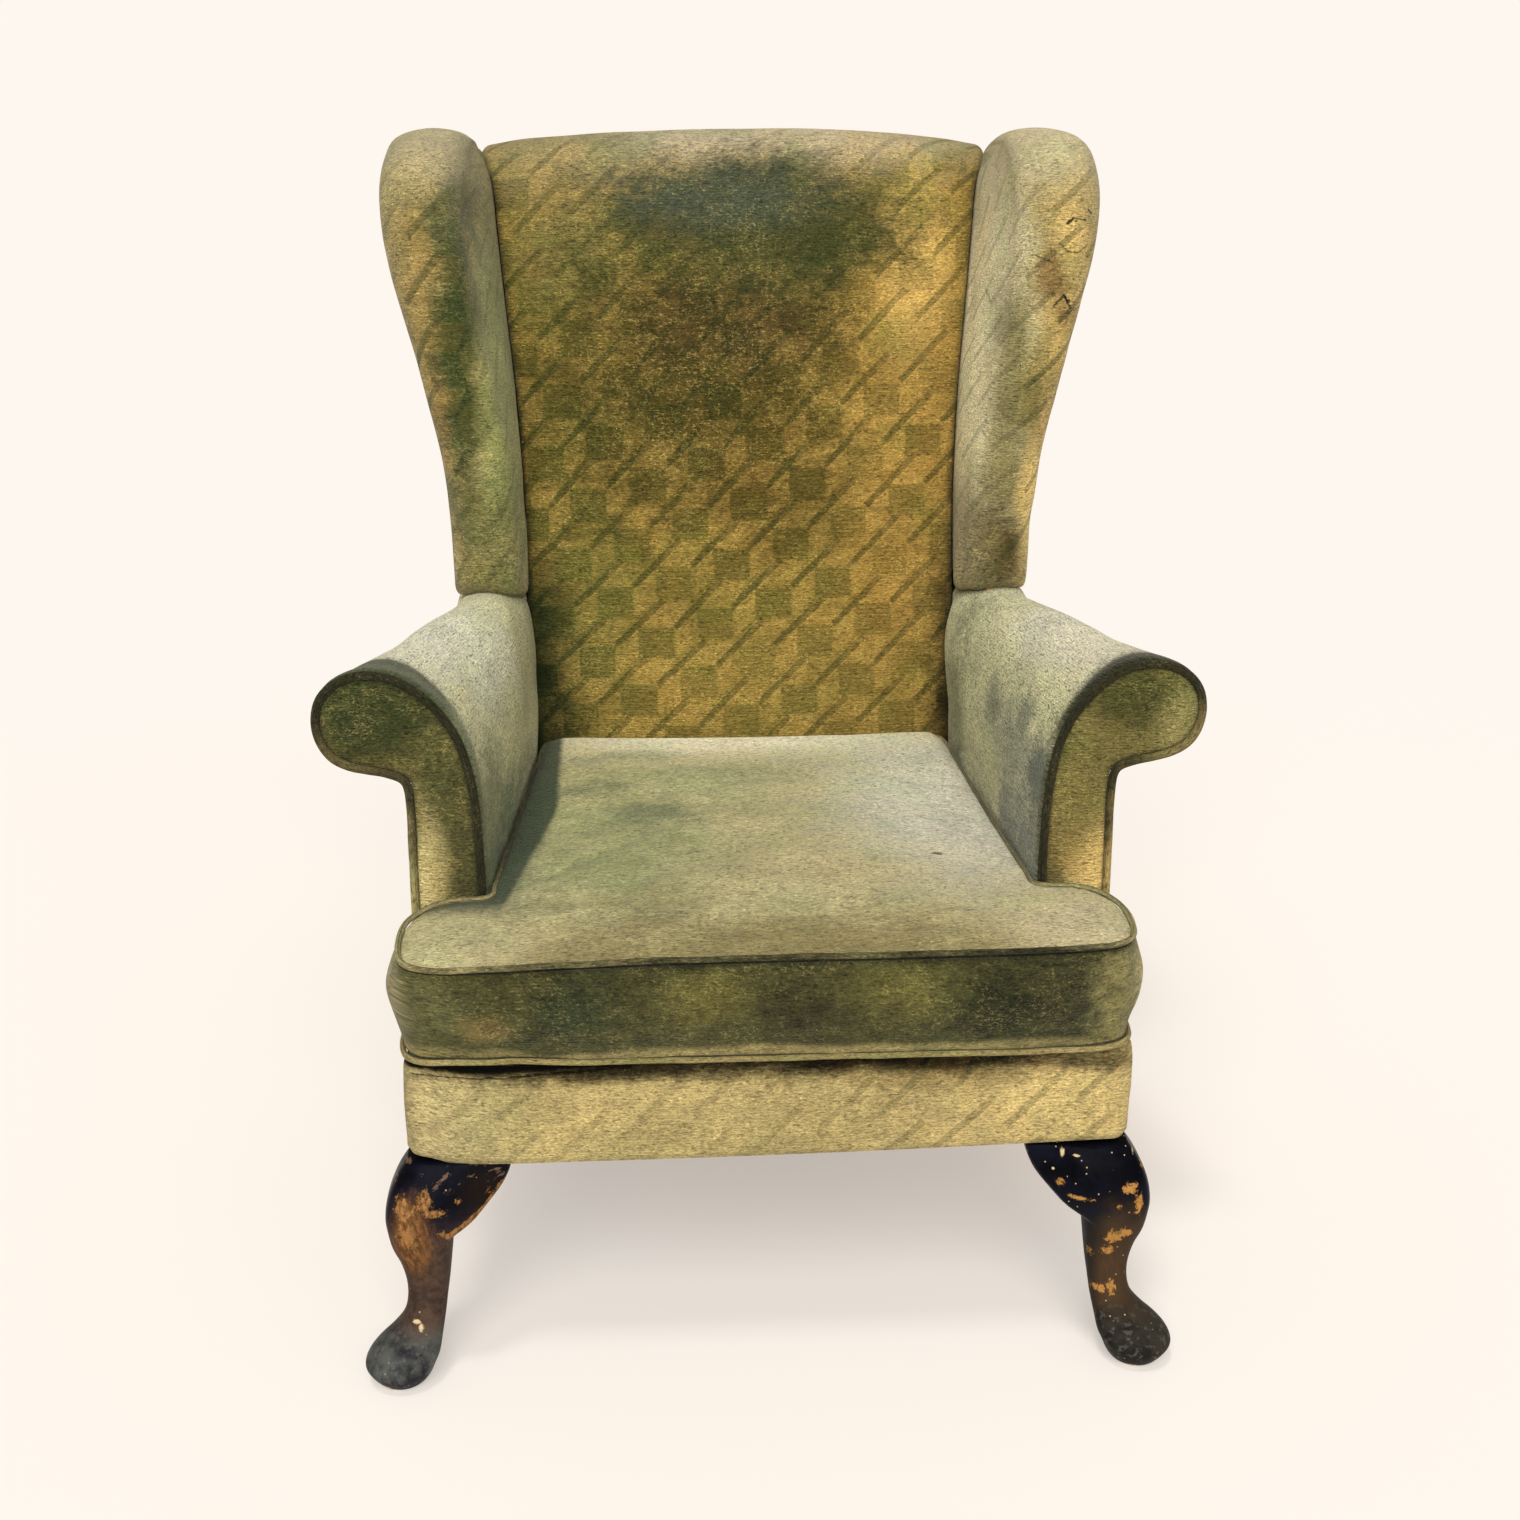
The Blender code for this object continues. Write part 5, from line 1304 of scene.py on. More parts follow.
def make_outside_wing(side, sgn, mat):
    s = np.linspace(0.0, 0.70, 120)
    d = np.array([1.075, 1.085, 1.10, 1.13] + list(np.linspace(1.18, 2, 26)))
    P, dist = wing_surface(s, d, 1)
    P[..., 0] += PANEL * (1 - 0) * 1.0
    # on over the outer face of the rear post
    x, y, z = P[:, -1].T
    extra = []
    for t in np.linspace(0.12, 1, 9):
        extra.append(np.stack([x, y + (post_y(z) + POST_DEPTH - y) * t, z], 1))
    P = np.concatenate([P, np.stack(extra, 1)], 1)
    L = np.concatenate([np.zeros((len(s), 1)), np.cumsum(np.linalg.norm(np.diff(P, axis=1), axis=2), axis=1)], 1)
    V0 = np.concatenate([[0], np.cumsum(np.linalg.norm(np.diff(P[:, 4], axis=0), axis=1))])
    e = np.minimum(L, np.minimum(V0[:, None], (V0[-1] - V0)[:, None] + 0.002))
    lump = noise(P + 7 * sgn, 0.08, 71) * 0.0016 * step01(e, 0, 0.03)
    outer = P.copy()
    outer[..., 0] += lump - roll(e, 0.0035) * 0.9 + 0.0004
    lining = P.copy()
    lining[..., 0] -= PANEL - 2 * GAP
    R, C = P.shape[:2]
    V = np.concatenate([outer.reshape(-1, 3), lining.reshape(-1, 3)])
    q = np.vstack([quads_of(R, C), quads_of(R, C, base=R * C)[:, ::-1]])
    edge = [i * C for i in range(R)] + [(R - 1) * C + j for j in range(1, C)] + [i * C + C - 1 for i in range(R - 2, -1, -1)] + [j for j in range(C - 2, 0, -1)]
    edge = np.array(edge)
    nxt = np.roll(edge, -1)
    q = np.vstack([q, np.stack([edge, nxt, nxt + R * C, edge + R * C], 1)])
    W = np.stack([-sgn * L, np.broadcast_to(V0[:, None], L.shape)], -1).reshape(-1, 2)
    V[:, 0] *= sgn
    me = mesh_of(f"outside_wing_cover_{side}", V, q, weave=np.vstack([W, W]))
    ob = piece(f"outside_wing_cover_{side}", me, mat, sharp=60)
    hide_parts(f"outside_wing_{side}")
    return ob


def make_outside_back(mat):
    z0, z1 = POST_START + 0.0005, POST_TOP
    p = [(-0.2885, z0), (0.2885, z0), (0.2915, z1), (-0.2915, z1)]
    poly = even(p, 0.0085)

    def depth(P):
        return post_y(P[:, 1]) + POST_DEPTH + GAP

    def front(P, d):
        q = np.stack([P[:, 0], np.zeros(len(P)), P[:, 1]], 1)
        sag = noise(q + 5, (0.16, 1, 0.20), 81) * 0.0020 + noise(q + 2, (0.05, 1, 0.07), 82) * 0.0007
        # slack cloth hangs in shallow drag folds between its corners
        sag = sag - 0.0022 * np.exp(-((P[:, 1] - 0.60) / 0.22) ** 2 - (P[:, 0] / 0.17) ** 2)
        return np.stack([P[:, 0], depth(P) + PANEL - 2 * GAP - roll(d, 0.0040) * 0.8 + 0.0010 * (1 - np.exp(-d / 0.03))
                         + sag * step01(d, 0, 0.05), P[:, 1]], 1)

    def back(P, d):
        return np.stack([P[:, 0], depth(P), P[:, 1]], 1)

    ob = plate("outside_back_cover", poly, 0.0085, front, back, mat, lambda P: np.stack([-P[:, 0], P[:, 1]], 1))
    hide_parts("outside_back")
    return ob


def make_bottom_cloth(mat):
    poly = even([(-0.2850, 0.0560), (0.2850, 0.0560), (0.2680, 0.4960), (-0.2680, 0.4960)], 0.012)

    def sagged(P, d):
        q = np.stack([P[:, 0], P[:, 1], np.zeros(len(P))], 1)
        return 0.0045 * (1 - np.exp(-d / 0.09)) + noise(q, 0.07, 91) * 0.0010 * step01(d, 0, 0.05)

    front = lambda P, d: np.stack([P[:, 0], P[:, 1], 0.2104 - sagged(P, d)], 1)
    back = lambda P, d: np.stack([P[:, 0], P[:, 1], 0.2092 - sagged(P, d)], 1)
    ob = plate("dust_cover", poly, 0.012, front, back, mat)
    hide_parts("bottom_cloth")
    return ob


def make_platform(mat):
    half = [(x, y) for x, y in PLAN if y > 0.09 and (y > 0.12 or x < 0.26)]
    ring = [(x, y) for x, y in half] + [(-x, y) for x, y in reversed(half[:-1])]
    ring = grown(ring, -0.0080)
    ring[:, 1] += lean(ring[:, 1], 0.3060)
    outline = np.vstack([ring, [(-0.2500, 0.0535), (0.2500, 0.0535)]])
    poly = even(outline, 0.010)
    mid = (CUSHION_BOTTOM - GAP + 0.2914) / 2

    def front(P, d):
        q = np.stack([P[:, 0], P[:, 1], np.zeros(len(P))], 1)
        return np.stack([P[:, 0], P[:, 1], CUSHION_BOTTOM - 0.0006 - roll(d, 0.006) - 0.0008 * (noise(q, 0.05, 95) + 1) * step01(d, 0, 0.03)], 1)

    def back(P, d):
        q = np.stack([P[:, 0], P[:, 1], np.zeros(len(P))], 1)
        return np.stack([P[:, 0], P[:, 1], 0.2918 + roll(d, 0.006) + 0.0010 * (noise(q, 0.05, 96) + 1) * step01(d, 0, 0.03)], 1)

    ob = plate("seat_felt", poly, 0.010, front, back, mat)
    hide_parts("seat_platform")
    # the stuffed roll along the front edge
    over = RAIL_TOP + 0.0050
    sec = [(0.0130, over), (0.0300, over + 0.0004), (0.0465, over + 0.0006), (0.0485, 0.2890), (0.0440, 0.2945), (0.0300, 0.2968), (0.0165, 0.2942), (0.0124, 0.2880)]
    sec = closed_spline(sec, 26)
    xs = np.linspace(-0.2985, 0.2985, 130)
    P = np.stack([np.broadcast_to(xs[:, None], (130, 26)), np.broadcast_to(sec[None, :, 0], (130, 26)), np.broadcast_to(sec[None, :, 1], (130, 26))], -1).copy()
    c = sec.mean(0)
    n = noise(P, (0.03, 0.03, 0.03), 97)
    P[..., 1] += (P[..., 1] - c[0]) * n * 0.03
    P[..., 2] += (P[..., 2] - c[1]) * n * 0.05
    me = mesh_of("edge_stuffing", P, quads_of(130, 26, False, True), weave=np.stack([P[..., 0], P[..., 2]], -1),
                 polys=[list(range(26)), list(range(129 * 26, 130 * 26))])
    ob = piece("edge_stuffing", me, mat, sharp=60)
    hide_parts("front_edge_roll")


# ------------------------------------------------------------------ front legs
LEG = [
    (0.0000, 0.3270, -0.0134, 0.0185, 2.0), (0.0040, 0.3265, -0.0130, 0.0225, 2.0),
    (0.0110, 0.3270, -0.0134, 0.0275, 2.0), (0.0190, 0.3272, -0.0136, 0.0310, 2.0),
    (0.0270, 0.3240, -0.0104, 0.0315, 2.0), (0.0350, 0.3195, -0.0059, 0.0285, 2.0),
    (0.0440, 0.3125, 0.0011, 0.0230, 2.1), (0.0550, 0.3064, 0.0072, 0.0187, 2.2),
    (0.0700, 0.3033, 0.0103, 0.0176, 2.4), (0.0880, 0.3020, 0.0116, 0.0190, 2.6),
    (0.1080, 0.3028, 0.0108, 0.0223, 2.8), (0.1250, 0.3048, 0.0088, 0.0263, 2.9),
    (0.1400, 0.3055, 0.0081, 0.0285, 3.0), (0.1550, 0.3047, 0.0089, 0.0307, 3.1),
    (0.1730, 0.3012, 0.0124, 0.0312, 3.2), (0.1900, 0.2950, 0.0186, 0.0298, 3.4),
    (0.2040, 0.2900, 0.0236, 0.0248, 3.6),
]
BRACKET = [(0.2680, 0.1440), (0.2590, 0.1492), (0.2470, 0.1606), (0.2350, 0.1750), (0.2275, 0.1900),
           (0.2240, 0.2038)]
CORNER = 0.3136


def leg_loft(n=56):
    a = np.array(LEG)
    z = np.concatenate([[0.0, 0.0008, 0.0020], np.linspace(0.004, 0.2040, 110)])
    row = spline(a[:, 0], a[:, 1:], z)
    row[0, 2] -= 0.0030
    row[1, 2] -= 0.0010
    t = np.linspace(0, 2 * np.pi, n, endpoint=False)
    c, s = np.cos(t)[None], np.sin(t)[None]
    k = row[:, 3:4]
    m = row[:, 2:3] / (np.abs(c) ** k + np.abs(s) ** k) ** (1 / k)
    P = np.stack([row[:, 0:1] + m * c, row[:, 1:2] + m * s, np.broadcast_to(z[:, None], m.shape)], -1)
    # the pad foot is longer towards its toe and flat underneath
    polys = [list(range(n)), list(range((len(z) - 1) * n, len(z) * n))]
    return P.reshape(-1, 3), quads_of(len(z), n, False, True), polys


def ear_solid(along_side):
    a = np.array(LEG)

    def knee_front(z):
        r = spline(a[:, 0], a[:, 1:4], z)
        return (r[:, 1] - r[:, 2]).ravel()

    low = open_spline(np.array([(0.2830, 0.1330), (0.2740, 0.1405)] + BRACKET), step=0.0022)
    outline = np.vstack([low, along([(0.2240, 0.2038), (0.2960, 0.2038), (0.2960, 0.1330), (0.2830, 0.1330)], 0.0022)[1:-1]])
    keep = [outline[0]]
    for p in outline[1:]:
        if np.linalg.norm(p - keep[-1]) > 0.0010:
            keep.append(p)
    poly = np.array(keep)
    V2, T = filled(poly, 0.0028)
    d = edge_distance(V2, low[:, :])
    # distance only from the free edge, so that the top and the knee side stay full
    free = np.full(len(V2), 1e9)
    for p, q in zip(low, low[1:]):
        ab = q - p
        t = np.clip(((V2 - p) @ ab) / (ab @ ab), 0, 1)
        free = np.minimum(free, np.linalg.norm(V2 - (p + t[:, None] * ab), axis=1))
    g = step01(V2[:, 0], 0.228, 0.282)
    yf = 0.0050 - (0.0050 - (knee_front(V2[:, 1]) + 0.0012)) * g ** 1.25
    yf = yf + roll(free, 0.0075) * 0.95
    back = 0.0340 - roll(free, 0.0040)
    A = np.stack([V2[:, 0], np.minimum(yf, back - 0.004), V2[:, 1]], 1)
    B = np.stack([V2[:, 0], back, V2[:, 1]], 1)
    V = np.vstack([A, B])
    n, k = len(poly), len(V2)
    i = np.arange(n)
    j = (i + 1) % n
    rim = np.stack([i, j, j + k, i + k], 1)
    if along_side:
        V = np.stack([CORNER - V[:, 1], CORNER - V[:, 0], V[:, 2]], 1)
    return V, rim, np.vstack([T, T[:, ::-1] + k])


def make_leg(side, sgn, mat):
    bm = bmesh.new()
    for kind in ("leg", "ear", "side"):
        if kind == "leg":
            V, q, polys = leg_loft()
            faces = [list(f) for f in q] + polys
        else:
            V, rim, T = ear_solid(kind == "side")
            faces = [list(f) for f in rim] + [list(f) for f in T]
        V = V.copy()
        V[:, 0] *= sgn
        V[:, 1] -= DEPTH
        vs = [bm.verts.new(p) for p in V]
        for f in faces:
            bm.faces.new([vs[i] for i in f])
    bmesh.ops.recalc_face_normals(bm, faces=bm.faces)
    me = bpy.data.meshes.new("leg_work")
    bm.to_mesh(me)
    bm.free()
    ob = bpy.data.objects.new("leg_work", me)
    bpy.context.scene.collection.objects.link(ob)
    rm = ob.modifiers.new("one", "REMESH")
    rm.mode = "VOXEL"
    rm.voxel_size = 0.0016
    rm.adaptivity = 0.0
    sm = ob.modifiers.new("even", "SMOOTH")
    sm.factor, sm.iterations = 0.5, 5
    modified(ob)
    whole = ob.data
    made = []
    x_cut, y_cut = 0.2640, CORNER - 0.2640
    cuts = {
        f"leg_{side}": [((sgn * x_cut, 0, 0), (-sgn, 0, 0)), ((0, y_cut - DEPTH, 0), (0, 1, 0))],
        f"knee_ear_front_{side}": [((sgn * (x_cut - 0.0001), 0, 0), (sgn, 0, 0))],
        f"knee_ear_side_{side}": [((0, y_cut + 0.0001 - DEPTH, 0), (0, -1, 0))],
    }
    for name, planes in cuts.items():
        b2 = bmesh.new()
        b2.from_mesh(whole)
        for co, no in planes:
            r = bmesh.ops.bisect_plane(b2, geom=b2.verts[:] + b2.edges[:] + b2.faces[:], plane_co=co, plane_no=no,
                                       clear_outer=True, dist=1e-6)
            edges = [e for e in r["geom_cut"] if isinstance(e, bmesh.types.BMEdge)]
            bmesh.ops.holes_fill(b2, edges=edges, sides=0)
        # only the biggest body, so no crumbs stay
        bmesh.ops.triangulate(b2, faces=[f for f in b2.faces if len(f.verts) > 4])
        seen, groups = set(), []
        for v in b2.verts:
            if v in seen:
                continue
            stack, group = [v], []
            seen.add(v)
            while stack:
                w = stack.pop()
                group.append(w)
                for e in w.link_edges:
                    o = e.other_vert(w)
                    if o not in seen:
                        seen.add(o)
                        stack.append(o)
            groups.append(group)
        groups.sort(key=len)
        for group in groups[:-1]:
            bmesh.ops.delete(b2, geom=group, context="VERTS")
        if name.startswith("leg"):
            for v in b2.verts:
                v.co.z = max(v.co.z, 0.0)
        m2 = bpy.data.meshes.new(name)
        b2.to_mesh(m2)
        b2.free()
        p = piece(name, m2, mat, sharp=50)
        made.append(p)
    bpy.data.objects.remove(ob)
    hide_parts(f"front_leg_{side}")
    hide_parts(f"front_knee_bracket_{side}")
    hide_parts(f"side_knee_bracket_{side}")
    return made


def make_rear_leg(side, sgn, mat):
    """The rear post: a raked foot below the seat and a straight stile above."""
    y0, y1 = post_y(POST_START), post_y(POST_TOP)
    outline = [(0.5860, 0.0), (0.6160, 0.0), (0.5710, 0.1100), (y0 + POST_DEPTH, POST_START),
               (y1 + POST_DEPTH, POST_TOP), (y1, POST_TOP), (y0, POST_START), (0.5330, 0.1100)]
    front = open_spline(np.array([(0.5860, 0.0), (0.5590, 0.0560), (0.5330, 0.1100), (0.5105, 0.1600), (y0, POST_START)]), 44)
    rear = open_spline(np.array([(0.6160, 0.0), (0.5930, 0.0560), (0.5710, 0.1100), (0.5500, 0.1600), (y0 + POST_DEPTH, POST_START)]), 44)
    zs = np.concatenate([np.linspace(0, POST_START, 44), np.linspace(POST_START + 0.02, POST_TOP, 34)])
    yf = np.concatenate([np.interp(zs[:44], front[:, 1], front[:, 0]), post_y(zs[44:])])
    yb = np.concatenate([np.interp(zs[:44], rear[:, 1], rear[:, 0]), post_y(zs[44:]) + POST_DEPTH])
    rows = []
    n = 40
    for z, a, b in zip(zs, yf, yb):
        cx, hx, cy, hy = (POST_IN + POST_OUT) / 2, (POST_OUT - POST_IN) / 2, (a + b) / 2, (b - a) / 2
        taper = 1 - 0.13 * (1 - step01(z, 0.0, 0.16))
        r = 0.0035
        ring = []
        for q, (sx, sy) in enumerate(((1, 1), (-1, 1), (-1, -1), (1, -1))):
            for m in range(n // 4):
                t = (q + m / (n // 4 - 1)) * math.pi / 2
                ring.append((cx + sx * (hx * taper - r) + r * math.cos(t), cy + sy * (hy - r) + r * math.sin(t), z))
        rows.append(ring)
    P = np.array(rows)
    low = P[0].copy()
    c = low.mean(0)
    P = np.concatenate([[low * [1, 1, 1]], P], 0)
    P[0] = c + (low - c) * 0.93
    P[1:, :, 2] = np.where(P[1:, :, 2] < 0.0012, 0.0012, P[1:, :, 2])
    P[..., 0] += noise(P, (0.02, 0.02, 0.06), 99) * 0.0003
    P[..., 0] = np.clip(P[..., 0], POST_IN, POST_OUT) * sgn
    R, C = P.shape[:2]
    me = mesh_of(f"rear_leg_{side}", P, quads_of(R, C, False, True), polys=[list(range(C)), list(range((R - 1) * C, R * C))])
    ob = piece(f"rear_leg_{side}", me, mat, sharp=50)
    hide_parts(f"rear_post_{side}")
    return ob


# ------------------------------------------------------------------ other materials
def painted_wood(name):
    m, b = start_material(name)
    P = place()
    x, y, z = xyz(P)
    big = grain(P, 24.0, 4.0, 0.62)
    fine = grain(P, 170.0, 4.0, 0.65)
    edgy = grain(vec(x, y, z * 0.8), 210.0, 5.0, 0.80, 0.9)
    left = span(x, 0.05, -0.05)
    # where the paint has been rubbed and knocked away
    worn = None
    for c, s, a in (((-0.314, -0.02, 0.176), (0.015, 0.05, 0.017), 0.86), ((-0.311, -0.02, 0.150), (0.016, 0.05, 0.026), 0.86),
                    ((-0.297, -0.02, 0.183), (0.011, 0.05, 0.016), 0.80), ((-0.289, -0.02, 0.173), (0.020, 0.05, 0.0055), 0.84),
                    ((-0.283, -0.02, 0.152), (0.008, 0.05, 0.009), 0.68), ((-0.268, -0.02, 0.181), (0.005, 0.05, 0.005), 0.74),
                    ((-0.243, -0.02, 0.182), (0.005, 0.05, 0.008), 0.74), ((-0.325, -0.02, 0.196), (0.006, 0.05, 0.010), 0.74),
                    ((0.313, -0.02, 0.172), (0.010, 0.05, 0.007), 0.82), ((0.321, -0.02, 0.157), (0.0065, 0.05, 0.013), 0.80),
                    ((0.304, -0.02, 0.156), (0.0035, 0.05, 0.0045), 0.80), ((0.301, -0.02, 0.124), (0.0095, 0.05, 0.011), 0.88),
                    ((0.311, -0.02, 0.128), (0.0085, 0.05, 0.008), 0.84), ((0.297, -0.02, 0.107), (0.009, 0.05, 0.0075), 0.76),
                    ((0.284, -0.02, 0.102), (0.006, 0.05, 0.009), 0.68), ((0.292, -0.02, 0.065), (0.009, 0.05, 0.007), 0.80),
                    ((0.303, -0.02, 0.067), (0.006, 0.05, 0.012), 0.76), ((0.270, -0.02, 0.162), (0.014, 0.05, 0.0028), 0.90),
                    ((0.254, -0.012, 0.172), (0.006, 0.05, 0.005), 0.82), ((0.328, -0.02, 0.188), (0.005, 0.05, 0.009), 0.76),
                    ((0.345, 0.03, 0.165), (0.012, 0.03, 0.020), 0.66), ((-0.345, 0.03, 0.160), (0.012, 0.03, 0.024), 0.68),
                    ((0.27, 0.57, 0.10), (0.03, 0.06, 0.05), 0.62), ((-0.27, 0.57, 0.12), (0.03, 0.06, 0.05), 0.62)):
        if c[0] < 0:
            c, s = (c[0] - 0.002, c[1], c[2] - 0.006), tuple(0.84 * i for i in s)
        w = blob(P, c, s, (0.0, 1.75)) * a
        worn = w if worn is None else calc("MAXIMUM", worn, w)
    for a_, b_, width, amount in (((-0.279, 0.144), (-0.250, 0.160), 0.0040, 0.90), ((-0.250, 0.160), (-0.234, 0.182), 0.0024, 0.76)):
        worn = calc("MAXIMUM", worn, stroke(P, a_, b_, width, 0.7) * amount)
    edge = worn + (edgy - 0.5) * 2.1 * span(worn, 0.05, 0.40)
    chip = span(edge, 0.600, 0.625)
    halo = span(edge, 0.42, 0.60) * (1.0 - chip)
    specks = cells(P, 130.0)
    few = span(grain(P, 40.0, 2.0), 0.44, 0.54)
    speck = span(specks, 0.06, 0.12, 1.0, 0.0) * few
    cream = None
    for c, s in (((0.2555, -0.01, 0.1985), (0.0022, 0.04, 0.0048)), ((0.267, -0.01, 0.197), (0.0032, 0.04, 0.0012)),
                 ((0.2480, -0.01, 0.183), (0.0014, 0.04, 0.0014)), ((0.3185, -0.02, 0.197), (0.0014, 0.04, 0.0022)),
                 ((-0.312, -0.03, 0.0555), (0.0048, 0.05, 0.0018)), ((-0.308, -0.03, 0.0515), (0.0026, 0.05, 0.0032)),
                 ((-0.340, -0.05, 0.004), (0.0070, 0.06, 0.0026)), ((-0.330, -0.05, 0.0015), (0.0050, 0.06, 0.0018)),
                 ((-0.357, -0.03, 0.030), (0.0016, 0.05, 0.0016)), ((0.318, -0.04, 0.002), (0.0100, 0.05, 0.0022))):
        w = blob(P, c, s, (0.5, 1.1), rough=(edgy - 0.5) * 2.2)
        cream = w if cream is None else calc("MAXIMUM", cream, w)
    # navy black on the knee blocks, varnish worn to warm brown down the shins, dusty feet
    paint = mix(span(big, 0.35, 0.65), srgb(9, 9, 14), srgb(19, 20, 31))
    paint = mix(blob(P, (-0.248, -0.02, 0.180), (0.030, 0.07, 0.030), (0.3, 1.1)) * 0.8, paint, srgb(30, 24, 20))
    shin = span(z + (big - 0.5) * 0.06, 0.172, 0.128)
    tan = mix(span(fine * 0.5 + big * 0.5, 0.36, 0.64), srgb(58, 46, 39), srgb(86, 68, 57))
    tan = mix(left, mix(span(x, 0.278, 0.300), srgb(34, 33, 31), srgb(66, 52, 38)), tan)
    paint = mix(shin * 0.92, paint, tan)
    knee = calc("MAXIMUM", blob(P, (-0.311, -0.02, 0.140), (0.022, 0.07, 0.048), (0.35, 1.1), rough=(edgy - 0.5) * 0.8),
                blob(P, (0.302, -0.01, 0.085), (0.020, 0.06, 0.045), (0.2, 1.1), rough=(edgy - 0.5) * 0.8) * 0.12)
    streaks = grain(vec(x * 2.6 + z * 0.5, y * 2.0, z * 0.55), 130.0, 4.0, 0.65)
    paint = mix(knee * 0.9, paint, mix(span(streaks, 0.38, 0.62), srgb(88, 60, 36), srgb(134, 92, 52)))
    foot = span(z + (big - 0.5) * 0.02, 0.058, 0.036)
    paint = mix(foot * 0.9, paint, mix(span(big, 0.40, 0.60), mix(left, srgb(26, 26, 28), srgb(36, 38, 44)), mix(left, srgb(50, 48, 42), srgb(84, 88, 84))))
    paint = mix(foot * span(fine, 0.52, 0.66) * 0.35, paint, srgb(110, 110, 100))
    scratch = span(grain(vec(x * 2.2 + z * 1.4, y, z * 6.0 - x * 3.0), 42.0, 3.0, 0.6), 0.60, 0.66) * span(z, 0.180, 0.192)
    paint = mix(scratch * left * 0.7, paint, srgb(116, 92, 70))
    wood = mix(span(streaks, 0.36, 0.62), srgb(108, 78, 47), srgb(158, 113, 66))
    wood = mix(span(fine, 0.55, 0.64) * 0.75 * left, wood, srgb(62, 44, 30))
    wood = mix((1.0 - left) * 0.6, wood, srgb(182, 134, 70))
    col = mix(halo * 0.55, paint, srgb(84, 56, 32))
    col = mix(chip, col, wood)
    col = mix(calc("MAXIMUM", speck * 0.75, cream) * (1.0 - chip), col, srgb(206, 184, 140))
    put(b.inputs["Base Color"], col)
    flat = calc("MAXIMUM", chip, cream)
    put(b.inputs["Roughness"], mixf(flat, mixf(foot, 0.24 + (fine - 0.5) * 0.2 + shin * 0.16, 0.36), 0.62))
    b.inputs["Specular IOR Level"].default_value = 0.10
    b.inputs["IOR"].default_value = 1.16
    height = (1.0 - calc("MAXIMUM", chip, speck * 0.6)) * 0.5 + (fine - 0.5) * 0.12 + (big - 0.5) * 0.4
    put(b.inputs["Normal"], bump(b, height, 0.0009, 0.6))
    return m


def bare_wood(name):
    m, b = start_material(name)
    P = place()
    x, y, z = xyz(P)
    g = grain(vec(x * 1.0, y * 7.0, z * 9.0), 16.0, 4.0, 0.6, 0.8)
    g2 = grain(vec(x * 4.0, y * 60.0, z * 60.0), 9.0, 2.0)
    col = mix(span(g, 0.3, 0.7), srgb(150, 112, 70), srgb(196, 156, 106))
    col = mix(span(g2, 0.5, 0.7) * 0.35, col, srgb(112, 80, 50))
    put(b.inputs["Base Color"], col)
    put(b.inputs["Roughness"], 0.62 + (g2 - 0.5) * 0.2)
    put(b.inputs["Normal"], bump(b, g2 + g, 0.0006, 0.5))
    return m


def spring_steel(name):
    m, b = start_material(name)
    P = place()
    rust = span(grain(P, 120.0, 4.0, 0.7), 0.46, 0.66)
    put(b.inputs["Base Color"], mix(rust, (0.26, 0.25, 0.24), srgb(112, 66, 40)))
    put(b.inputs["Metallic"], 1.0 - rust * 0.8)
    put(b.inputs["Roughness"], 0.38 + rust * 0.4)
    put(b.inputs["Normal"], bump(b, rust, 0.0003, 0.5))
    return m


def woven_strap(name):
    m, b = start_material(name)
    P = place()
    x, y, z = xyz(P)
    a = calc("SINE", x * 2200.0) * 0.5 + 0.5
    c = calc("SINE", z * 2200.0) * 0.5 + 0.5
    n = grain(P, 260.0, 3.0)
    stripe = span(calc("ABSOLUTE", calc("SINE", x * 60.0)), 0.80, 0.95)
    col = mix(span(n, 0.35, 0.65), srgb(150, 120, 78), srgb(188, 158, 108))
    col = mix(stripe * 0.3, col, srgb(90, 60, 44))
    put(b.inputs["Base Color"], mix((1.0 - a * c) * 0.35, col, srgb(96, 74, 48)))
    put(b.inputs["Roughness"], 0.95)
    put(b.inputs["Normal"], bump(b, a * c + n * 0.5, 0.0008, 0.8))
    return m


def matted(name, one, two, scale=180.0):
    m, b = start_material(name)
    P = place()
    n = grain(P, scale, 4.0, 0.7, 0.4)
    n2 = grain(P, 30.0, 3.0, 0.6)
    col = mix(span(n, 0.3, 0.7), one, two)
    col = mix(span(n2, 0.5, 0.75) * 0.4, col, srgb(90, 76, 56))
    put(b.inputs["Base Color"], col)
    put(b.inputs["Roughness"], 0.97)
    put(b.inputs["Normal"], bump(b, n, 0.0015, 0.8))
    return m


# ------------------------------------------------------------------ cloth by region
GAIN = 1.14


def c(r, g, b):
    return srgb(r, g, b, GAIN)


def k(r, g, b):
    """The inside back sits where less light reaches it."""
    return srgb(r, g, b, 1.06)


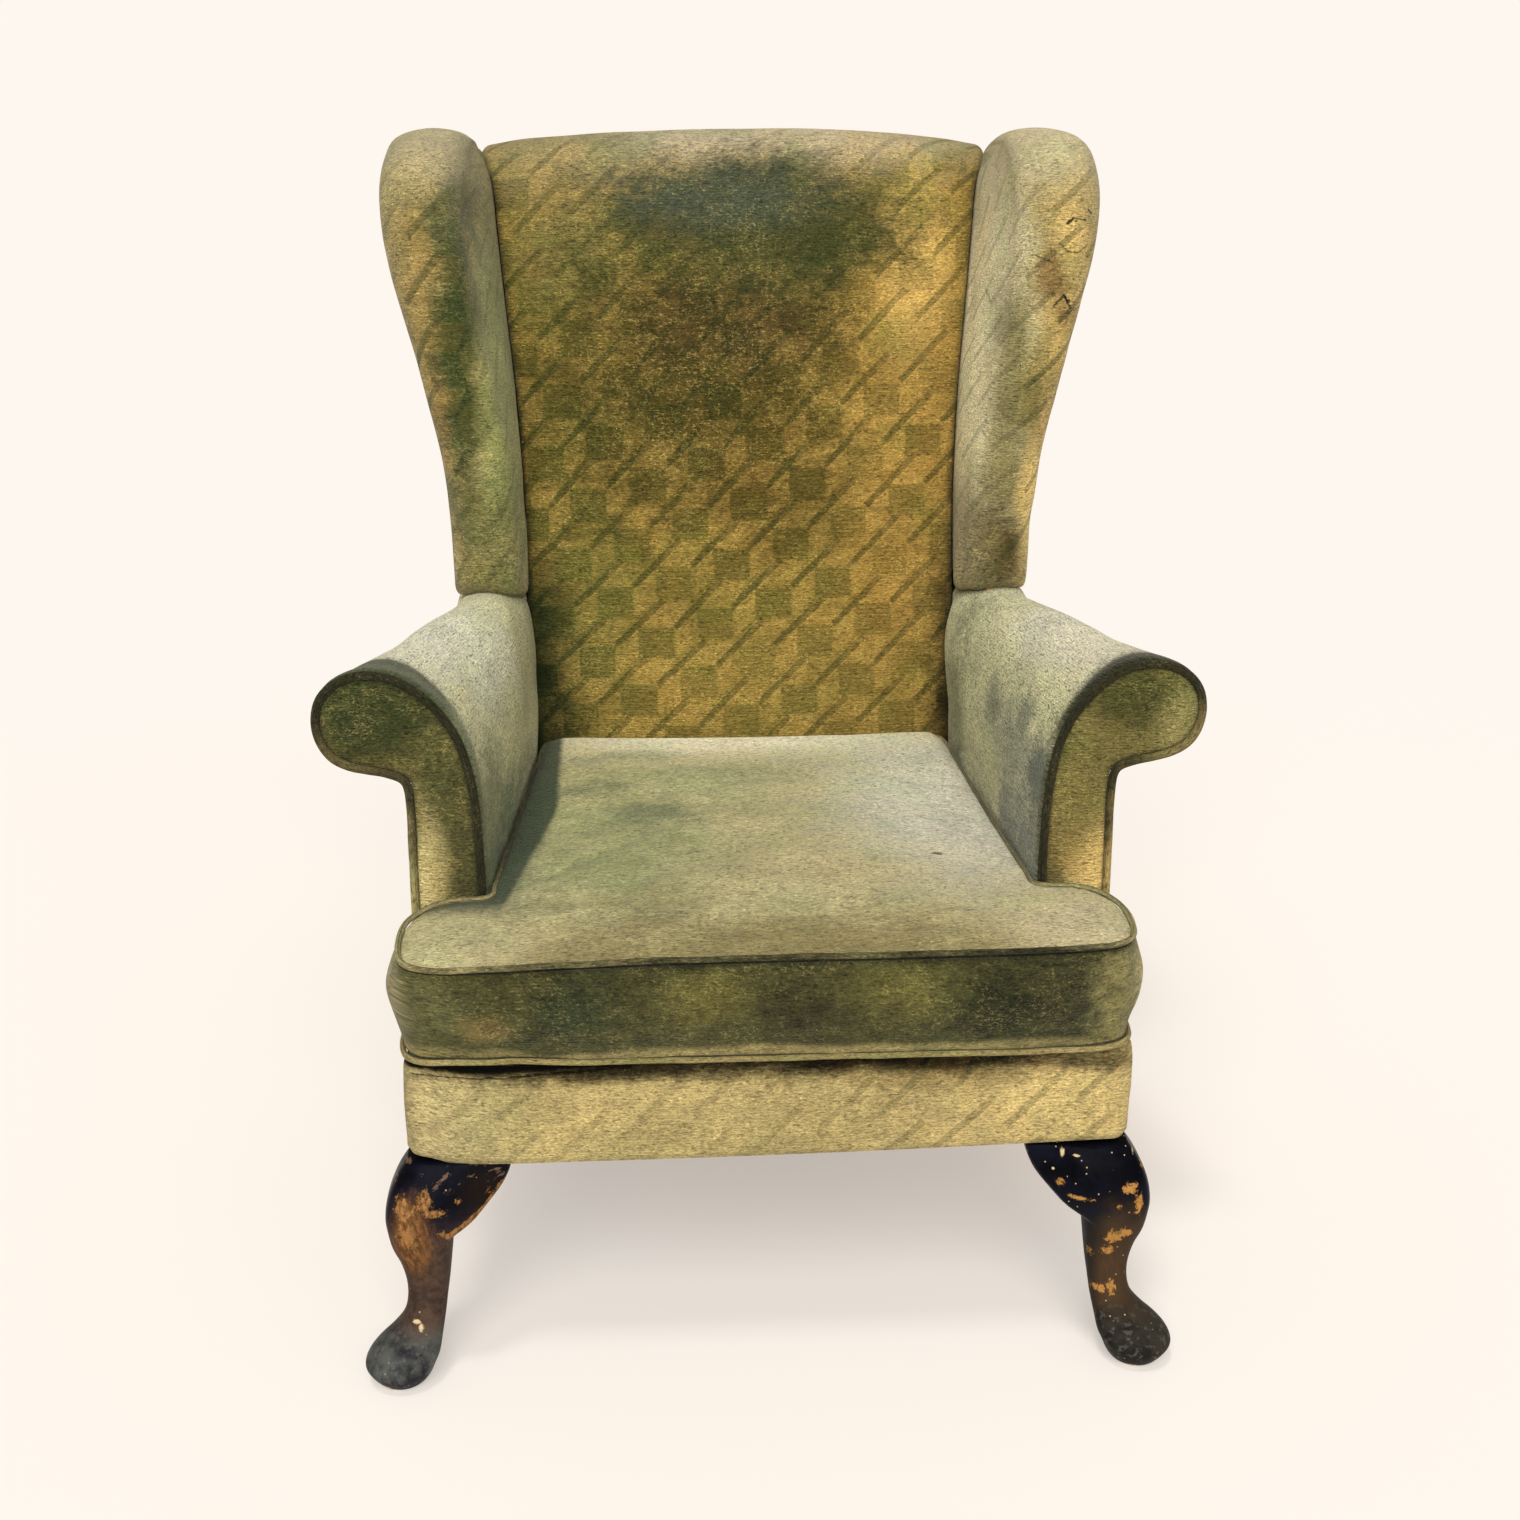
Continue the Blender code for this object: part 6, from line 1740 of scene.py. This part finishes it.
back_cloth = chenille(
    "back_chenille", k(124, 107, 48), patches=[
        ((0.02, 0.60, 0.48), (0.24, 1.0, 0.13), k(136, 117, 56), 0.85),
        ((-0.17, 0.60, 0.56), (0.09, 1.0, 0.16), k(112, 106, 50), 0.8),
        ((0.18, 0.60, 0.74), (0.10, 1.0, 0.38), k(146, 119, 57), 1.0),
        ((-0.17, 0.60, 0.93), (0.09, 1.0, 0.12), k(131, 118, 68), 0.9),
        ((-0.18, 0.60, 0.76), (0.10, 1.0, 0.17), k(84, 79, 32), 0.85),
        ((-0.04, 0.60, 0.80), (0.18, 1.0, 0.19), k(68, 62, 24), 1.0),
        ((0.04, 0.60, 0.70), (0.10, 1.0, 0.10), k(88, 73, 27), 0.7),
        ((0.00, 0.60, 0.86), (0.14, 1.0, 0.07), k(66, 56, 27), 0.8),
        ((0.185, 0.60, 0.92), (0.055, 1.0, 0.13), k(192, 161, 90), 0.95),
        ((0.0, 0.66, 1.085), (0.40, 1.0, 0.110), k(196, 182, 150), 1.0),
        ((-0.20, 0.66, 1.02), (0.12, 1.0, 0.06), k(142, 129, 86), 0.7),
        ((0.02, 0.62, 0.955), (0.22, 1.0, 0.085), k(66, 69, 38), 1.0),
        ((-0.02, 0.62, 0.978), (0.14, 1.0, 0.045), k(68, 77, 60), 0.95),
        ((0.09, 0.60, 0.925), (0.12, 1.0, 0.045), k(62, 66, 32), 0.9),
        # painted shade: the back's lower corners beside the arms, darkened where shade falls
        ((-0.228, 0.50, 0.44), (0.074, 1.0, 0.20), k(24, 33, 11), 1.0),
        ((0.238, 0.50, 0.46), (0.058, 1.0, 0.22), k(38, 31, 13), 1.0),
    # the two shades are painted shade as well: clean-edged darker lower corners beside the arms
    ], shades=[([((-1, 0, 0), 0.190, 0.030), ((0, 0, -1), -0.60, 0.05)], k(36, 45, 17), 0.84),
               ([((1, 0, 0), 0.212, 0.020), ((0, 0, -1), -0.60, 0.05)], k(48, 39, 17), 0.80)],
    shown=0.72, shown_patches=[((0.02, 0.60, 0.58), (0.20, 1.0, 0.10), 0.85), ((0.02, 0.60, 0.95), (0.24, 1.0, 0.12), 0.06), ((-0.05, 0.60, 0.82), (0.20, 1.0, 0.14), 0.30),
                                  ((0.0, 0.66, 1.05), (0.40, 1.0, 0.08), 0.06), ((0.18, 0.60, 0.90), (0.06, 1.0, 0.14), 0.45),
                                  ((-0.18, 0.60, 0.93), (0.06, 1.0, 0.12), 0.25)],
    noise_seed=1.3, hairs=0.30, dark=0.42, sheen=0.10, speck=0.3,
    rubs=[((-0.03, 0.60, 0.80), (0.19, 1.0, 0.17), 1.0), ((0.0, 0.60, 0.95), (0.16, 1.0, 0.07), 0.22), ((0.10, 0.60, 0.86), (0.07, 1.0, 0.06), 0.9)])

# where the right wing's cover has been snagged and torn
SNAGS = [((0.3130, 0.9600), (0.3195, 0.9655), 0.0012, 0.95), ((0.3195, 0.9655), (0.3315, 0.9625), 0.0009, 0.85),
         ((0.3045, 0.9415), (0.3130, 0.9340), 0.0007, 0.6), ((0.3130, 0.9340), (0.3250, 0.9325), 0.0009, 0.75),
         ((0.3250, 0.9325), (0.3345, 0.9400), 0.0007, 0.6), ((0.3005, 0.8830), (0.3110, 0.8925), 0.0010, 0.85),
         ((0.3110, 0.8925), (0.3150, 0.8860), 0.0016, 1.0), ((0.3150, 0.8860), (0.3205, 0.8800), 0.0010, 0.9),
         ((0.3040, 0.9000), (0.3075, 0.9080), 0.0006, 0.45), ((0.2840, 0.9300), (0.2990, 0.9235), 0.0007, 0.55),
         ((0.2830, 0.9120), (0.2955, 0.9085), 0.0006, 0.5), ((0.2960, 0.9385), (0.2975, 0.9300), 0.0006, 0.4),
         ((0.3355, 0.9720), (0.3370, 0.9690), 0.0010, 0.9), ((0.2700, 0.8300), (0.2705, 0.8190), 0.0006, 0.45),
         ((0.2560, 0.7650), (0.2570, 0.7520), 0.0006, 0.45), ((0.2500, 0.8900), (0.2512, 0.8770), 0.0006, 0.4)]
wing_cloth = chenille(
    "wing_chenille", c(150, 136, 90), patches=[
        ((-0.312, 0.45, 0.80), (0.038, 0.2, 0.34), c(126, 112, 64), 1.0),
        ((-0.300, 0.43, 0.76), (0.020, 0.1, 0.10), c(132, 106, 56), 0.7),
        ((-0.277, 0.45, 0.86), (0.030, 0.2, 0.32), c(57, 67, 30), 1.0),
        # painted light: the left wing's inner face, paler and greener where it faces the light
        ((-0.242, 0.52, 0.80), (0.026, 0.2, 0.34), c(142, 150, 90), 0.9),
        ((-0.262, 0.47, 0.64), (0.040, 0.2, 0.09), c(108, 106, 62), 0.8),
        ((-0.300, 0.48, 1.06), (0.09, 0.3, 0.08), c(168, 157, 120), 1.0),
        ((-0.318, 0.45, 0.900), (0.016, 0.2, 0.050), c(146, 126, 76), 0.8),
        ((-0.284, 0.46, 0.965), (0.030, 0.2, 0.040), c(84, 88, 52), 0.9),
        ((0.315, 0.45, 0.75), (0.050, 0.3, 0.32), c(171, 145, 85), 0.95),
        # painted light: the right wing's inner face, painted pale where it faces the light
        ((0.240, 0.50, 0.86), (0.052, 0.3, 0.32), c(236, 224, 180), 1.0),
        ((0.268, 0.45, 0.805), (0.014, 0.3, 0.090), c(134, 126, 84), 0.85),
        ((0.284, 0.45, 0.795), (0.020, 0.3, 0.060), c(106, 100, 54), 0.9),
        ((0.266, 0.45, 0.715), (0.026, 0.3, 0.055), c(118, 112, 70), 0.9),
        ((0.256, 0.46, 0.635), (0.038, 0.3, 0.064), c(62, 54, 22), 1.0),
        ((0.293, 0.45, 0.68), (0.018, 0.3, 0.080), c(206, 180, 112), 0.95),
        ((0.296, 0.48, 1.06), (0.09, 0.3, 0.08), c(192, 179, 140), 1.0),
        ((0.318, 0.47, 0.955), (0.020, 0.3, 0.035), c(194, 166, 104), 0.7),
        ((0.295, 0.44, 0.915), (0.022, 0.3, 0.030), c(120, 92, 54), 0.8),
        ((0.312, 0.44, 0.875), (0.016, 0.3, 0.014), c(92, 78, 44), 0.8),
    ], shown=0.22, shown_patches=[((0.315, 0.45, 0.78), (0.040, 0.3, 0.30), 0.75), ((-0.310, 0.45, 0.78), (0.040, 0.3, 0.28), 0.70),
                                  ((0.29, 0.48, 1.05), (0.1, 0.3, 0.07), 0.0), ((-0.29, 0.48, 1.05), (0.1, 0.3, 0.07), 0.0)],
    spots=[((0.300, 0.45, 1.043), (0.0022, 0.05, 0.0018), c(50, 44, 30), 0.9), ((0.312, 0.45, 1.041), (0.0020, 0.05, 0.0016), c(50, 44, 30), 0.9),
           ((0.237, 0.47, 1.001), (0.0018, 0.05, 0.0018), c(56, 48, 34), 0.9), ((0.3155, 0.45, 0.8875), (0.0040, 0.05, 0.0024), c(40, 32, 20), 0.95),
           ((0.3210, 0.455, 0.9620), (0.0026, 0.05, 0.0018), c(46, 38, 24), 0.9)],
    shades=[([((1, 0, -0.1), 0.166, 0.008), ((-1, 0, 0.1), -0.192, 0.008), ((0, 0, 1), 0.69, 0.03), ((0, 0, -1), -0.90, 0.04)], c(122, 115, 72), 0.80),
            ([((0, 0, -1), -0.70, 0.05), ((-1, 0, 0.1), -0.198, 0.012), ((1, 0, 0), 0.1, 0.01)], c(134, 124, 82), 0.45)],
    strokes=SNAGS, ink=(34, 27, 16), noise_seed=4.1, hairs=0.28, dark=0.40, sheen=0.24, speck=0.8, scuffs=0.22, drift=0.6)

arm_cloth = chenille(
    "arm_chenille", c(190, 188, 146), patches=[
        ((-0.245, 0.22, 0.41), (0.04, 0.28, 0.085), c(80, 104, 64), 0.95),
        ((-0.240, 0.16, 0.48), (0.03, 0.10, 0.060), c(120, 126, 90), 0.8),
        ((-0.290, 0.27, 0.62), (0.11, 0.20, 0.055), c(218, 215, 194), 1.0),
        ((-0.245, 0.28, 0.57), (0.03, 0.13, 0.040), c(204, 203, 180), 0.8),
        ((-0.385, 0.30, 0.57), (0.03, 0.30, 0.05), c(150, 146, 112), 0.6),
        ((0.290, 0.27, 0.62), (0.12, 0.24, 0.055), c(214, 208, 186), 1.0),
        ((0.280, 0.40, 0.59), (0.06, 0.07, 0.03), c(188, 186, 140), 0.7),
        ((0.245, 0.22, 0.50), (0.04, 0.14, 0.05), c(140, 143, 126), 0.8),
        ((0.245, 0.15, 0.42), (0.04, 0.12, 0.07), c(126, 132, 126), 0.9),
        ((0.235, 0.44, 0.48), (0.04, 0.06, 0.12), c(108, 110, 76), 0.9),
        ((0.243, 0.140, 0.500), (0.030, 0.050, 0.060), c(96, 104, 96), 0.95),
        ((0.243, 0.220, 0.440), (0.030, 0.050, 0.040), c(102, 110, 108), 0.9),
        ((0.243, 0.300, 0.520), (0.030, 0.035, 0.035), c(112, 118, 96), 0.8),
        ((0.243, 0.200, 0.540), (0.030, 0.030, 0.025), c(108, 116, 96), 0.8),
        ((-0.340, 0.125, 0.61), (0.085, 0.055, 0.050), c(90, 95, 68), 0.9),
        ((-0.265, 0.125, 0.55), (0.05, 0.040, 0.07), c(150, 154, 122), 0.8),
        ((-0.250, 0.118, 0.50), (0.05, 0.022, 0.09), c(110, 114, 84), 0.8),
        ((0.340, 0.118, 0.61), (0.10, 0.036, 0.050), c(64, 64, 44), 1.0),
        ((0.265, 0.118, 0.56), (0.04, 0.024, 0.06), c(78, 78, 56), 0.9),
        ((0.250, 0.118, 0.47), (0.05, 0.016, 0.10), c(90, 88, 62), 0.8),
    # the first shade is a painted shadow of the left wing across the rear of the left arm's top
    ], shades=[([((0.972, 0.234, 0.0), -0.1315, 0.004), ((0, 0, 1), 0.50, 0.03), ((-1, 0, 0), 0.10, 0.01)], c(148, 144, 98), 0.60),
               ([((-0.45, -1, 0), -0.023, 0.005), ((0, 0, 1), 0.568, 0.012), ((-1, 0, 0), 0.10, 0.01)], c(46, 55, 39), 0.95),
               ([((-0.1, -1, 0), -0.112, 0.006), ((0, 0, 1), 0.40, 0.02), ((-1, 0, 0), 0.10, 0.01)], c(78, 86, 58), 0.65),
               ([((0.25, -1, 0), -0.060, 0.005), ((0, 0, 1), 0.555, 0.02), ((1, 0, 0), 0.10, 0.01)], c(38, 41, 28), 0.92)],
    shown=0.0, noise_seed=6.7, hairs=0.22, dark=0.50, sheen=0.26, speck=1.0, scuffs=0.60, drift=0.35, slub=1.0)

facing_cloth = chenille(
    "facing_chenille", c(108, 100, 56), patches=[
        ((-0.335, 0.12, 0.575), (0.09, 0.1, 0.065), c(51, 58, 30), 1.0),
        ((-0.285, 0.12, 0.50), (0.04, 0.1, 0.08), c(68, 69, 38), 0.9),
        ((-0.305, 0.12, 0.385), (0.033, 0.1, 0.12), c(198, 181, 124), 1.0),
        ((-0.264, 0.12, 0.42), (0.016, 0.1, 0.10), c(74, 72, 44), 0.8),
        ((-0.310, 0.12, 0.49), (0.016, 0.1, 0.03), c(120, 108, 66), 0.7),
        ((0.330, 0.12, 0.580), (0.06, 0.1, 0.036), c(66, 66, 32), 1.0),
        ((0.372, 0.12, 0.555), (0.03, 0.1, 0.05), c(138, 128, 80), 0.8),
        ((0.300, 0.12, 0.38), (0.040, 0.1, 0.11), c(206, 178, 112), 1.0),
        ((0.275, 0.12, 0.47), (0.03, 0.1, 0.06), c(120, 106, 60), 0.8),
        ((0.262, 0.12, 0.40), (0.012, 0.1, 0.10), c(110, 98, 60), 0.7),
    ], shown=0.0, noise_seed=2.9, hairs=0.30, dark=0.44, sheen=0.08, speck=0.5, scuffs=0.25,
    rubs=[((-0.34, 0.12, 0.57), (0.07, 0.1, 0.06), 0.22), ((0.34, 0.12, 0.57), (0.07, 0.1, 0.06), 0.22), ((-0.28, 0.12, 0.45), (0.05, 0.1, 0.12), 0.2)])

cover_cloth = chenille(
    "cover_chenille", c(173, 156, 104), patches=[
        ((0.25, 0.0, 0.25), (0.12, 0.5, 0.10), c(192, 170, 112), 0.8),
        ((-0.28, 0.0, 0.25), (0.08, 0.3, 0.08), c(174, 160, 113), 0.8),
        ((0.0, 0.0, 0.203), (0.50, 0.3, 0.014), c(172, 156, 104), 0.6),
        ((0.02, 0.0, 0.240), (0.12, 0.3, 0.08), c(161, 145, 96), 0.8),
        # the dark strip along the top of the border: dirt, and painted shade under the cushion's overhang
        ((0.06, 0.0, 0.292), (0.38, 0.05, 0.0195), c(23, 18, 10), 1.0),
        ((-0.14, 0.0, 0.286), (0.14, 0.05, 0.013), c(50, 43, 26), 0.95),
        ((0.14, 0.0, 0.275), (0.12, 0.05, 0.014), c(140, 122, 76), 0.6),
        ((0.33, 0.30, 0.75), (0.06, 0.4, 0.4), c(186, 166, 112), 0.7),
        ((-0.315, 0.02, 0.27), (0.020, 0.06, 0.06), c(120, 108, 74), 0.7),
    # near-black strokes: painted shadow in the gap under the cushion's lifted lower edge
    ], strokes=[((-0.312, 0.3000), (-0.290, 0.2965), 0.0034, 1.0), ((-0.290, 0.2965), (-0.262, 0.2918), 0.0036, 1.0),
                ((-0.262, 0.2918), (-0.230, 0.2896), 0.0034, 1.0), ((-0.230, 0.2896), (-0.185, 0.2894), 0.0030, 1.0),
                ((-0.185, 0.2894), (-0.120, 0.2904), 0.0022, 1.0), ((-0.120, 0.2904), (-0.040, 0.2915), 0.0013, 0.9),
                ((-0.306, 0.2905), (-0.262, 0.2850), 0.0006, 0.8), ((-0.262, 0.2850), (-0.225, 0.2838), 0.0006, 0.8),
                ((-0.225, 0.2838), (-0.180, 0.2850), 0.0007, 0.85), ((-0.180, 0.2850), (-0.120, 0.2876), 0.0007, 0.85)],
    ink=(8, 6, 4), reach=0.08,
    shown=0.10, shown_patches=[((0.22, 0.0, 0.25), (0.22, 0.4, 0.10), 0.32)],
    noise_seed=8.2, hairs=0.20, dark=0.36, sheen=0.12, speck=0.45, scuffs=0.12, drift=0.4)

cushion_cloth = chenille(
    "cushion_chenille", c(170, 162, 118), patches=[
        ((0.20, 0.28, 0.42), (0.16, 0.24, 0.3), c(198, 194, 174), 1.0),
        ((-0.14, 0.22, 0.42), (0.13, 0.22, 0.3), c(144, 146, 100), 0.9),
        ((0.0, 0.47, 0.44), (0.26, 0.10, 0.3), c(232, 226, 196), 0.9),
        ((-0.02, 0.33, 0.42), (0.10, 0.05, 0.3), c(150, 150, 110), 0.6),
        ((-0.10, 0.26, 0.42), (0.05, 0.035, 0.3), c(104, 114, 80), 0.75),
        ((-0.16, 0.33, 0.42), (0.05, 0.020, 0.3), c(104, 112, 78), 0.7),
        ((-0.12, 0.40, 0.42), (0.07, 0.018, 0.3), c(116, 122, 88), 0.6),
        ((0.0, -0.02, 0.41), (0.34, 0.08, 0.3), c(130, 118, 73), 0.9),
        ((0.06, 0.12, 0.41), (0.10, 0.06, 0.3), c(176, 164, 122), 0.6),
        ((-0.10, 0.07, 0.41), (0.10, 0.035, 0.3), c(120, 116, 76), 0.6),
        ((-0.27, 0.00, 0.41), (0.08, 0.07, 0.3), c(186, 176, 131), 0.9),
        ((0.27, 0.02, 0.41), (0.09, 0.08, 0.3), c(192, 180, 142), 0.9),
        ((0.0, -0.036, 0.40), (0.5, 0.012, 0.3), c(66, 64, 38), 0.85),
        # painted shadow of the left arm along the seat's left side
        ((-0.222, 0.25, 0.42), (0.030, 0.22, 0.3), c(84, 94, 64), 0.6),
    ], zoned=(c(62, 62, 33), [
        ((-0.30, 0.0, 0.36), (0.05, 0.3, 0.05), c(92, 90, 53), 0.8),
        ((-0.245, 0.0, 0.345), (0.03, 0.3, 0.02), c(104, 90, 52), 0.8),
        ((-0.17, 0.0, 0.365), (0.05, 0.3, 0.035), c(42, 50, 29), 0.9),
        ((-0.06, 0.0, 0.370), (0.05, 0.3, 0.03), c(92, 87, 44), 0.8),
        ((0.02, 0.0, 0.360), (0.05, 0.3, 0.04), c(50, 46, 26), 0.8),
        ((0.11, 0.0, 0.370), (0.06, 0.3, 0.03), c(90, 87, 44), 0.8),
        ((0.19, 0.0, 0.355), (0.06, 0.3, 0.04), c(31, 35, 18), 0.95),
        ((0.26, 0.0, 0.365), (0.05, 0.3, 0.05), c(44, 45, 25), 0.85),
        ((-0.335, 0.02, 0.36), (0.035, 0.10, 0.05), c(146, 136, 97), 0.9),
        ((0.350, 0.02, 0.36), (0.050, 0.12, 0.06), c(206, 192, 132), 1.0),
        ((0.0, 0.0, 0.317), (0.6, 0.5, 0.009), c(136, 124, 79), 0.85),
        ((0.0, 0.0, 0.404), (0.6, 0.5, 0.014), c(40, 42, 22), 0.85),
    ]), shown=0.0, noise_seed=5.5, hairs=0.24, dark=0.42, sheen=0.18, speck=0.8, scuffs=0.20, drift=0.6,
    rubs=[((0.0, -0.04, 0.36), (0.36, 0.03, 0.05), 0.16)],
    # the first shade is the left arm's painted shadow on the seat, with a clean edge
    shades=[([((-1, 0, 0), 0.189, 0.004), ((-1, 0.19, 0), 0.2442, 0.004), ((0, 0, 1), 0.385, 0.01), ((0, 1, 0), 0.075, 0.02)], c(27, 48, 25), 0.95),
            ([((1, 0, 0), 0.272, 0.016), ((0, 0, -1), -0.396, 0.005)], c(124, 117, 72), 0.70),
            ([((1, 0, 0), 0.316, 0.010), ((0, 0, -1), -0.398, 0.004)], c(176, 164, 112), 0.80),
            ([((-1, 0, 0), 0.316, 0.010), ((0, 0, -1), -0.398, 0.004)], c(142, 132, 94), 0.55)],
    spots=[((0.162, 0.164, 0.415), (0.007, 0.004, 0.1), c(70, 62, 40), 0.9), ((0.162, 0.47, 0.44), (0.007, 0.004, 0.1), c(66, 60, 44), 0.9),
           ((0.228, 0.275, 0.425), (0.005, 0.008, 0.1), c(80, 78, 60), 0.8)])

facing_piping = chenille(
    "facing_piping", c(44, 43, 27), patches=[
        ((-0.315, 0.12, 0.38), (0.018, 0.1, 0.13), c(166, 150, 102), 1.0),
        ((0.315, 0.12, 0.38), (0.018, 0.1, 0.13), c(178, 154, 96), 1.0),
        ((-0.36, 0.12, 0.535), (0.05, 0.1, 0.03), c(96, 88, 56), 0.8),
        ((0.37, 0.12, 0.54), (0.05, 0.1, 0.04), c(124, 112, 70), 0.9),
        ((-0.30, 0.12, 0.505), (0.02, 0.1, 0.03), c(60, 58, 38), 0.9),
    ], shown=0.0, noise_seed=9.4, hairs=0.20, dark=0.45, sheen=0.06, grid=0.8)

cushion_piping = chenille(
    "cushion_piping", c(156, 146, 102), patches=[
        ((0.0, -0.060, 0.40), (0.42, 0.070, 0.06), c(44, 44, 25), 1.0),
        ((0.20, -0.060, 0.40), (0.14, 0.060, 0.06), c(32, 31, 18), 0.95),
        ((0.0, 0.0, 0.312), (0.6, 0.6, 0.025), c(146, 132, 86), 1.0),
        # painted shade: the welts darkened in the creases beside the arms, the left one deepest in that arm's shadow
        ((0.22, 0.30, 0.42), (0.04, 0.30, 0.05), c(100, 94, 70), 0.8),
        ((-0.22, 0.30, 0.42), (0.04, 0.30, 0.05), c(58, 58, 40), 0.95),
    ], shown=0.0, noise_seed=9.9, hairs=0.20, dark=0.45, sheen=0.08, grid=0.8)

paint = painted_wood("worn_black_paint")
beech = bare_wood("old_beech")
steel = spring_steel("spring_wire")
jute = woven_strap("jute_webbing")
felt = matted("horsehair_felt", srgb(120, 102, 74), srgb(160, 142, 108))
dust = matted("black_dust_cloth", srgb(40, 37, 34), srgb(64, 58, 52), 420.0)

SIDES = (("left", -1), ("right", 1))
make_back(back_cloth)
for side, sgn in SIDES:
    make_wing(side, sgn, wing_cloth)
    make_arm(side, sgn, arm_cloth)
    make_facing(side, sgn, facing_cloth, facing_piping)
    make_outside_arm(side, sgn, cover_cloth)
    make_outside_wing(side, sgn, cover_cloth)
    make_leg(side, sgn, paint)
    make_rear_leg(side, sgn, paint)
make_cushion(cushion_cloth, cushion_piping)
make_border(cover_cloth)
make_outside_back(cover_cloth)
make_bottom_cloth(dust)
make_platform(felt)

# the frame under the cloth keeps its CAD solids and gets real surfaces
for name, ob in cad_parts.items():
    if isinstance(ob, str):
        ob = bpy.data.objects[ob]
    if name.startswith("seat_spring"):
        mat = steel
    elif name.startswith("back_web"):
        mat = jute
    else:
        mat = beech
    if not ob.hide_render:
        ob.data.materials.clear()
        ob.data.materials.append(mat)


# ------------------------------------------------------------------ floor, light, camera
def make_stage():
    me = mesh_of("floor", [(-9, -9, 0), (9, -9, 0), (9, 9, 0), (-9, 9, 0)], [(0, 1, 2, 3)])
    m, b = start_material("studio_floor")
    x, y, z = xyz(place())
    r = calc("SQRT", x * x + (y - 0.25) * (y - 0.25))
    # the floor glows with the background colour, 42 % of it beside the chair and all of it further out: painted light
    # that lifts the floor's shadows and blends it into the backdrop
    far = span(r, 0.75, 2.6, 0.42, 1.0)
    # painted shadow: the floor darker and warmer under the chair
    under = blob(place(), (0.10, 0.40, 0.0), (0.40, 0.24, 1.0), (0.2, 1.2))
    put(b.inputs["Base Color"], mix(under, (0.975, 0.92, 0.865), (0.86, 0.70, 0.575)))
    put(b.inputs["Roughness"], 0.9)
    b.inputs["Specular IOR Level"].default_value = 0.0
    e = node("ShaderNodeEmission")
    put(e.inputs["Color"], (*BACKGROUND, 1))
    s = node("ShaderNodeMixShader")
    Val.tree.links.new(far.s, s.inputs[0])
    Val.tree.links.new(b.outputs[0], s.inputs[1])
    Val.tree.links.new(e.outputs[0], s.inputs[2])
    out = next(n for n in Val.tree.nodes if n.type == "OUTPUT_MATERIAL")
    Val.tree.links.new(s.outputs[0], out.inputs["Surface"])
    me.materials.append(m)
    ob = bpy.data.objects.new("floor", me)
    bpy.context.scene.collection.objects.link(ob)


BACKGROUND = srgb(254, 247, 239)
make_stage()
bpy.context.scene.cycles.max_bounces = 2
bpy.context.scene.cycles.diffuse_bounces = 1
bpy.context.scene.cycles.glossy_bounces = 1
world = bpy.data.worlds.new("studio")
bpy.context.scene.world = world
world.use_nodes = True
Val.tree = world.node_tree
bg = next(n for n in Val.tree.nodes if n.type == "BACKGROUND")
put(bg.inputs["Color"], (*BACKGROUND, 1))
lp = node("ShaderNodeLightPath")
put(bg.inputs["Strength"], mixf(Val(lp.outputs["Is Camera Ray"]), 0.34, 1.0))


def sun(name, towards, strength, spread):
    """A far soft box in the direction towards."""
    light = bpy.data.lights.new(name, "SUN")
    light.energy = strength
    light.angle = math.radians(spread)
    light.color = (1, 0.975, 0.945)
    ob = bpy.data.objects.new(name, light)
    bpy.context.scene.collection.objects.link(ob)
    ob.rotation_euler = Vector(towards).to_track_quat("Z", "Y").to_euler()


sun("front", (-0.12, -1.0, 0.80), 2.25, 40)
sun("low", (0.35, -1.0, 0.36), 0.60, 50)
sun("top", (-0.16, -0.25, 1.0), 0.75, 9)

cam = bpy.data.cameras.new("camera")
cam.lens = 49.44
cam.sensor_width = 36.0
cam.clip_end = 60
cam_ob = bpy.data.objects.new("camera", cam)
bpy.context.scene.collection.objects.link(cam_ob)
cam_ob.location = (-0.0999, -1.6151 - DEPTH, 1.0899)
cam_ob.rotation_euler = Vector((0.0530, 0.9497, -0.3088)).to_track_quat("-Z", "Y").to_euler()
bpy.context.scene.camera = cam_ob
bpy.context.scene.view_settings.view_transform = "Standard"

bpy.context.view_layer.update()
